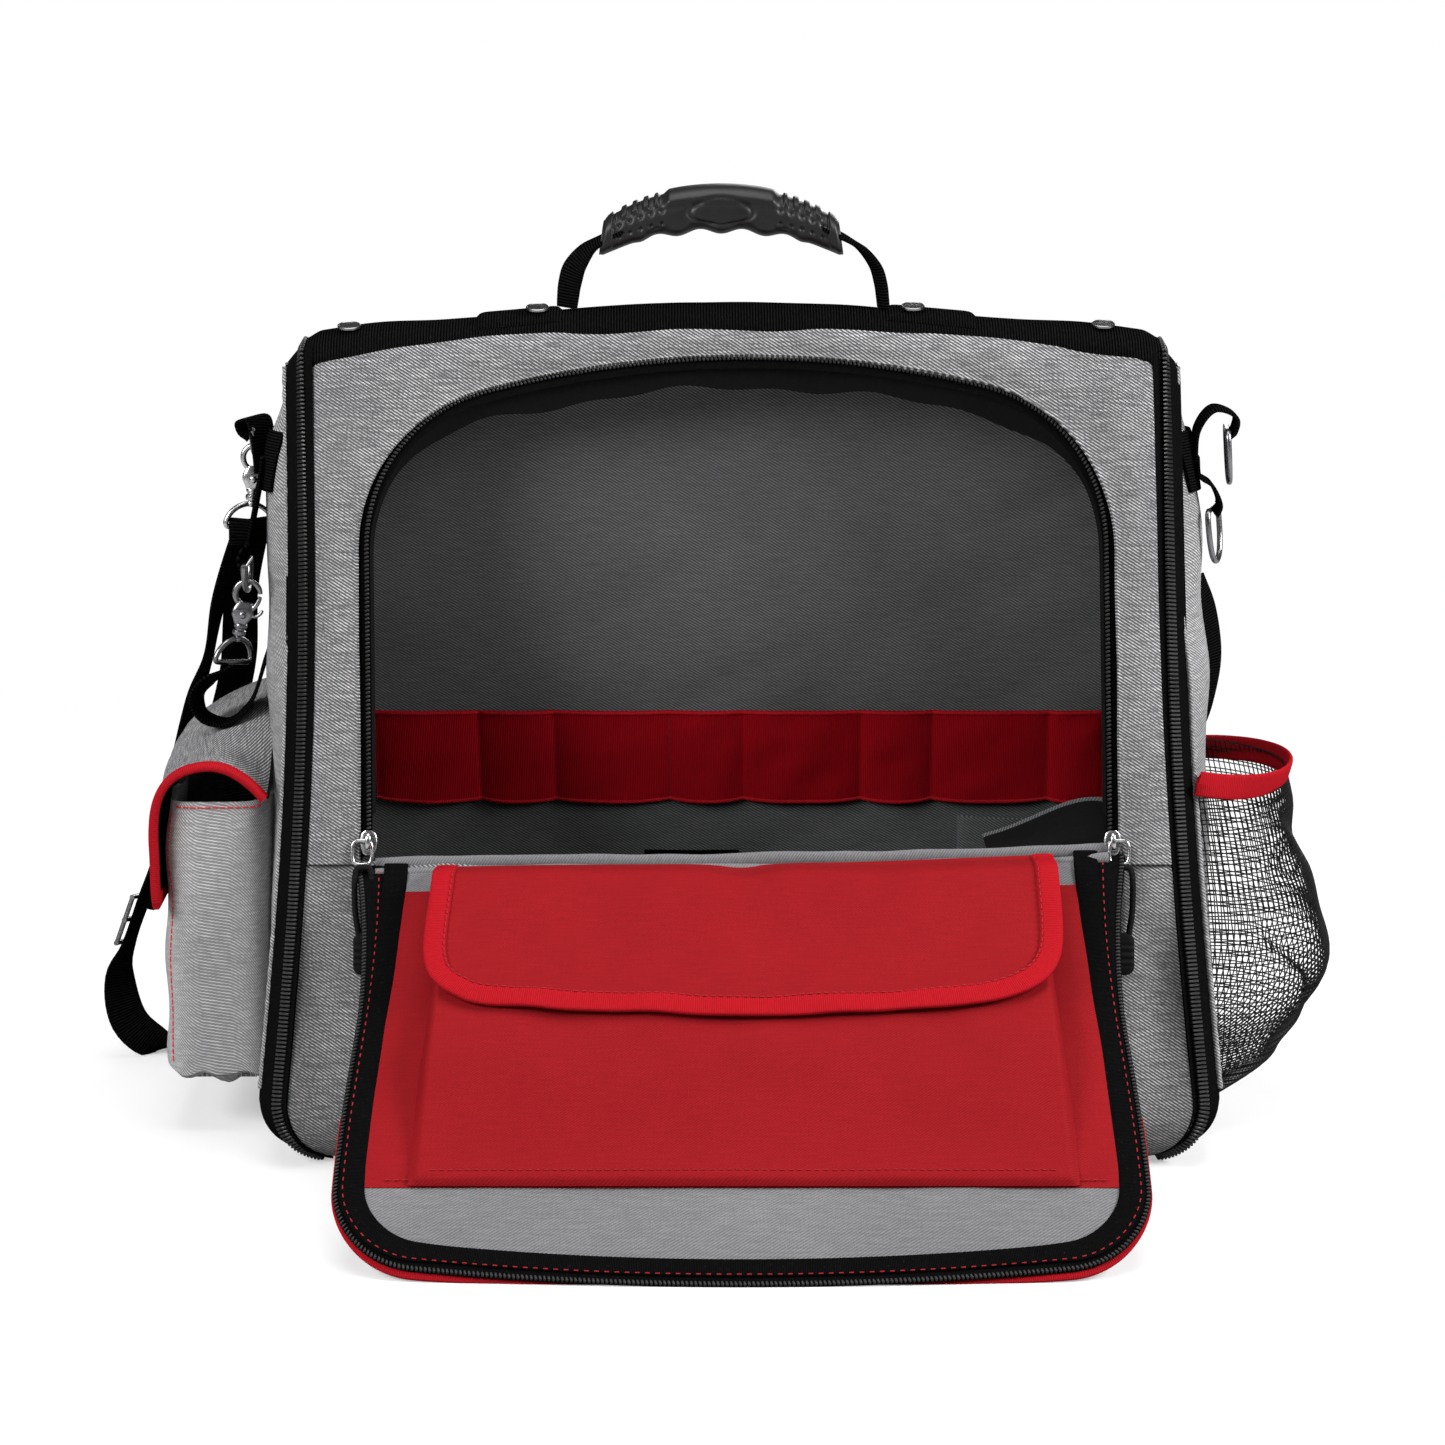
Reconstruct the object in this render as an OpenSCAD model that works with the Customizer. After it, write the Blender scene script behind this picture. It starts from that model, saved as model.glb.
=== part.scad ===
// Soft-sided wedge organiser bag with a drop-down zip door.
// X runs along the ridge, the door faces -Y, Z is up, and the origin is the centre of the resting face.

/* [Body] */
// Depth of the base, front to back
base_depth = 230; // [210:1:250]
// Width of the base across the corner zips
base_width = 476; // [440:1:500]
// Width across the corner zips at the shoulder
top_width = 440; // [420:1:460]
// Height of the shoulder, where the spine webbing starts at its ends
shoulder_height = 386; // [375:1:395]
// Depth of the body at the shoulder
shoulder_depth = 38; // [36:1:44]
// Radius of the rounded front and back bottom edges
edge_round = 22; // [16:1:26]
// Radius of the rounded bottom corners at the ends
corner_round = 34; // [26:1:40]
// Thickness of the padded fabric panels
panel_t = 3; // [2:0.5:4]
// How far the end panels swell outward
end_bulge = 6; // [0:1:8]
// Leg of the corner chamfer that carries a corner zip
corner_leg = 14; // [13:0.5:15]
// Thickness of the board that stiffens the base
board_t = 3; // [2:0.5:5]

/* [Ridge] */
// Rise of the shoulder line from the ends to the middle of the ridge
ridge_bow = 14; // [4:1:18]
// Height of the spine webbing's crown above the shoulder at the ends
crown_end = 14; // [10:1:18]
// Height of the spine webbing's crown above the shoulder in the middle
crown_mid = 10; // [8:1:14]
// Thickness of the spine webbing
spine_t = 3; // [2:0.5:3.5]
// Width of the batten under the spine webbing
batten_w = 11; // [6:0.5:12]
// Thickness of the batten
batten_t = 2.5; // [1.5:0.5:3]
// Diameter of the rivet caps
rivet_d = 10; // [8:0.5:12]
// Thickness of the rivet caps
rivet_cap = 1.8; // [1:0.2:2.4]
// Distance of the outer rivets from the middle
rivet_outer = 186; // [175:1:192]

/* [Handle] */
// Distance of the handle roots from the middle
handle_root = 86; // [80:1:92]
// Length of a webbing tab that holds a handle root
tab_len = 42; // [36:1:48]
// Thickness of the webbing tabs
tab_t = 2; // [1.5:0.25:2.5]
// Height of the handle arch above its roots, to the middle of the grip
handle_rise = 43; // [38:1:50]
// Width of the handle webbing
handle_w = 25; // [20:1:28]
// Length of the rubber grip
grip_len = 118; // [100:1:124]
// Height of the grip at its middle
grip_h = 21; // [18:0.5:24]
// Depth of the grip at its middle
grip_d = 26; // [24:0.5:30]

/* [Opening] */
// Distance up the front panel from the base edge to the door hinge
hinge_slant = 152; // [140:1:160]
// Width of the arched opening between its fabric edges
opening_width = 384; // [360:1:390]
// Radius of the arch corners
opening_corner = 64; // [55:1:90]
// Radius of the arch crown
opening_crown_r = 500; // [460:5:560]
// Fabric left between the arch crown and the spine webbing
opening_margin = 12.2; // [10:0.2:22]

/* [Zips] */
// Width of one half of a zip coil
coil_w = 3; // [2.5:0.1:3.2]
// Thickness of a zip coil
coil_t = 1.6; // [1.2:0.1:2]
// Thickness of the zip tape
tape_t = 1.2; // [0.8:0.1:1.4]
// Tape that shows between the fabric edge and the coil
tape_show = 6.5; // [5:0.5:8]
// Gap between the two coil halves of the door zip
coil_gap = 1.4; // [1.3:0.1:1.8]
// Length of a zip slider
slider_len = 14; // [11:0.5:16]
// Thickness of a slider plate
slider_plate = 1.4; // [1:0.1:1.6]
// Length of the cord loop on a zip pull
pull_cord_len = 34; // [26:1:40]
// Length of the moulded tab on a zip pull
pull_tab_len = 20; // [14:1:26]

/* [Door] */
// Gap between the end of the open door and the floor
door_floor_gap = 3.5; // [3:0.5:8]
// Diameter of the piping along the hinge
piping_d = 3.2; // [2.6:0.2:3.2]
// Thickness of the door's outer panel
door_outer_t = 2; // [1.5:0.1:2.2]
// Thickness of the door's padded lining
door_lining_t = 1.4; // [1:0.1:1.5]
// Width of the binding round the door's inner edge
binding_w = 15; // [10:1:18]
// Thickness of that binding
binding_t = 1.3; // [1:0.1:1.4]
// Thickness of the flat pocket layer on the door
flat_pocket_t = 2.7; // [2:0.1:4]
// Width of the box pocket on the door
box_pocket_w = 298; // [270:1:310]
// Distance from the hinge to the foot of the door pockets
pocket_foot = 191; // [180:1:198]
// Depth of the box pocket
box_pocket_t = 15; // [8:1:18]
// Depth of the box pocket at its foot
box_foot_t = 3; // [2:0.5:6]
// Length of the box pocket's flap
flap_len = 84; // [60:1:100]
// Radius of the flap's lower corners
flap_corner = 30; // [15:1:35]
// Thickness of the flap
flap_t = 2; // [1.5:0.1:3]
// Width of the flap's binding
flap_binding_w = 12; // [8:1:15]

/* [Inside] */
// Thickness of the back lining
lining_t = 1.2; // [0.8:0.1:2]
// Height of the elastic tool loop strip
loop_strip_h = 55; // [40:1:60]
// Distance up the back panel to the foot of the loop strip
loop_strip_s = 143; // [135:1:160]
// Thickness of the loop strip
loop_strip_t = 2.3; // [1.5:0.1:4]
// Width of the inner slip pocket
inner_pocket_w = 70; // [50:1:90]
// Height of the inner slip pocket
inner_pocket_h = 74; // [50:1:76]
// Thickness of the inner slip pocket
inner_pocket_t = 4; // [2:0.5:6]

/* [Side pockets] */
// Depth of both side pockets, front to back
side_pocket_d = 116; // [100:1:124]
// How far the flap pocket stands out from the end panel
side_pocket_out = 46; // [36:1:56]
// Height of the flap pocket's foot above the floor
side_pocket_foot = 28; // [20:1:40]
// Drop from the shoulder to the flap pocket's mouth
side_pocket_drop = 214; // [206:1:236]
// Wall of the flap pocket
side_pocket_wall = 2.5; // [2:0.5:3]
// Length of flap that hangs over the mouth
side_flap_drop = 64; // [40:1:80]
// Thickness of the side pocket's flap
side_flap_t = 2.5; // [2:0.5:3]
// Width of the red binding on the flap's sides
side_binding_w = 2.5; // [2:0.5:4]
// How far the net pocket's rim stands out
net_rim_out = 40; // [30:1:46]
// How far the net pocket's belly stands out
net_belly_out = 62; // [50:1:68]
// Height of the net pocket's rim
net_rim_z = 172; // [160:1:180]
// Wall of the net pocket
net_t = 2; // [1.5:0.25:2.5]
// Height of the net pocket's rim binding
net_rim_h = 12; // [8:1:15]

/* [Hardware] */
// Inner width of the D-rings on the end panels
ring_w = 24; // [20:1:26]
// Drop from the shoulder to the foot of the webbing patch that holds the D-rings
patch_drop = 68; // [60:1:72]
// Wire diameter of the D-rings
ring_wire = 3; // [2.5:0.1:3.2]
// Radius of the snap hook's claw, to its wire centre
claw_r = 5.5; // [5.2:0.1:6]
// Wire diameter of the snap hook's claw
claw_wire = 3; // [2.6:0.1:3.2]
// Inner width of the swivel eye that holds the webbing
eye_w = 22; // [21:0.5:24]
// Width of the shoulder strap and leash webbing
strap_w = 20; // [16:0.5:20]
// Thickness of the shoulder strap webbing
strap_t = 1.8; // [1.2:0.1:2]

/* [Hidden] */

// Clearance between sewn neighbours and between moving parts
seam = 0.3;
// Running clearance of the small pins and swivels
running = 0.06;

// Lean of the front and back panels from the vertical
lean = atan((base_depth - shoulder_depth) / 2 / shoulder_height);
// Half depth of the flat part of the base, where the bottom edges start to turn up
arc_y = base_depth / 2 - edge_round * (1 + sin(lean)) / cos(lean);
// Height at which the rounded bottom edge meets the flat panel
arc_top = edge_round * (1 + sin(lean));
// Narrowing of the half width for each unit of height
width_slope = (base_width - top_width) / 2 / shoulder_height;
crown_half = top_width / 2 - corner_leg - seam;

// Half width of the body across the corner zips at height z
function half_w(z) =
    let (e = base_width / 2 - width_slope * max(z, corner_round), c = corner_round)
    z < c ? e - c + sqrt(max(0, c * c - (c - z) * (c - z))) : e;

// Half depth of the body at height z
function half_d(z) =
    z < arc_top
        ? arc_y + sqrt(max(0, edge_round * edge_round - pow(edge_round - z, 2)))
        : base_depth / 2 - z * tan(lean);

// Outermost x of an end panel at height z
function end_x(z) = half_w(z) + end_bulge * sin(180 * z / shoulder_height);

// Outer x of an end panel at depth y and height z
function panel_x(y, z) =
    let (f = y / (half_d(z) - corner_leg - seam))
    half_w(z) + end_bulge * max(0, 1 - f * f) * sin(180 * z / shoulder_height);

// Shoulder height and crown height of the ridge at x
function bow(x) = 1 - pow(x / crown_half, 2);
function shoulder_z(x) = shoulder_height + ridge_bow * bow(x);
function crown(x) = crown_end + (crown_mid - crown_end) * bow(x);
function shoulder_half(x) = base_depth / 2 - shoulder_z(x) * tan(lean);
function shoulder_s(x) = shoulder_z(x) / cos(lean);

// A point on the ridge's round back: turn 0 is the front shoulder, 180 the back one
function ridge_point(x, turn, off) =
    [x, -(shoulder_half(x) + off) * cos(turn), shoulder_z(x) + (crown(x) + off) * sin(turn)];

function unit(v) = v / norm(v);
function flat(rows) = [for (r = rows) each r];

// A closed wall between an outer and an inner grid of points of the same shape
module slab(outer, inner) {
    rows = len(outer);
    cols = len(outer[0]);
    n = rows * cols;
    i0 = floor((rows - 1) / 2);
    j0 = floor((cols - 1) / 2);
    along = outer[i0 + 1][j0] - outer[i0][j0];
    across = outer[i0][j0 + 1] - outer[i0][j0];
    turned = cross(along, across) * (outer[i0][j0] - inner[i0][j0]) < 0;
    skin = [
        for (i = [0:rows - 2], j = [0:cols - 2])
            each let (p = i * cols + j, q = p + cols) [[p, q + 1, q], [p, p + 1, q + 1]]
    ];
    back = [for (f = skin) [f[0] + n, f[2] + n, f[1] + n]];
    rim = concat(
        [for (j = [0:cols - 1]) j],
        [for (i = [1:rows - 1]) i * cols + cols - 1],
        [for (j = [cols - 2:-1:0]) (rows - 1) * cols + j],
        [for (i = [rows - 2:-1:1]) i * cols]
    );
    wall = [
        for (k = [0:len(rim) - 1])
            each let (a = rim[k], b = rim[(k + 1) % len(rim)]) [[a, a + n, b + n], [a, b + n, b]]
    ];
    faces = concat(skin, back, wall);
    polyhedron(
        points = concat(flat(outer), flat(inner)),
        faces = turned ? [for (f = faces) [f[0], f[2], f[1]]] : faces,
        convexity = 8
    );
}

// A strip between two edge lines, thickened from lift to lift + t along its own normal
function strip_normals(a, b) = [
    for (i = [0:len(a) - 1])
        let (m = (a[min(i + 1, len(a) - 1)] + b[min(i + 1, len(a) - 1)]
            - a[max(i - 1, 0)] - b[max(i - 1, 0)]) / 2)
        unit(cross(b[i] - a[i], m))
];
module strip(a, b, lift, t) {
    n = strip_normals(a, b);
    slab(
        [for (i = [0:len(a) - 1]) [a[i] + n[i] * (lift + t), b[i] + n[i] * (lift + t)]],
        [for (i = [0:len(a) - 1]) [a[i] + n[i] * lift, b[i] + n[i] * lift]]
    );
}

// A webbing band along rows of [x, y, z, heading of its width, width]
module band(route, t) {
    side = [for (r = route) [cos(r[3]), sin(r[3]), 0] * r[4] / 2];
    mid = [for (r = route) [r[0], r[1], r[2]]];
    strip([for (i = [0:len(mid) - 1]) mid[i] - side[i]], [for (i = [0:len(mid) - 1]) mid[i] + side[i]],
        -t / 2, t);
}
function across(p) = [-p[0], p[1], p[2]];

// A closed loft through rings of points that share one count
module loft(rings) {
    sides = len(rings[0]);
    last = (len(rings) - 1) * sides;
    faces = concat(
        [for (i = [0:len(rings) - 2], j = [0:sides - 1])
            each let (p = i * sides + j, q = i * sides + (j + 1) % sides)
                [[p, q + sides, q], [p, p + sides, q + sides]]],
        [for (j = [1:sides - 2]) [0, j, j + 1]],
        [for (j = [1:sides - 2]) [last, last + j + 1, last + j]]
    );
    polyhedron(points = flat(rings), faces = faces, convexity = 6);
}

// Frames: x, distance up the panel, distance out of the panel
module on_front() {
    translate([0, -base_depth / 2, 0]) rotate([90 - lean, 0, 0]) children();
}
module on_back() {
    mirror([0, 1, 0]) on_front() children();
}
module plate(low, thick) {
    translate([0, 0, low]) linear_extrude(thick) children();
}
function front_point(x, s, n) =
    [x, -base_depth / 2 + s * sin(lean) - n * cos(lean), s * cos(lean) + n * sin(lean)];

// Rows of the curved foot and the flat face of a front or back panel, as [y, z, z of the outer row]
foot_turns = [for (k = [0:4]) k * (90 + lean) / 4];
function foot_row(turn, inset) =
    [-arc_y - (edge_round - inset) * sin(turn), edge_round - (edge_round - inset) * cos(turn)];
function face_row(s, inset) = let (p = front_point(0, s, -inset)) [p[1], p[2]];
function foot_grid(slants, inset, steps) = let (
    rows = concat([for (t = foot_turns) foot_row(t, inset)], [for (s = slants) face_row(s, inset)]),
    outer = concat([for (t = foot_turns) foot_row(t, 0)], [for (s = slants) face_row(s, 0)])
) [
    for (k = [0:len(rows) - 1])
        let (w = half_w(outer[k][1]) - corner_leg - seam)
        [for (f = steps) [f * w, rows[k][0], rows[k][1]]]
];

// Base
module base_outline(inset) {
    x = half_w(0) - inset;
    y = arc_y - inset;
    polygon([
        [x, corner_leg - y], [x, y - corner_leg], [x - corner_leg, y], [corner_leg - x, y],
        [-x, y - corner_leg], [-x, corner_leg - y], [corner_leg - x, -y], [x - corner_leg, -y]
    ]);
}
module base_panel() {
    color("#55585b") linear_extrude(panel_t) base_outline(seam);
}
module base_board() {
    color("#2b2b2d") plate(panel_t + seam, board_t) base_outline(board_t + 4);
}

// Opening outline, drawn inset from its fabric edge, from slant s0 up
opening_crown = shoulder_s(0) - opening_margin;
arch_half = opening_width / 2;
arch_reach = opening_crown_r - opening_corner;
arch_cx = arch_half - opening_corner;
arch_low = opening_crown - opening_crown_r;
arch_cs = arch_low + sqrt(arch_reach * arch_reach - arch_cx * arch_cx);
arch_turn = atan(arch_cx / (arch_cs - arch_low));
function arch_right(inset, s0) = concat(
    [[arch_half - inset, s0]],
    [for (k = [0:8]) let (t = k * (90 - arch_turn) / 8)
        [arch_cx + (opening_corner - inset) * cos(t), arch_cs + (opening_corner - inset) * sin(t)]],
    [for (k = [1:3]) let (t = 90 - arch_turn + k * arch_turn / 4)
        [(opening_crown_r - inset) * cos(t), arch_low + (opening_crown_r - inset) * sin(t)]]
);
module arch(inset, s0) {
    half = arch_right(inset, s0);
    last = len(half) - 1;
    polygon(concat(half, [[0, opening_crown - inset]], [for (k = [last:-1:0]) [-half[k][0], half[k][1]]]));
}
module arch_band(from, to, s0) {
    difference() {
        arch(from, s0);
        arch(to, s0 - 1);
    }
}

// Front, back and end panels
piping_r = piping_d / 2;
seam_s = hinge_slant - piping_r - seam;
module front_panel() {
    foot = seam_s + seam;
    foot_x = half_w(foot * cos(lean)) - corner_leg - seam;
    color("#b3b5b7") on_front() plate(-panel_t, panel_t) difference() {
        polygon(concat(
            [[-foot_x, foot], [foot_x, foot]],
            [for (k = [4:-1:-4]) let (x = k * crown_half / 4) [x, shoulder_s(x)]]
        ));
        arch(0, foot - 1);
    }
}
thirds = [-1, 0, 1];
ninths = [for (k = [-4:4]) k / 4];
module front_lower_panel() {
    slants = [corner_round / cos(lean), seam_s];
    color("#b3b5b7") slab(foot_grid(slants, 0, thirds), foot_grid(slants, panel_t, thirds));
}
function back_grid(inset) = concat(
    foot_grid([corner_round / cos(lean), hinge_slant], inset, ninths),
    [[for (f = ninths) let (x = f * crown_half, p = front_point(0, shoulder_s(x), -inset)) [x, p[1], p[2]]]]
);
module back_panel() {
    color("#b3b5b7") mirror([0, 1, 0]) slab(back_grid(0), back_grid(panel_t));
}
end_heights = [80, 150, 220, 290, 345, shoulder_height - 2.5];
end_steps = [for (k = [-3:3]) k / 3];
function end_grid(inset) = let (
    c = corner_round,
    e = half_w(c) - c,
    rows = concat(
        [for (k = [0:4]) let (t = k * 22.5)
            [e + (c - inset) * sin(t), c - (c - inset) * cos(t), c - c * cos(t)]],
        [for (z = end_heights) [half_w(z) - inset, z, z]]
    )
) [
    for (r = rows)
        let (d = half_d(r[2]) - corner_leg - seam)
        [for (f = end_steps)
            [r[0] + end_bulge * (1 - f * f) * sin(180 * r[2] / shoulder_height), f * d, r[1]]]
];
module right_end_panel() {
    color("#bcbec0") slab(end_grid(0), end_grid(panel_t));
}
module left_end_panel() {
    color("#bcbec0") mirror([1, 0, 0]) slab(end_grid(0), end_grid(panel_t));
}

// Ridge
ridge_turns = [for (k = [0:8]) k * 22.5];
function ridge_grid(off) = [for (f = ninths) [for (t = ridge_turns) ridge_point(f * crown_half, t, off)]];
module spine_webbing() {
    color("#161616") translate([0, 0, seam]) slab(ridge_grid(0), ridge_grid(-spine_t));
}
function batten_top(x) = let (
    d = shoulder_half(x) - spine_t,
    h = crown(x) - spine_t
) shoulder_z(x) + seam + h * sqrt(1 - pow(batten_w / 2 / d, 2)) - seam;
module ridge_batten() {
    xs = [for (f = ninths) f * (crown_half - corner_leg)];
    top = [for (x = xs) [[x, -batten_w / 2, batten_top(x)], [x, batten_w / 2, batten_top(x)]]];
    color("#303030") slab(top, [for (r = top) [for (p = r) p - [0, 0, batten_t]]]);
}
module on_crown(x, lift) {
    translate([x, 0, shoulder_z(x) + crown(x) + seam + lift]) children();
}
handle_rivet = handle_root + tab_len / 2 - 12;
module rivet(x, lift) {
    shank = lift + spine_t + batten_t + 2;
    on_crown(x, lift) {
        cylinder(d = rivet_d, h = rivet_cap, $fn = 48);
        translate([0, 0, -shank]) cylinder(d = rivet_d / 3, h = shank, $fn = 32);
    }
}
module spine_rivets() {
    color("#8f9092") for (side = [-1, 1]) {
        rivet(side * rivet_outer, 0);
        rivet(side * (handle_root + tab_len - 18), seam + tab_t);
    }
}
tab_turns = [for (k = [0:4]) 46 + k * 22];
function tab_grid(x0, off) =
    [for (k = [0:2]) [for (t = tab_turns) ridge_point(x0 + k * tab_len / 2, t, off)]];
module handle_tabs() {
    x0 = handle_root - 4;
    color("#1b1b1b") translate([0, 0, seam]) for (side = [0, 1]) mirror([side, 0, 0])
        slab(tab_grid(x0, seam + tab_t), tab_grid(x0, seam));
}

// Corner zips: tape from the front foot, over the ridge end, to the back foot
zip_heights = concat([for (t = [30, 52, 78, 90 + lean]) edge_round - edge_round * cos(t)],
    [corner_round, 120, 250, shoulder_height]);
tape_inset = 1.8 / sqrt(2);
function zip_front(leg) = [
    for (z = zip_heights) [half_w(z) - leg, -half_d(z) + corner_leg - leg, z]
];
function zip_over(leg) = let (d = shoulder_half(crown_half), keep = leg / corner_leg) [
    for (t = [30, 60, 90, 120, 150])
        [half_w(shoulder_height) - leg, -(d - corner_leg + leg) * cos(t),
            shoulder_height + (3 + (crown_end - 3) * keep) * sin(t)]
];
function zip_line(leg) = let (f = zip_front(leg), n = len(f) - 1) concat(
    f, zip_over(leg), [for (k = [n:-1:0]) [f[k][0], -f[k][1], f[k][2]]]
);
module corner_zip(from, to, lift, t) {
    for (side = [0, 1]) mirror([side, 0, 0]) strip(zip_line(from), zip_line(to), lift, t);
}
module corner_zip_tapes() {
    color("#141414") corner_zip(corner_leg - tape_inset, tape_inset, -tape_t, tape_t);
}
coil_span = coil_w * sqrt(2);
coil_lift = 0.1;
module corner_zip_coils() {
    wide = (corner_leg + coil_span) / 2;
    narrow = (corner_leg - coil_span) / 2;
    color("#1e1e1e") corner_zip(wide, narrow, coil_lift, coil_t);
}

// Door zip on the body side
hinge_n = -panel_t / 2;
tape_top = hinge_n - coil_t - 0.2;
coil_out = tape_show + coil_w;
coil_mid = coil_out + coil_gap / 2;
zip_start = hinge_slant + piping_r + seam;
module opening_zip_tape() {
    low = min(tape_top, -panel_t - seam) - tape_t;
    color("#141414") on_front() plate(low, tape_t) arch_band(-8, coil_out - 0.5, zip_start);
}
module opening_zip_coil() {
    color("#1e1e1e") on_front() plate(hinge_n - coil_t, coil_t) arch_band(tape_show, coil_out, zip_start);
}
hinge_at = front_point(0, hinge_slant, hinge_n);
door_edge = coil_out + coil_gap;
lining_edge = door_edge + coil_w + 2;
module hinge_piping() {
    color("#a7a9ab") translate(hinge_at) rotate([0, 90, 0])
        cylinder(d = piping_d, h = 2 * (arch_half - lining_edge), center = true, $fn = 32);
}

// Inside
module back_lining() {
    low = corner_round / cos(lean);
    color("#4a4d4f") on_back() plate(-panel_t - seam - lining_t, lining_t)
        translate([10 - crown_half, low])
            square([2 * crown_half - 20, shoulder_height / cos(lean) - low - 14]);
}
strip_n = -panel_t - 2 * seam - lining_t;
module tool_loop_strip() {
    color("#8e1019") on_back() plate(strip_n - loop_strip_t, loop_strip_t)
        translate([-crown_half + 14, loop_strip_s]) square([2 * crown_half - 28, loop_strip_h]);
}
module inner_pocket() {
    color("#17181a") on_back() plate(strip_n - inner_pocket_t, inner_pocket_t)
        translate([crown_half - 20 - inner_pocket_w, loop_strip_s - 6 - inner_pocket_h])
            square([inner_pocket_w, inner_pocket_h]);
}

// Flap pocket on the left end
pocket_in = -max([for (z = [20:4:180]) end_x(z)]) - seam;
pocket_out = pocket_in - side_pocket_out;
side_pocket_top = shoulder_height - side_pocket_drop;
module left_pocket() {
    wall = side_pocket_wall;
    high = side_pocket_top - side_pocket_foot;
    color("#b3b5b7") difference() {
        translate([pocket_out, -side_pocket_d / 2, side_pocket_foot])
            cube([side_pocket_out, side_pocket_d, high]);
        translate([pocket_out + wall, -side_pocket_d / 2 + wall, side_pocket_foot + wall])
            cube([side_pocket_out - 2 * wall, side_pocket_d - 2 * wall, high]);
    }
}
flap_hinge_z = side_pocket_top + 24;
flap_hinge_x = -end_x(flap_hinge_z) - seam;
flap_edge_z = side_pocket_top + 12;
module side_flap_profile() {
    t = side_flap_t;
    out = pocket_out - seam - 2;
    polygon([
        [flap_hinge_x, flap_hinge_z], [pocket_out + 8, flap_edge_z + 4], [out, flap_edge_z - 6],
        [out - 2, flap_edge_z - side_flap_drop], [out - 2 - t, flap_edge_z - side_flap_drop],
        [out - t, flap_edge_z - 4], [pocket_out + 6, flap_edge_z + 4 + t], [flap_hinge_x, flap_hinge_z + t]
    ]);
}
module side_flap(y0, y1) {
    translate([0, y1, 0]) rotate([90, 0, 0]) linear_extrude(y1 - y0) side_flap_profile();
}
flap_half = side_pocket_d / 2 + 4;
module left_pocket_flap() {
    color("#b3b5b7") side_flap(-flap_half, flap_half);
}
module left_flap_binding() {
    color("#c8102e") {
        side_flap(-flap_half - side_binding_w, -flap_half);
        side_flap(flap_half, flap_half + side_binding_w);
    }
}

// Net pocket on the right end
net_rows = [
    [net_rim_out, net_rim_z], [net_belly_out - 12, 132], [net_belly_out, 90], [net_belly_out - 2, 62],
    [net_belly_out - 14, 38], [net_belly_out - 34, 20], [net_belly_out - 56, 11]
];
net_turns = [for (k = [-4:4]) k * 22.5];
function net_grid(inset) = [
    for (r = net_rows)
        [for (t = net_turns)
            let (y = (side_pocket_d / 2 - inset) * sin(t), z = r[1] + (r[1] < 40 ? inset : 0))
            [panel_x(y, z) + seam + (z < 40 ? 2 : 0.4) + max(r[0] - inset, 0.4) * cos(t), y, z]]
];
module mesh_pocket() {
    color("#202123") slab(net_grid(0), net_grid(net_t));
}
function rim_line(out, z) = [
    for (t = net_turns) let (y = (side_pocket_d / 2 + out) * sin(t))
        [panel_x(y, z) + seam + (net_rim_out + out) * cos(t), y, z]
];
module mesh_rim() {
    low = net_rim_z + seam;
    color("#c8102e") slab(
        [rim_line(0.5, low), rim_line(0.5, low + net_rim_h)],
        [rim_line(-net_t - 0.5, low), rim_line(-net_t - 0.5, low + net_rim_h)]
    );
}

// D-rings and their webbing: each bar stands out from the patch, above or below the patch's foot
patch_z = shoulder_height - patch_drop;
patch_h = 34;
patch_d = 30;
patch_t = 2;
patch_x = end_x(patch_z) + seam;
loop_w = 18;
loop_t = 1.8;
ring_r = ring_w / 2 + ring_wire / 2;
upper_out = 15;
upper_rise = 31;
right_lower_out = 9;
right_lower_drop = 9;
left_lower_out = 19;
left_lower_drop = 35;
upper_bar = [patch_x + upper_out, 0, patch_z + upper_rise];
right_lower_bar = [patch_x + right_lower_out, 0, patch_z - right_lower_drop];
left_upper_bar = [-patch_x - upper_out, 6, patch_z + upper_rise];
left_lower_bar = [-patch_x - left_lower_out, -10, patch_z - left_lower_drop];
module d_ring(at) {
    translate(at) {
        rotate([90, 0, 0]) cylinder(d = ring_wire, h = 2 * ring_r, center = true, $fn = 32);
        rotate([0, 90, 0]) rotate([0, 0, -90]) rotate_extrude(angle = 180, $fn = 64)
            translate([ring_r, 0]) circle(d = ring_wire, $fn = 32);
    }
}
module patch() {
    translate([patch_x, -patch_d / 2, patch_z]) cube([patch_t, patch_d, patch_h]);
}
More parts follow.
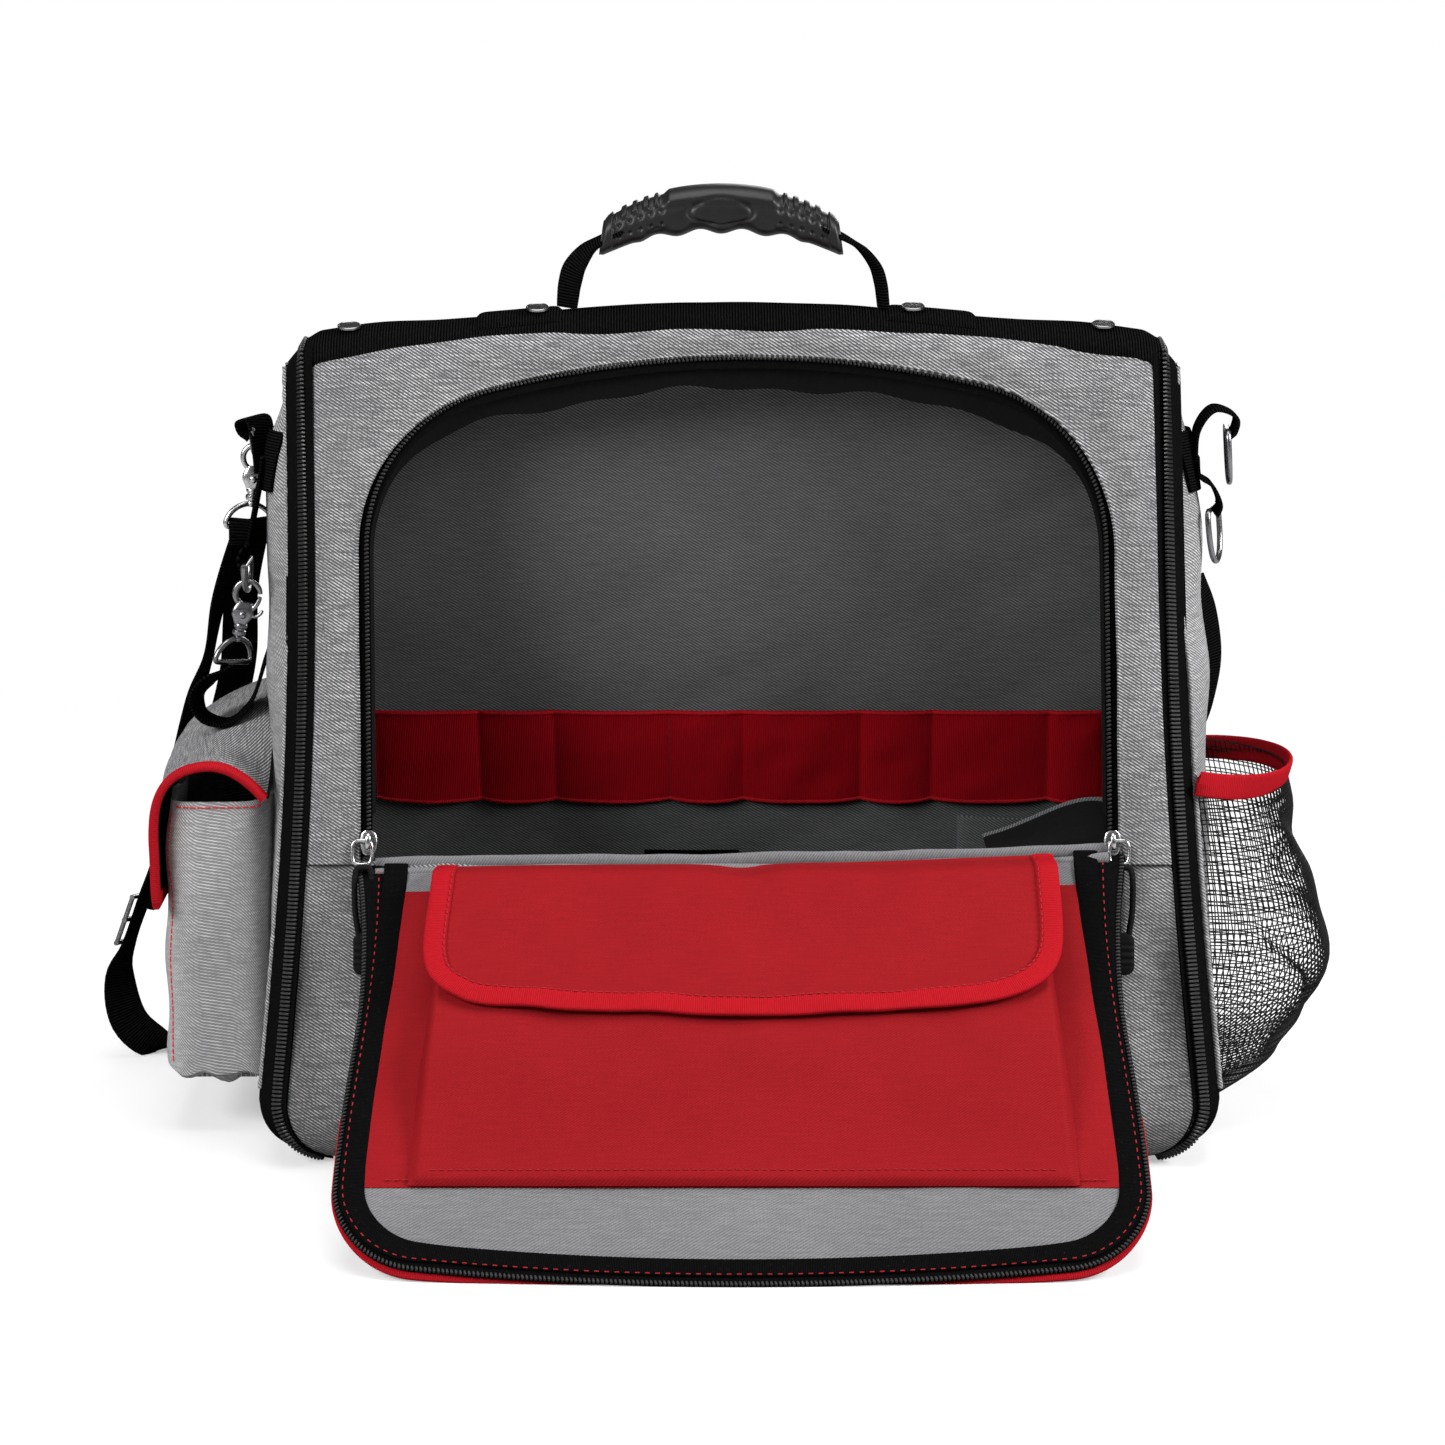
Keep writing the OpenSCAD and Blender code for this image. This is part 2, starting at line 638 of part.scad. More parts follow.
// Webbing from the patch to just above a ring's bar, leaving a clear seat for the wire
seat = ring_wire / 2 + seam + loop_t / 2;
function upper_loop(b) = let (x = patch_x + loop_t / 2, y = b[1]) [
    [x, y, patch_z + patch_h + seam, 90, loop_w], [x, y, patch_z + patch_h + 9, 90, loop_w],
    [x + 4, y, patch_z + patch_h + 13, 90, loop_w], [b[0] - 3, y, b[2] + 12, 90, loop_w],
    [b[0], y, b[2] + seat - loop_t / 2, 90, loop_w]
];
function lower_loop(b) = let (x = patch_x + loop_t / 2, y = b[1]) [
    [x, y, patch_z - seam, 90, loop_w], [x + 2, y, (patch_z + b[2]) / 2 + 2, 90, loop_w],
    [b[0], y, b[2] + seat, 90, loop_w]
];
module right_side_webbing() {
    bow_z = patch_z - 58;
    rim_z = net_rim_z + net_rim_h;
    x = end_x(bow_z);
    color("#191919") {
        patch();
        band(upper_loop(upper_bar), loop_t);
        band(lower_loop(right_lower_bar), loop_t);
        band([
            [x + 2, 22, bow_z + 2, 80, strap_w], [x + 9, 24, bow_z - 20, 70, strap_w],
            [x + 10, 26, (bow_z + rim_z) / 2 - 6, 70, strap_w], [x + 11, 27, rim_z + 14, 70, strap_w],
            [x + 10, 28, rim_z + 4, 70, strap_w]
        ], strap_t);
    }
}
module left_side_webbing() {
    color("#191919") mirror([1, 0, 0]) {
        patch();
        band(upper_loop(across(left_upper_bar)), loop_t);
        band(lower_loop(across(left_lower_bar)), loop_t);
    }
}
module right_upper_ring() {
    color("#77787a") d_ring(upper_bar);
}
module right_lower_ring() {
    color("#77787a") d_ring(right_lower_bar);
}
module left_upper_ring() {
    color("#77787a") d_ring(left_upper_bar);
}
module left_lower_ring() {
    color("#77787a") d_ring(left_lower_bar);
}

// Snap hook, hung by its claw: claw centre at the origin, shank down -Z, claw in the XZ plane
shank_w = 6.4;
shank_t = 3.4;
shank_top = claw_r + 0.4;
barrel_top = shank_top + 10;
barrel_h = 6;
barrel_d = 6.6;
stem_d = 2.6;
eye_wire = 2.8;
eye_r = eye_w / 2 + eye_wire / 2;
pivot_z = -shank_top - 5;
pivot_d = 2;
trigger_y = max(shank_t, claw_wire) / 2 + seam;
trigger_t = 1.3;
module hook_frame() {
    difference() {
        union() {
            rotate([90, 0, 0]) rotate([0, 0, 10]) rotate_extrude(angle = 300, $fn = 64)
                translate([claw_r, 0]) circle(d = claw_wire, $fn = 32);
            translate([-shank_w / 2, -shank_t / 2, -barrel_top])
                cube([shank_w, shank_t, barrel_top - claw_r + claw_wire / 3]);
            translate([0, 0, -barrel_top - barrel_h]) cylinder(d = barrel_d, h = barrel_h, $fn = 40);
            translate([0, trigger_y + trigger_t + 0.4, pivot_z]) rotate([90, 0, 0])
                cylinder(d = pivot_d, h = 2 * trigger_y + trigger_t, $fn = 32);
        }
        translate([0, 0, -barrel_top - barrel_h - 1])
            cylinder(d = stem_d + 2 * running, h = barrel_h, $fn = 32);
    }
}
module hook_trigger() {
    translate([0, trigger_y + trigger_t, pivot_z]) rotate([90, 0, 0]) linear_extrude(trigger_t) difference() {
        union() {
            circle(r = pivot_d / 2 + 1.6, $fn = 32);
            rotate(-24) translate([-1.3, 0]) square([2.6, 11]);
            rotate(-70) translate([-0.9, 0]) square([1.8, 7]);
        }
        circle(r = pivot_d / 2 + running, $fn = 32);
    }
}
module hook_eye(turn) {
    eye_z = -barrel_top - barrel_h - 1.6 - eye_r;
    rotate([0, 0, turn]) {
        translate([0, 0, eye_z + eye_r - 0.6]) cylinder(d = stem_d, h = barrel_h, $fn = 32);
        translate([0, 0, eye_z]) rotate([90, 0, 0]) rotate_extrude(angle = 180, $fn = 64)
            translate([eye_r, 0]) circle(d = eye_wire, $fn = 32);
        translate([0, 0, eye_z]) rotate([0, 90, 0])
            cylinder(d = eye_wire, h = 2 * eye_r, center = true, $fn = 32);
    }
}
// Claw centre under a ring: the ring's wire rests at the top of the claw's eye
claw_drop = ring_r + claw_r - claw_wire / 2 - ring_wire / 2 - seam;
module hang_from(bar, tilt) {
    translate(bar - [0, 0, claw_drop]) rotate([0, tilt, 0]) children();
}
upper_tilt = 7;
lower_tilt = 14;
upper_turn = 20;
lower_turn = 50;
module upper_hook() {
    color("#6f7073") hang_from(left_upper_bar, upper_tilt) hook_frame();
}
module upper_hook_trigger() {
    color("#808184") hang_from(left_upper_bar, upper_tilt) hook_trigger();
}
module upper_hook_eye() {
    color("#77787a") hang_from(left_upper_bar, upper_tilt) hook_eye(upper_turn);
}
module lower_hook() {
    color("#6f7073") hang_from(left_lower_bar, lower_tilt) hook_frame();
}
module lower_hook_trigger() {
    color("#808184") hang_from(left_lower_bar, lower_tilt) hook_trigger();
}
module lower_hook_eye() {
    color("#77787a") hang_from(left_lower_bar, lower_tilt) hook_eye(lower_turn);
}
// Middle of an eye's straight bar
eye_drop = barrel_top + barrel_h + 1.6 + eye_r;
function eye_bar(bar, tilt) = bar - [0, 0, claw_drop] - eye_drop * [sin(tilt), 0, cos(tilt)];

// Shoulder strap: down from the upper eye behind the flap pocket, through the adjuster, along the floor
upper_eye = eye_bar(left_upper_bar, upper_tilt);
lower_eye = eye_bar(left_lower_bar, lower_tilt);
strap_gap = eye_wire / 2 + seam;
adjust_from = [-306, 80, 112];
adjust_to = [-324, 74, 62];
strap_route = [
    [upper_eye[0], upper_eye[1] - 1.6, upper_eye[2] - strap_gap - 1.2, 20],
    [-262, 22, 262, 20], [-273, 50, 228, 20],
    [-285, 74, 196, 25], [-296, 80, 150, 45], [adjust_from[0], adjust_from[1], adjust_from[2], 75],
    [-315, 77, 87, 75], [adjust_to[0], adjust_to[1], adjust_to[2], 75], [-329, 70, 44, 50],
    [-324, 68, 20, 20], [-308, 74, 5, 10], [-290, 92, 2, -20], [-262, 118, 2, -40], [-225, 135, 2, -70],
    [-150, 142, 2, -88], [0, 145, 2, -90], [100, 143, 2, -91]
];
module shoulder_strap() {
    color("#151515") band([for (p = strap_route) [p[0], p[1], p[2], p[3], strap_w]], strap_t);
}
return_route = [
    [upper_eye[0], upper_eye[1] + 2, upper_eye[2] - strap_gap - 1.4, 20], [-255, 38, 256, 20],
    [-262, 76, 214, 20], [-272, 94, 178, 30], [-282, 101, 145, 55], [-298, 89, 112, 75], [-314, 79.5, 79, 75]
];
module strap_return() {
    color("#151515") band([for (p = return_route) [p[0], p[1], p[2], p[3], strap_w]], strap_t);
}
// Three-bar adjuster: a frame round the webbing, with its middle bar outside the strap
adjust_axis = unit(adjust_from - adjust_to);
adjust_wide = [cos(75), sin(75), 0];
adjust_out = unit(cross(adjust_axis, adjust_wide));
module in_adjuster() {
    w = unit(cross(adjust_axis, adjust_out));
    o = adjust_to;
    multmatrix([
        [w[0], adjust_axis[0], adjust_out[0], o[0]], [w[1], adjust_axis[1], adjust_out[1], o[1]],
        [w[2], adjust_axis[2], adjust_out[2], o[2]], [0, 0, 0, 1]
    ]) children();
}
adjust_bar = 2.6;
adjust_len = 26;
module adjuster_bar(y, z) {
    translate([0, y, z]) rotate([0, 90, 0])
        cylinder(d = adjust_bar, h = strap_w + 2 * adjust_bar + 2, center = true, $fn = 24);
}
module strap_adjuster() {
    out = strap_t / 2 + adjust_bar / 2 + seam;
    color("#a9aaac") in_adjuster() {
        for (y = [0, adjust_len / 2, adjust_len]) adjuster_bar(y, out);
        for (side = [-1, 1]) translate([side * (strap_w / 2 + adjust_bar / 2 + 1), 0, out])
            rotate([-90, 0, 0]) cylinder(d = adjust_bar, h = adjust_len, $fn = 24);
    }
}
module leash_webbing() {
    e = lower_eye;
    y = e[1];
    rise_z = e[2] + 13.5;
    end_z = e[2] + 35.5;
    color("#151515") band([
        [e[0], y, e[2] - strap_gap - 2.2, 50, strap_w], [e[0] - 12, y - 3, e[2] - 9, 60, strap_w],
        [e[0] - 18, y - 2, e[2] - 18, 75, strap_w], [e[0] - 14, y, e[2] - 28, 85, strap_w],
        [e[0] - 3, y + 4, e[2] - 31, 90, strap_w], [e[0] + 8, y + 9, e[2] - 22, 92, strap_w],
        [e[0] + 15, y + 13, e[2] - 2, 95, strap_w], [-end_x(rise_z) - 2.5, y + 14, rise_z, 93, strap_w],
        [-end_x(end_z) - strap_t / 2 - seam, y + 13, end_z, 90, strap_w]
    ], strap_t);
}
far_end = strap_route[len(strap_route) - 1];
module far_hook() {
    lift = barrel_d / 2 + 0.4;
    color("#6f7073") translate([far_end[0] + eye_drop + strap_gap, far_end[1], lift])
        rotate([0, 0, -1]) rotate([0, 90, 0]) rotate([0, 0, 90]) {
            hook_frame();
            hook_trigger();
            hook_eye(0);
        }
}

// Drop-down door, drawn shut in the hinge's own frame: x, distance from the hinge, distance out
door_len = opening_crown - coil_mid - hinge_slant;
door_drop = asin((hinge_at[2] - door_floor_gap) / door_len);
module in_door() {
    translate(hinge_at) rotate([180 + door_drop, 0, 0]) children();
}
module door_arch(inset, u0) {
    translate([0, -hinge_slant]) arch(inset, hinge_slant + u0);
}
module door_arch_band(from, to, u0) {
    translate([0, -hinge_slant]) arch_band(from, to, hinge_slant + u0);
}
edge_start = slider_len + 4;
module door_outer() {
    // The outer panel starts where it clears the lower front panel at the open stop
    start = piping_r + seam + (door_outer_t + 0.5) / tan((90 - door_drop - lean) * 0.8);
    color("#c8102e") in_door() plate(0.1, door_outer_t) door_arch(door_edge + tape_show, start);
}
module door_lining() {
    color("#9da0a2") in_door() plate(-door_lining_t, door_lining_t) door_arch(lining_edge, piping_r + seam);
}
binding_top = -max(coil_t, door_lining_t) - seam;
module door_binding() {
    color("#141414") in_door() plate(binding_top - binding_t, binding_t)
        door_arch_band(door_edge + 0.4, door_edge + binding_w, edge_start);
}
module door_zip_coil() {
    color("#1e1e1e") in_door() plate(-coil_t, coil_t)
        door_arch_band(door_edge, door_edge + coil_w, edge_start);
}
pocket_top_u = 22;
pocket_half = arch_half - door_edge - binding_w - seam;
flat_low = -door_lining_t - 0.2 - flat_pocket_t;
module door_flat_pocket() {
    color("#b9131f") in_door() plate(flat_low, flat_pocket_t) intersection() {
        translate([-pocket_half, pocket_top_u]) square([2 * pocket_half, pocket_foot - pocket_top_u]);
        door_arch(arch_half - pocket_half, 0);
    }
}
box_low = flat_low - seam - box_pocket_t;
// The box pocket tapers from its mouth, near the hinge, to its sewn foot
box_top_u = pocket_top_u + 4;
module door_box_pocket() {
    top = flat_low - seam;
    color("#c8161f") in_door() translate([-box_pocket_w / 2, 0, 0]) rotate([90, 0, 90])
        linear_extrude(box_pocket_w) polygon([
            [box_top_u, top], [box_top_u, box_low], [box_top_u + flap_len, box_low],
            [pocket_foot, top - box_foot_t], [pocket_foot, top]
        ]);
}
// The flap is sewn to the lining near the hinge, climbs over the pocket's mouth and lies on the pocket
flap_u = pocket_top_u - 14;
flap_root_n = -door_lining_t - seam;
flap_half_w = box_pocket_w / 2 + 3;
flap_end = flap_u + flap_len + 4;
module flap_outline(inset) {
    w = flap_half_w - inset;
    r = flap_corner - inset;
    end = flap_end - inset;
    polygon(concat(
        [[-w, flap_u - 1], [w, flap_u - 1]],
        [for (k = [0:6]) [w - r + r * cos(k * 15), end - r + r * sin(k * 15)]],
        [for (k = [6:-1:0]) [-w + r - r * cos(k * 15), end - r + r * sin(k * 15)]]
    ));
}
flap_under = box_low - seam;
flap_low = flap_under - flap_t;
module door_flap() {
    color("#c8161f") in_door() intersection() {
        translate([-flap_half_w, 0, 0]) rotate([90, 0, 90]) linear_extrude(2 * flap_half_w) polygon([
            [flap_u, flap_root_n], [flap_u + flap_t, flap_root_n], [box_top_u - 8, flap_under * 0.8],
            [box_top_u - 3, flap_under], [flap_end, flap_under], [flap_end, flap_low],
            [box_top_u - 4, flap_low], [box_top_u - 10, flap_under * 0.82]
        ]);
        plate(flap_low - 1, -flap_low + 1) flap_outline(flap_binding_w + 0.1);
    }
}
module door_flap_binding() {
    color("#d31a24") in_door() plate(flap_low - 0.6, flap_t + 0.6) intersection() {
        difference() {
            flap_outline(0);
            flap_outline(flap_binding_w);
        }
        translate([-flap_half_w, box_top_u - 3]) square([2 * flap_half_w, flap_end]);
    }
}

// Zip sliders: two plates round the coils, joined by a post in the coil gap, with a staple for the pull
slider_w = 2 * coil_w + coil_gap + 1.2;
slider_x = arch_half - coil_mid;
slider_s = zip_start + 1.5;
top_n = hinge_n + 2 * seam;
staple_n = top_n + slider_plate;
pull_s = slider_s + slider_len / 2;
pull_n = staple_n + 1.6;
module slider(side) {
    low_n = min(tape_top, -panel_t - seam) - tape_t - seam - slider_plate;
    translate([side * slider_x, 0, 0]) {
        translate([-slider_w / 2, slider_s, top_n]) cube([slider_w, slider_len, slider_plate]);
        translate([-slider_w / 2, slider_s, low_n]) cube([slider_w, slider_len, slider_plate]);
        translate([-(coil_gap / 2 - seam), slider_s, low_n])
            cube([coil_gap - 2 * seam, slider_len / 3, top_n - low_n]);
        for (end = [-1, 1]) translate([-1, pull_s + end * 3.4 - 0.7, staple_n]) cube([2, 1.4, 3.6]);
        translate([-1, pull_s - 4.1, staple_n + 3.2]) cube([2, 8.2, 1.2]);
    }
}
module left_slider() {
    color("#8d8e90") on_front() slider(-1);
}
module right_slider() {
    color("#8d8e90") on_front() slider(1);
}
// The pull hangs outboard of the door's edge, so that its bail and cord sit to one side of the slider
bail_wire = 1.8;
bail_w = 12;
bail_len = 18;
bail_shift = 3.5;
cord_w = 8;
cord_shift = 7.5;
module pull_bail(side) {
    r = bail_wire / 2;
    translate([side * (slider_x + bail_shift), pull_s, pull_n]) {
        rotate([0, 90, 0]) cylinder(r = r, h = bail_w, center = true, $fn = 24);
        for (end = [-1, 1]) translate([end * bail_w / 2, 0, 0]) {
            rotate([90, 0, 0]) cylinder(r = r, h = bail_len, $fn = 24);
            sphere(r = r, $fn = 24);
        }
        translate([0, -bail_len, 0]) rotate([0, 90, 0]) cylinder(r = r, h = bail_w, center = true, $fn = 24);
        for (end = [-1, 1]) translate([end * bail_w / 2, -bail_len, 0]) sphere(r = r, $fn = 24);
    }
}
module left_pull_bail() {
    color("#9a9b9d") on_front() pull_bail(-1);
}
module right_pull_bail() {
    color("#9a9b9d") on_front() pull_bail(1);
}
cord_r = 1.5;
module pull_cord(side) {
    start = pull_s - bail_len - bail_wire / 2 - seam - cord_r;
    translate([side * (slider_x + cord_shift), 0, pull_n]) {
        translate([0, start, 0]) rotate([0, 90, 0]) cylinder(r = cord_r, h = cord_w, center = true, $fn = 24);
        for (end = [-1, 1]) translate([end * cord_w / 2, start, 0]) {
            sphere(r = cord_r, $fn = 24);
            rotate([90, 0, 0]) cylinder(r = cord_r, h = pull_cord_len, $fn = 24);
        }
        translate([-5.5, start - pull_cord_len - pull_tab_len, -cord_r])
            cube([11, pull_tab_len + 1, 2 * cord_r]);
    }
}
module left_pull_cord() {
    color("#111111") on_front() pull_cord(-1);
}
module right_pull_cord() {
    color("#111111") on_front() pull_cord(1);
}

// Corner zip sliders, parked low on the back corners
corner_slider_z = 70;
module corner_slider() {
    z = corner_slider_z;
    way = unit([-width_slope, -tan(lean), 1]);
    out = unit(cross(way, cross(unit([1, 1, 0]), way)));
    wide = cross(way, out);
    o = [half_w(z) - corner_leg / 2, half_d(z) - corner_leg / 2, z] + out * (coil_lift + coil_t + seam);
    multmatrix([
        [wide[0], way[0], out[0], o[0]], [wide[1], way[1], out[1], o[1]], [wide[2], way[2], out[2], o[2]],
        [0, 0, 0, 1]
    ]) {
        translate([-slider_w / 2, 0, 0]) cube([slider_w, slider_len, slider_plate]);
        translate([-1, slider_len / 4, slider_plate]) cube([2, slider_len / 2, 2.4]);
        translate([-2.5, slider_len / 4 - 20, slider_plate]) cube([5, 20, 1.4]);
    }
}
module right_corner_slider() {
    color("#1d1d1e") corner_slider();
}
module left_corner_slider() {
    color("#1d1d1e") mirror([1, 0, 0]) corner_slider();
}

// Carry handle: webbing that narrows to its roots, and a rubber grip moulded over its middle
root_r = 3;
root_z = shoulder_z(handle_root) + crown(handle_root) + 2 * seam + tab_t + seam + root_r;
handle_half = [
    [handle_root, 0 - root_r, 0.8], [handle_root, -0.7 * root_r, 4.2], [handle_root, 0, 2 * root_r],
    [handle_root + 1, 10, 9], [handle_root - 4, handle_rise * 0.5, 18],
    [handle_root - 16, handle_rise * 0.68, handle_w], [handle_root - 36, handle_rise * 0.86, handle_w]
];
module handle_webbing() {
    last = len(handle_half) - 1;
    right = [for (p = handle_half) [p[0], 0, root_z + p[1], 90, p[2]]];
    left = [for (k = [last:-1:0]) let (p = handle_half[k]) [-p[0], 0, root_z + p[1], 90, p[2]]];
    color("#171717") band(concat(right, [[0, 0, root_z + handle_rise, 90, handle_w]], left), 2.4);
}
module handle_grip() {
    stations = [for (k = [-6:6]) k / 6];
    color("#1a1a1a") loft([
        for (f = stations) let (
            x = f * grip_len / 2,
            swell = 1 - 0.24 * f * f,
            zc = root_z + handle_rise - 9 * f * f - 2 * pow(f, 4)
        ) [for (j = [0:13]) let (t = j * 360 / 14)
            [x, grip_d / 2 * swell * cos(t), zc + grip_h / 2 * swell * sin(t)]]
    ]);
}

base_panel();
base_board();
front_panel();
front_lower_panel();
back_panel();
left_end_panel();
right_end_panel();
spine_webbing();
ridge_batten();
spine_rivets();
handle_tabs();
corner_zip_tapes();
corner_zip_coils();
opening_zip_tape();
opening_zip_coil();
hinge_piping();
back_lining();
tool_loop_strip();
inner_pocket();
left_pocket();
mesh_pocket();
mesh_rim();
left_side_webbing();
right_side_webbing();
shoulder_strap();
strap_return();
strap_adjuster();
leash_webbing();
left_upper_ring();
left_lower_ring();
right_upper_ring();
right_lower_ring();
upper_hook();
upper_hook_trigger();
upper_hook_eye();
lower_hook();
lower_hook_trigger();
lower_hook_eye();
far_hook();
door_outer();
door_lining();
door_binding();
door_zip_coil();
door_flat_pocket();
door_box_pocket();
door_flap();
door_flap_binding();
left_slider();
right_slider();
left_pull_bail();
left_pull_cord();
right_pull_bail();
right_pull_cord();
handle_webbing();
handle_grip();
left_pocket_flap();
left_flap_binding();
left_corner_slider();
right_corner_slider();
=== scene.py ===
"""Looks of a soft wedge organiser bag with a drop-down zip door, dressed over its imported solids."""

import logging
import math
from dataclasses import dataclass
from enum import Enum
from typing import Callable, Optional, Sequence

import bpy
import numpy as np
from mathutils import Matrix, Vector
from numpy.typing import ArrayLike


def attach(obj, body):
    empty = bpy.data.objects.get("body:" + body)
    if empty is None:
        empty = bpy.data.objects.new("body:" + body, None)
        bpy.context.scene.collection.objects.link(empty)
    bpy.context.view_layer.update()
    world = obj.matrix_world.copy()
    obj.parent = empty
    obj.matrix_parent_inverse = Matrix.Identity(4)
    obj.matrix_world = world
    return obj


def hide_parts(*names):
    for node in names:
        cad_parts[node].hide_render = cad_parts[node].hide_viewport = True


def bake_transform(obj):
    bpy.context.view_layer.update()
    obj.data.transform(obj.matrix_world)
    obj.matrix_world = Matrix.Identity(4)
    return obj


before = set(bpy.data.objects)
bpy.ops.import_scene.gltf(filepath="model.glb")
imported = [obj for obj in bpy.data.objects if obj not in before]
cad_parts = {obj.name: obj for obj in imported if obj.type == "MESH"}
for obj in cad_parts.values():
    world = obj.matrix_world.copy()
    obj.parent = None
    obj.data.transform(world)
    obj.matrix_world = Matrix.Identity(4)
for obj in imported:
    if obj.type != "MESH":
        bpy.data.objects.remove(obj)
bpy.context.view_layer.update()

LOG = logging.getLogger("organiser_bag")
MM = 0.001
Array = np.ndarray
Piece = bpy.types.Object
Place = Callable[[Array, Array], Array]
Layout = Callable[[Array, Array, Array], Array]
Colour = tuple[float, float, float]


# Lines and curves

def path_of(points: Sequence[Sequence[float]], steps: int) -> Array:
    """Smooth a listed route into evenly spaced points.

    Args:
        points: Route points, which may carry extra columns such as a heading.
        steps: Number of points wanted.

    Returns:
        The smoothed points, with the same columns.
    """
    p = np.asarray(points, float)
    held = np.vstack([2 * p[0] - p[1], p, 2 * p[-1] - p[-2]])
    fine = []
    for k in range(len(p) - 1):
        a, b, c, d = held[k:k + 4]
        for t in np.linspace(0, 1, 24, endpoint=False):
            bend = 2 * a - 5 * b + 4 * c - d
            twist = 3 * b - a - 3 * c + d
            fine.append(0.5 * (2 * b + (c - a) * t + bend * t ** 2 + twist * t ** 3))
    return even(np.array(fine + [p[-1]]), steps)


def run_of(path: Array) -> Array:
    """Distance along a line of points, from its start to each point."""
    return np.concatenate([[0], np.cumsum(np.linalg.norm(np.diff(path[:, :3], axis=0), axis=1))])


def even(path: Array, steps: int) -> Array:
    """Space the points of a line evenly.

    Args:
        path: Points of the line.
        steps: Number of points wanted.

    Returns:
        The new points.
    """
    run = run_of(path)
    wanted = np.linspace(0, run[-1], steps)
    return np.stack([np.interp(wanted, run, path[:, i]) for i in range(path.shape[1])], 1)


def unit(v: Array) -> Array:
    """Scale each row to a length of one."""
    return v / np.maximum(np.linalg.norm(v, axis=-1, keepdims=True), 1e-9)


def ease(t: Array) -> Array:
    """Rise smoothly from 0 to 1 as t goes from 0 to 1."""
    t = np.clip(t, 0, 1)
    return t * t * (3 - 2 * t)


def hump(t: Array, middle: float, width: float) -> Array:
    """A smooth bump of height one at the middle."""
    return np.exp(-((t - middle) / width) ** 2)


def squarish(wave: Array, power: float) -> Array:
    """Square off a wave; the lower the power, the flatter its crests."""
    return np.sign(wave) * np.abs(wave) ** power


def folds(a: Array, b: Array, size: float, seed: int) -> Array:
    """Soft waves that run across cloth in a few directions.

    Args:
        a: Place across the cloth, in millimetres.
        b: Place up the cloth, in millimetres.
        size: Typical width of a wave.
        seed: Number that picks one set of waves.

    Returns:
        Height of the waves, from about -1 to 1.
    """
    draw = np.random.default_rng(seed)
    total = np.zeros_like(a, float)
    for _ in range(6):
        turn, phase, share = draw.uniform(0, math.pi), draw.uniform(0, 2 * math.pi), draw.uniform(0.6, 1.5)
        total += np.sin((a * math.cos(turn) + b * math.sin(turn)) * 2 * math.pi / size / share + phase)
    return total / 3.5


# Mesh making

def deselect() -> None:
    """Deselect everything, so that the next operator acts on one piece alone."""
    bpy.ops.object.select_all(action="DESELECT")


def pick(piece: Piece) -> None:
    """Select one piece and make it the active one."""
    deselect()
    piece.select_set(True)
    bpy.context.view_layer.objects.active = piece


def modify(piece: Piece, kind: str, **settings: object) -> Piece:
    """Add a modifier to a piece and apply it.

    Args:
        piece: The piece to change.
        kind: Blender's name for the modifier.
        settings: The modifier's values.

    Returns:
        The same piece.
    """
    pick(piece)
    modifier = piece.modifiers.new(kind.lower(), kind)
    for key, value in settings.items():
        setattr(modifier, key, value)
    bpy.ops.object.modifier_apply(modifier=modifier.name)
    return piece


def thicken(piece: Piece, thick: float, side: float = -1.0) -> Piece:
    """Give a sheet its thickness in millimetres, on the side that the sign names."""
    return modify(piece, "SOLIDIFY", thickness=thick * MM, offset=side, use_even_offset=False)


def close_up(piece: Piece, cap: bool) -> Piece:
    """Merge the seam of a wrapped sheet, close its ends and turn its faces outwards.

    Args:
        piece: The wrapped sheet.
        cap: Whether open ends are filled.

    Returns:
        The same piece.
    """
    pick(piece)
    bpy.ops.object.mode_set(mode="EDIT")
    bpy.ops.mesh.select_all(action="SELECT")
    bpy.ops.mesh.remove_doubles(threshold=2e-6)
    if cap:
        bpy.ops.mesh.fill_holes(sides=0)
    bpy.ops.mesh.normals_make_consistent(inside=False)
    bpy.ops.object.mode_set(mode="OBJECT")
    return piece


def lay_cloth(piece: Piece, flat: Array) -> None:
    """Write where each point lay on the flat cloth, in metres, as the piece's own map."""
    mesh = piece.data
    corner = np.empty(len(mesh.loops), np.int32)
    mesh.loops.foreach_get("vertex_index", corner)
    layer = mesh.uv_layers[0] if mesh.uv_layers else mesh.uv_layers.new(name="cloth")
    layer.name = "cloth"
    layer.data.foreach_set("uv", (flat[corner] * MM).astype(np.float32).ravel())


def lofted(name: str, cols: int, rows: int, place: Place, cut: Optional[Layout] = None) -> Piece:
    """Shape a grid into a curved sheet.

    Args:
        name: Name of the piece.
        cols: Number of faces across.
        rows: Number of faces along.
        place: Gives points in millimetres for shares across and along, each from 0 to 1.
        cut: Gives where the points lay on the flat cloth, where the weave doesn't follow the grid.

    Returns:
        The new sheet.
    """
    deselect()
    bpy.ops.mesh.primitive_grid_add(x_subdivisions=cols, y_subdivisions=rows, size=1, location=(0, 0, 0))
    piece = bpy.context.active_object
    piece.name = piece.data.name = name
    mesh = piece.data
    flat = np.empty(len(mesh.vertices) * 3, np.float32)
    mesh.vertices.foreach_get("co", flat)
    u, v = (flat.reshape(-1, 3)[:, :2].astype(float) + 0.5).T
    points = place(u, v)
    mesh.vertices.foreach_set("co", (points * MM).astype(np.float32).ravel())
    if cut is None:
        line = np.linspace(0, 1, 60)
        wide = run_of(place(line, np.full(60, 0.5)))[-1]
        long = run_of(place(np.full(60, 0.5), line))[-1]
        lay_cloth(piece, np.stack([u * wide, v * long], 1))
    else:
        lay_cloth(piece, cut(u, v, points))
    mesh.update()
    return piece


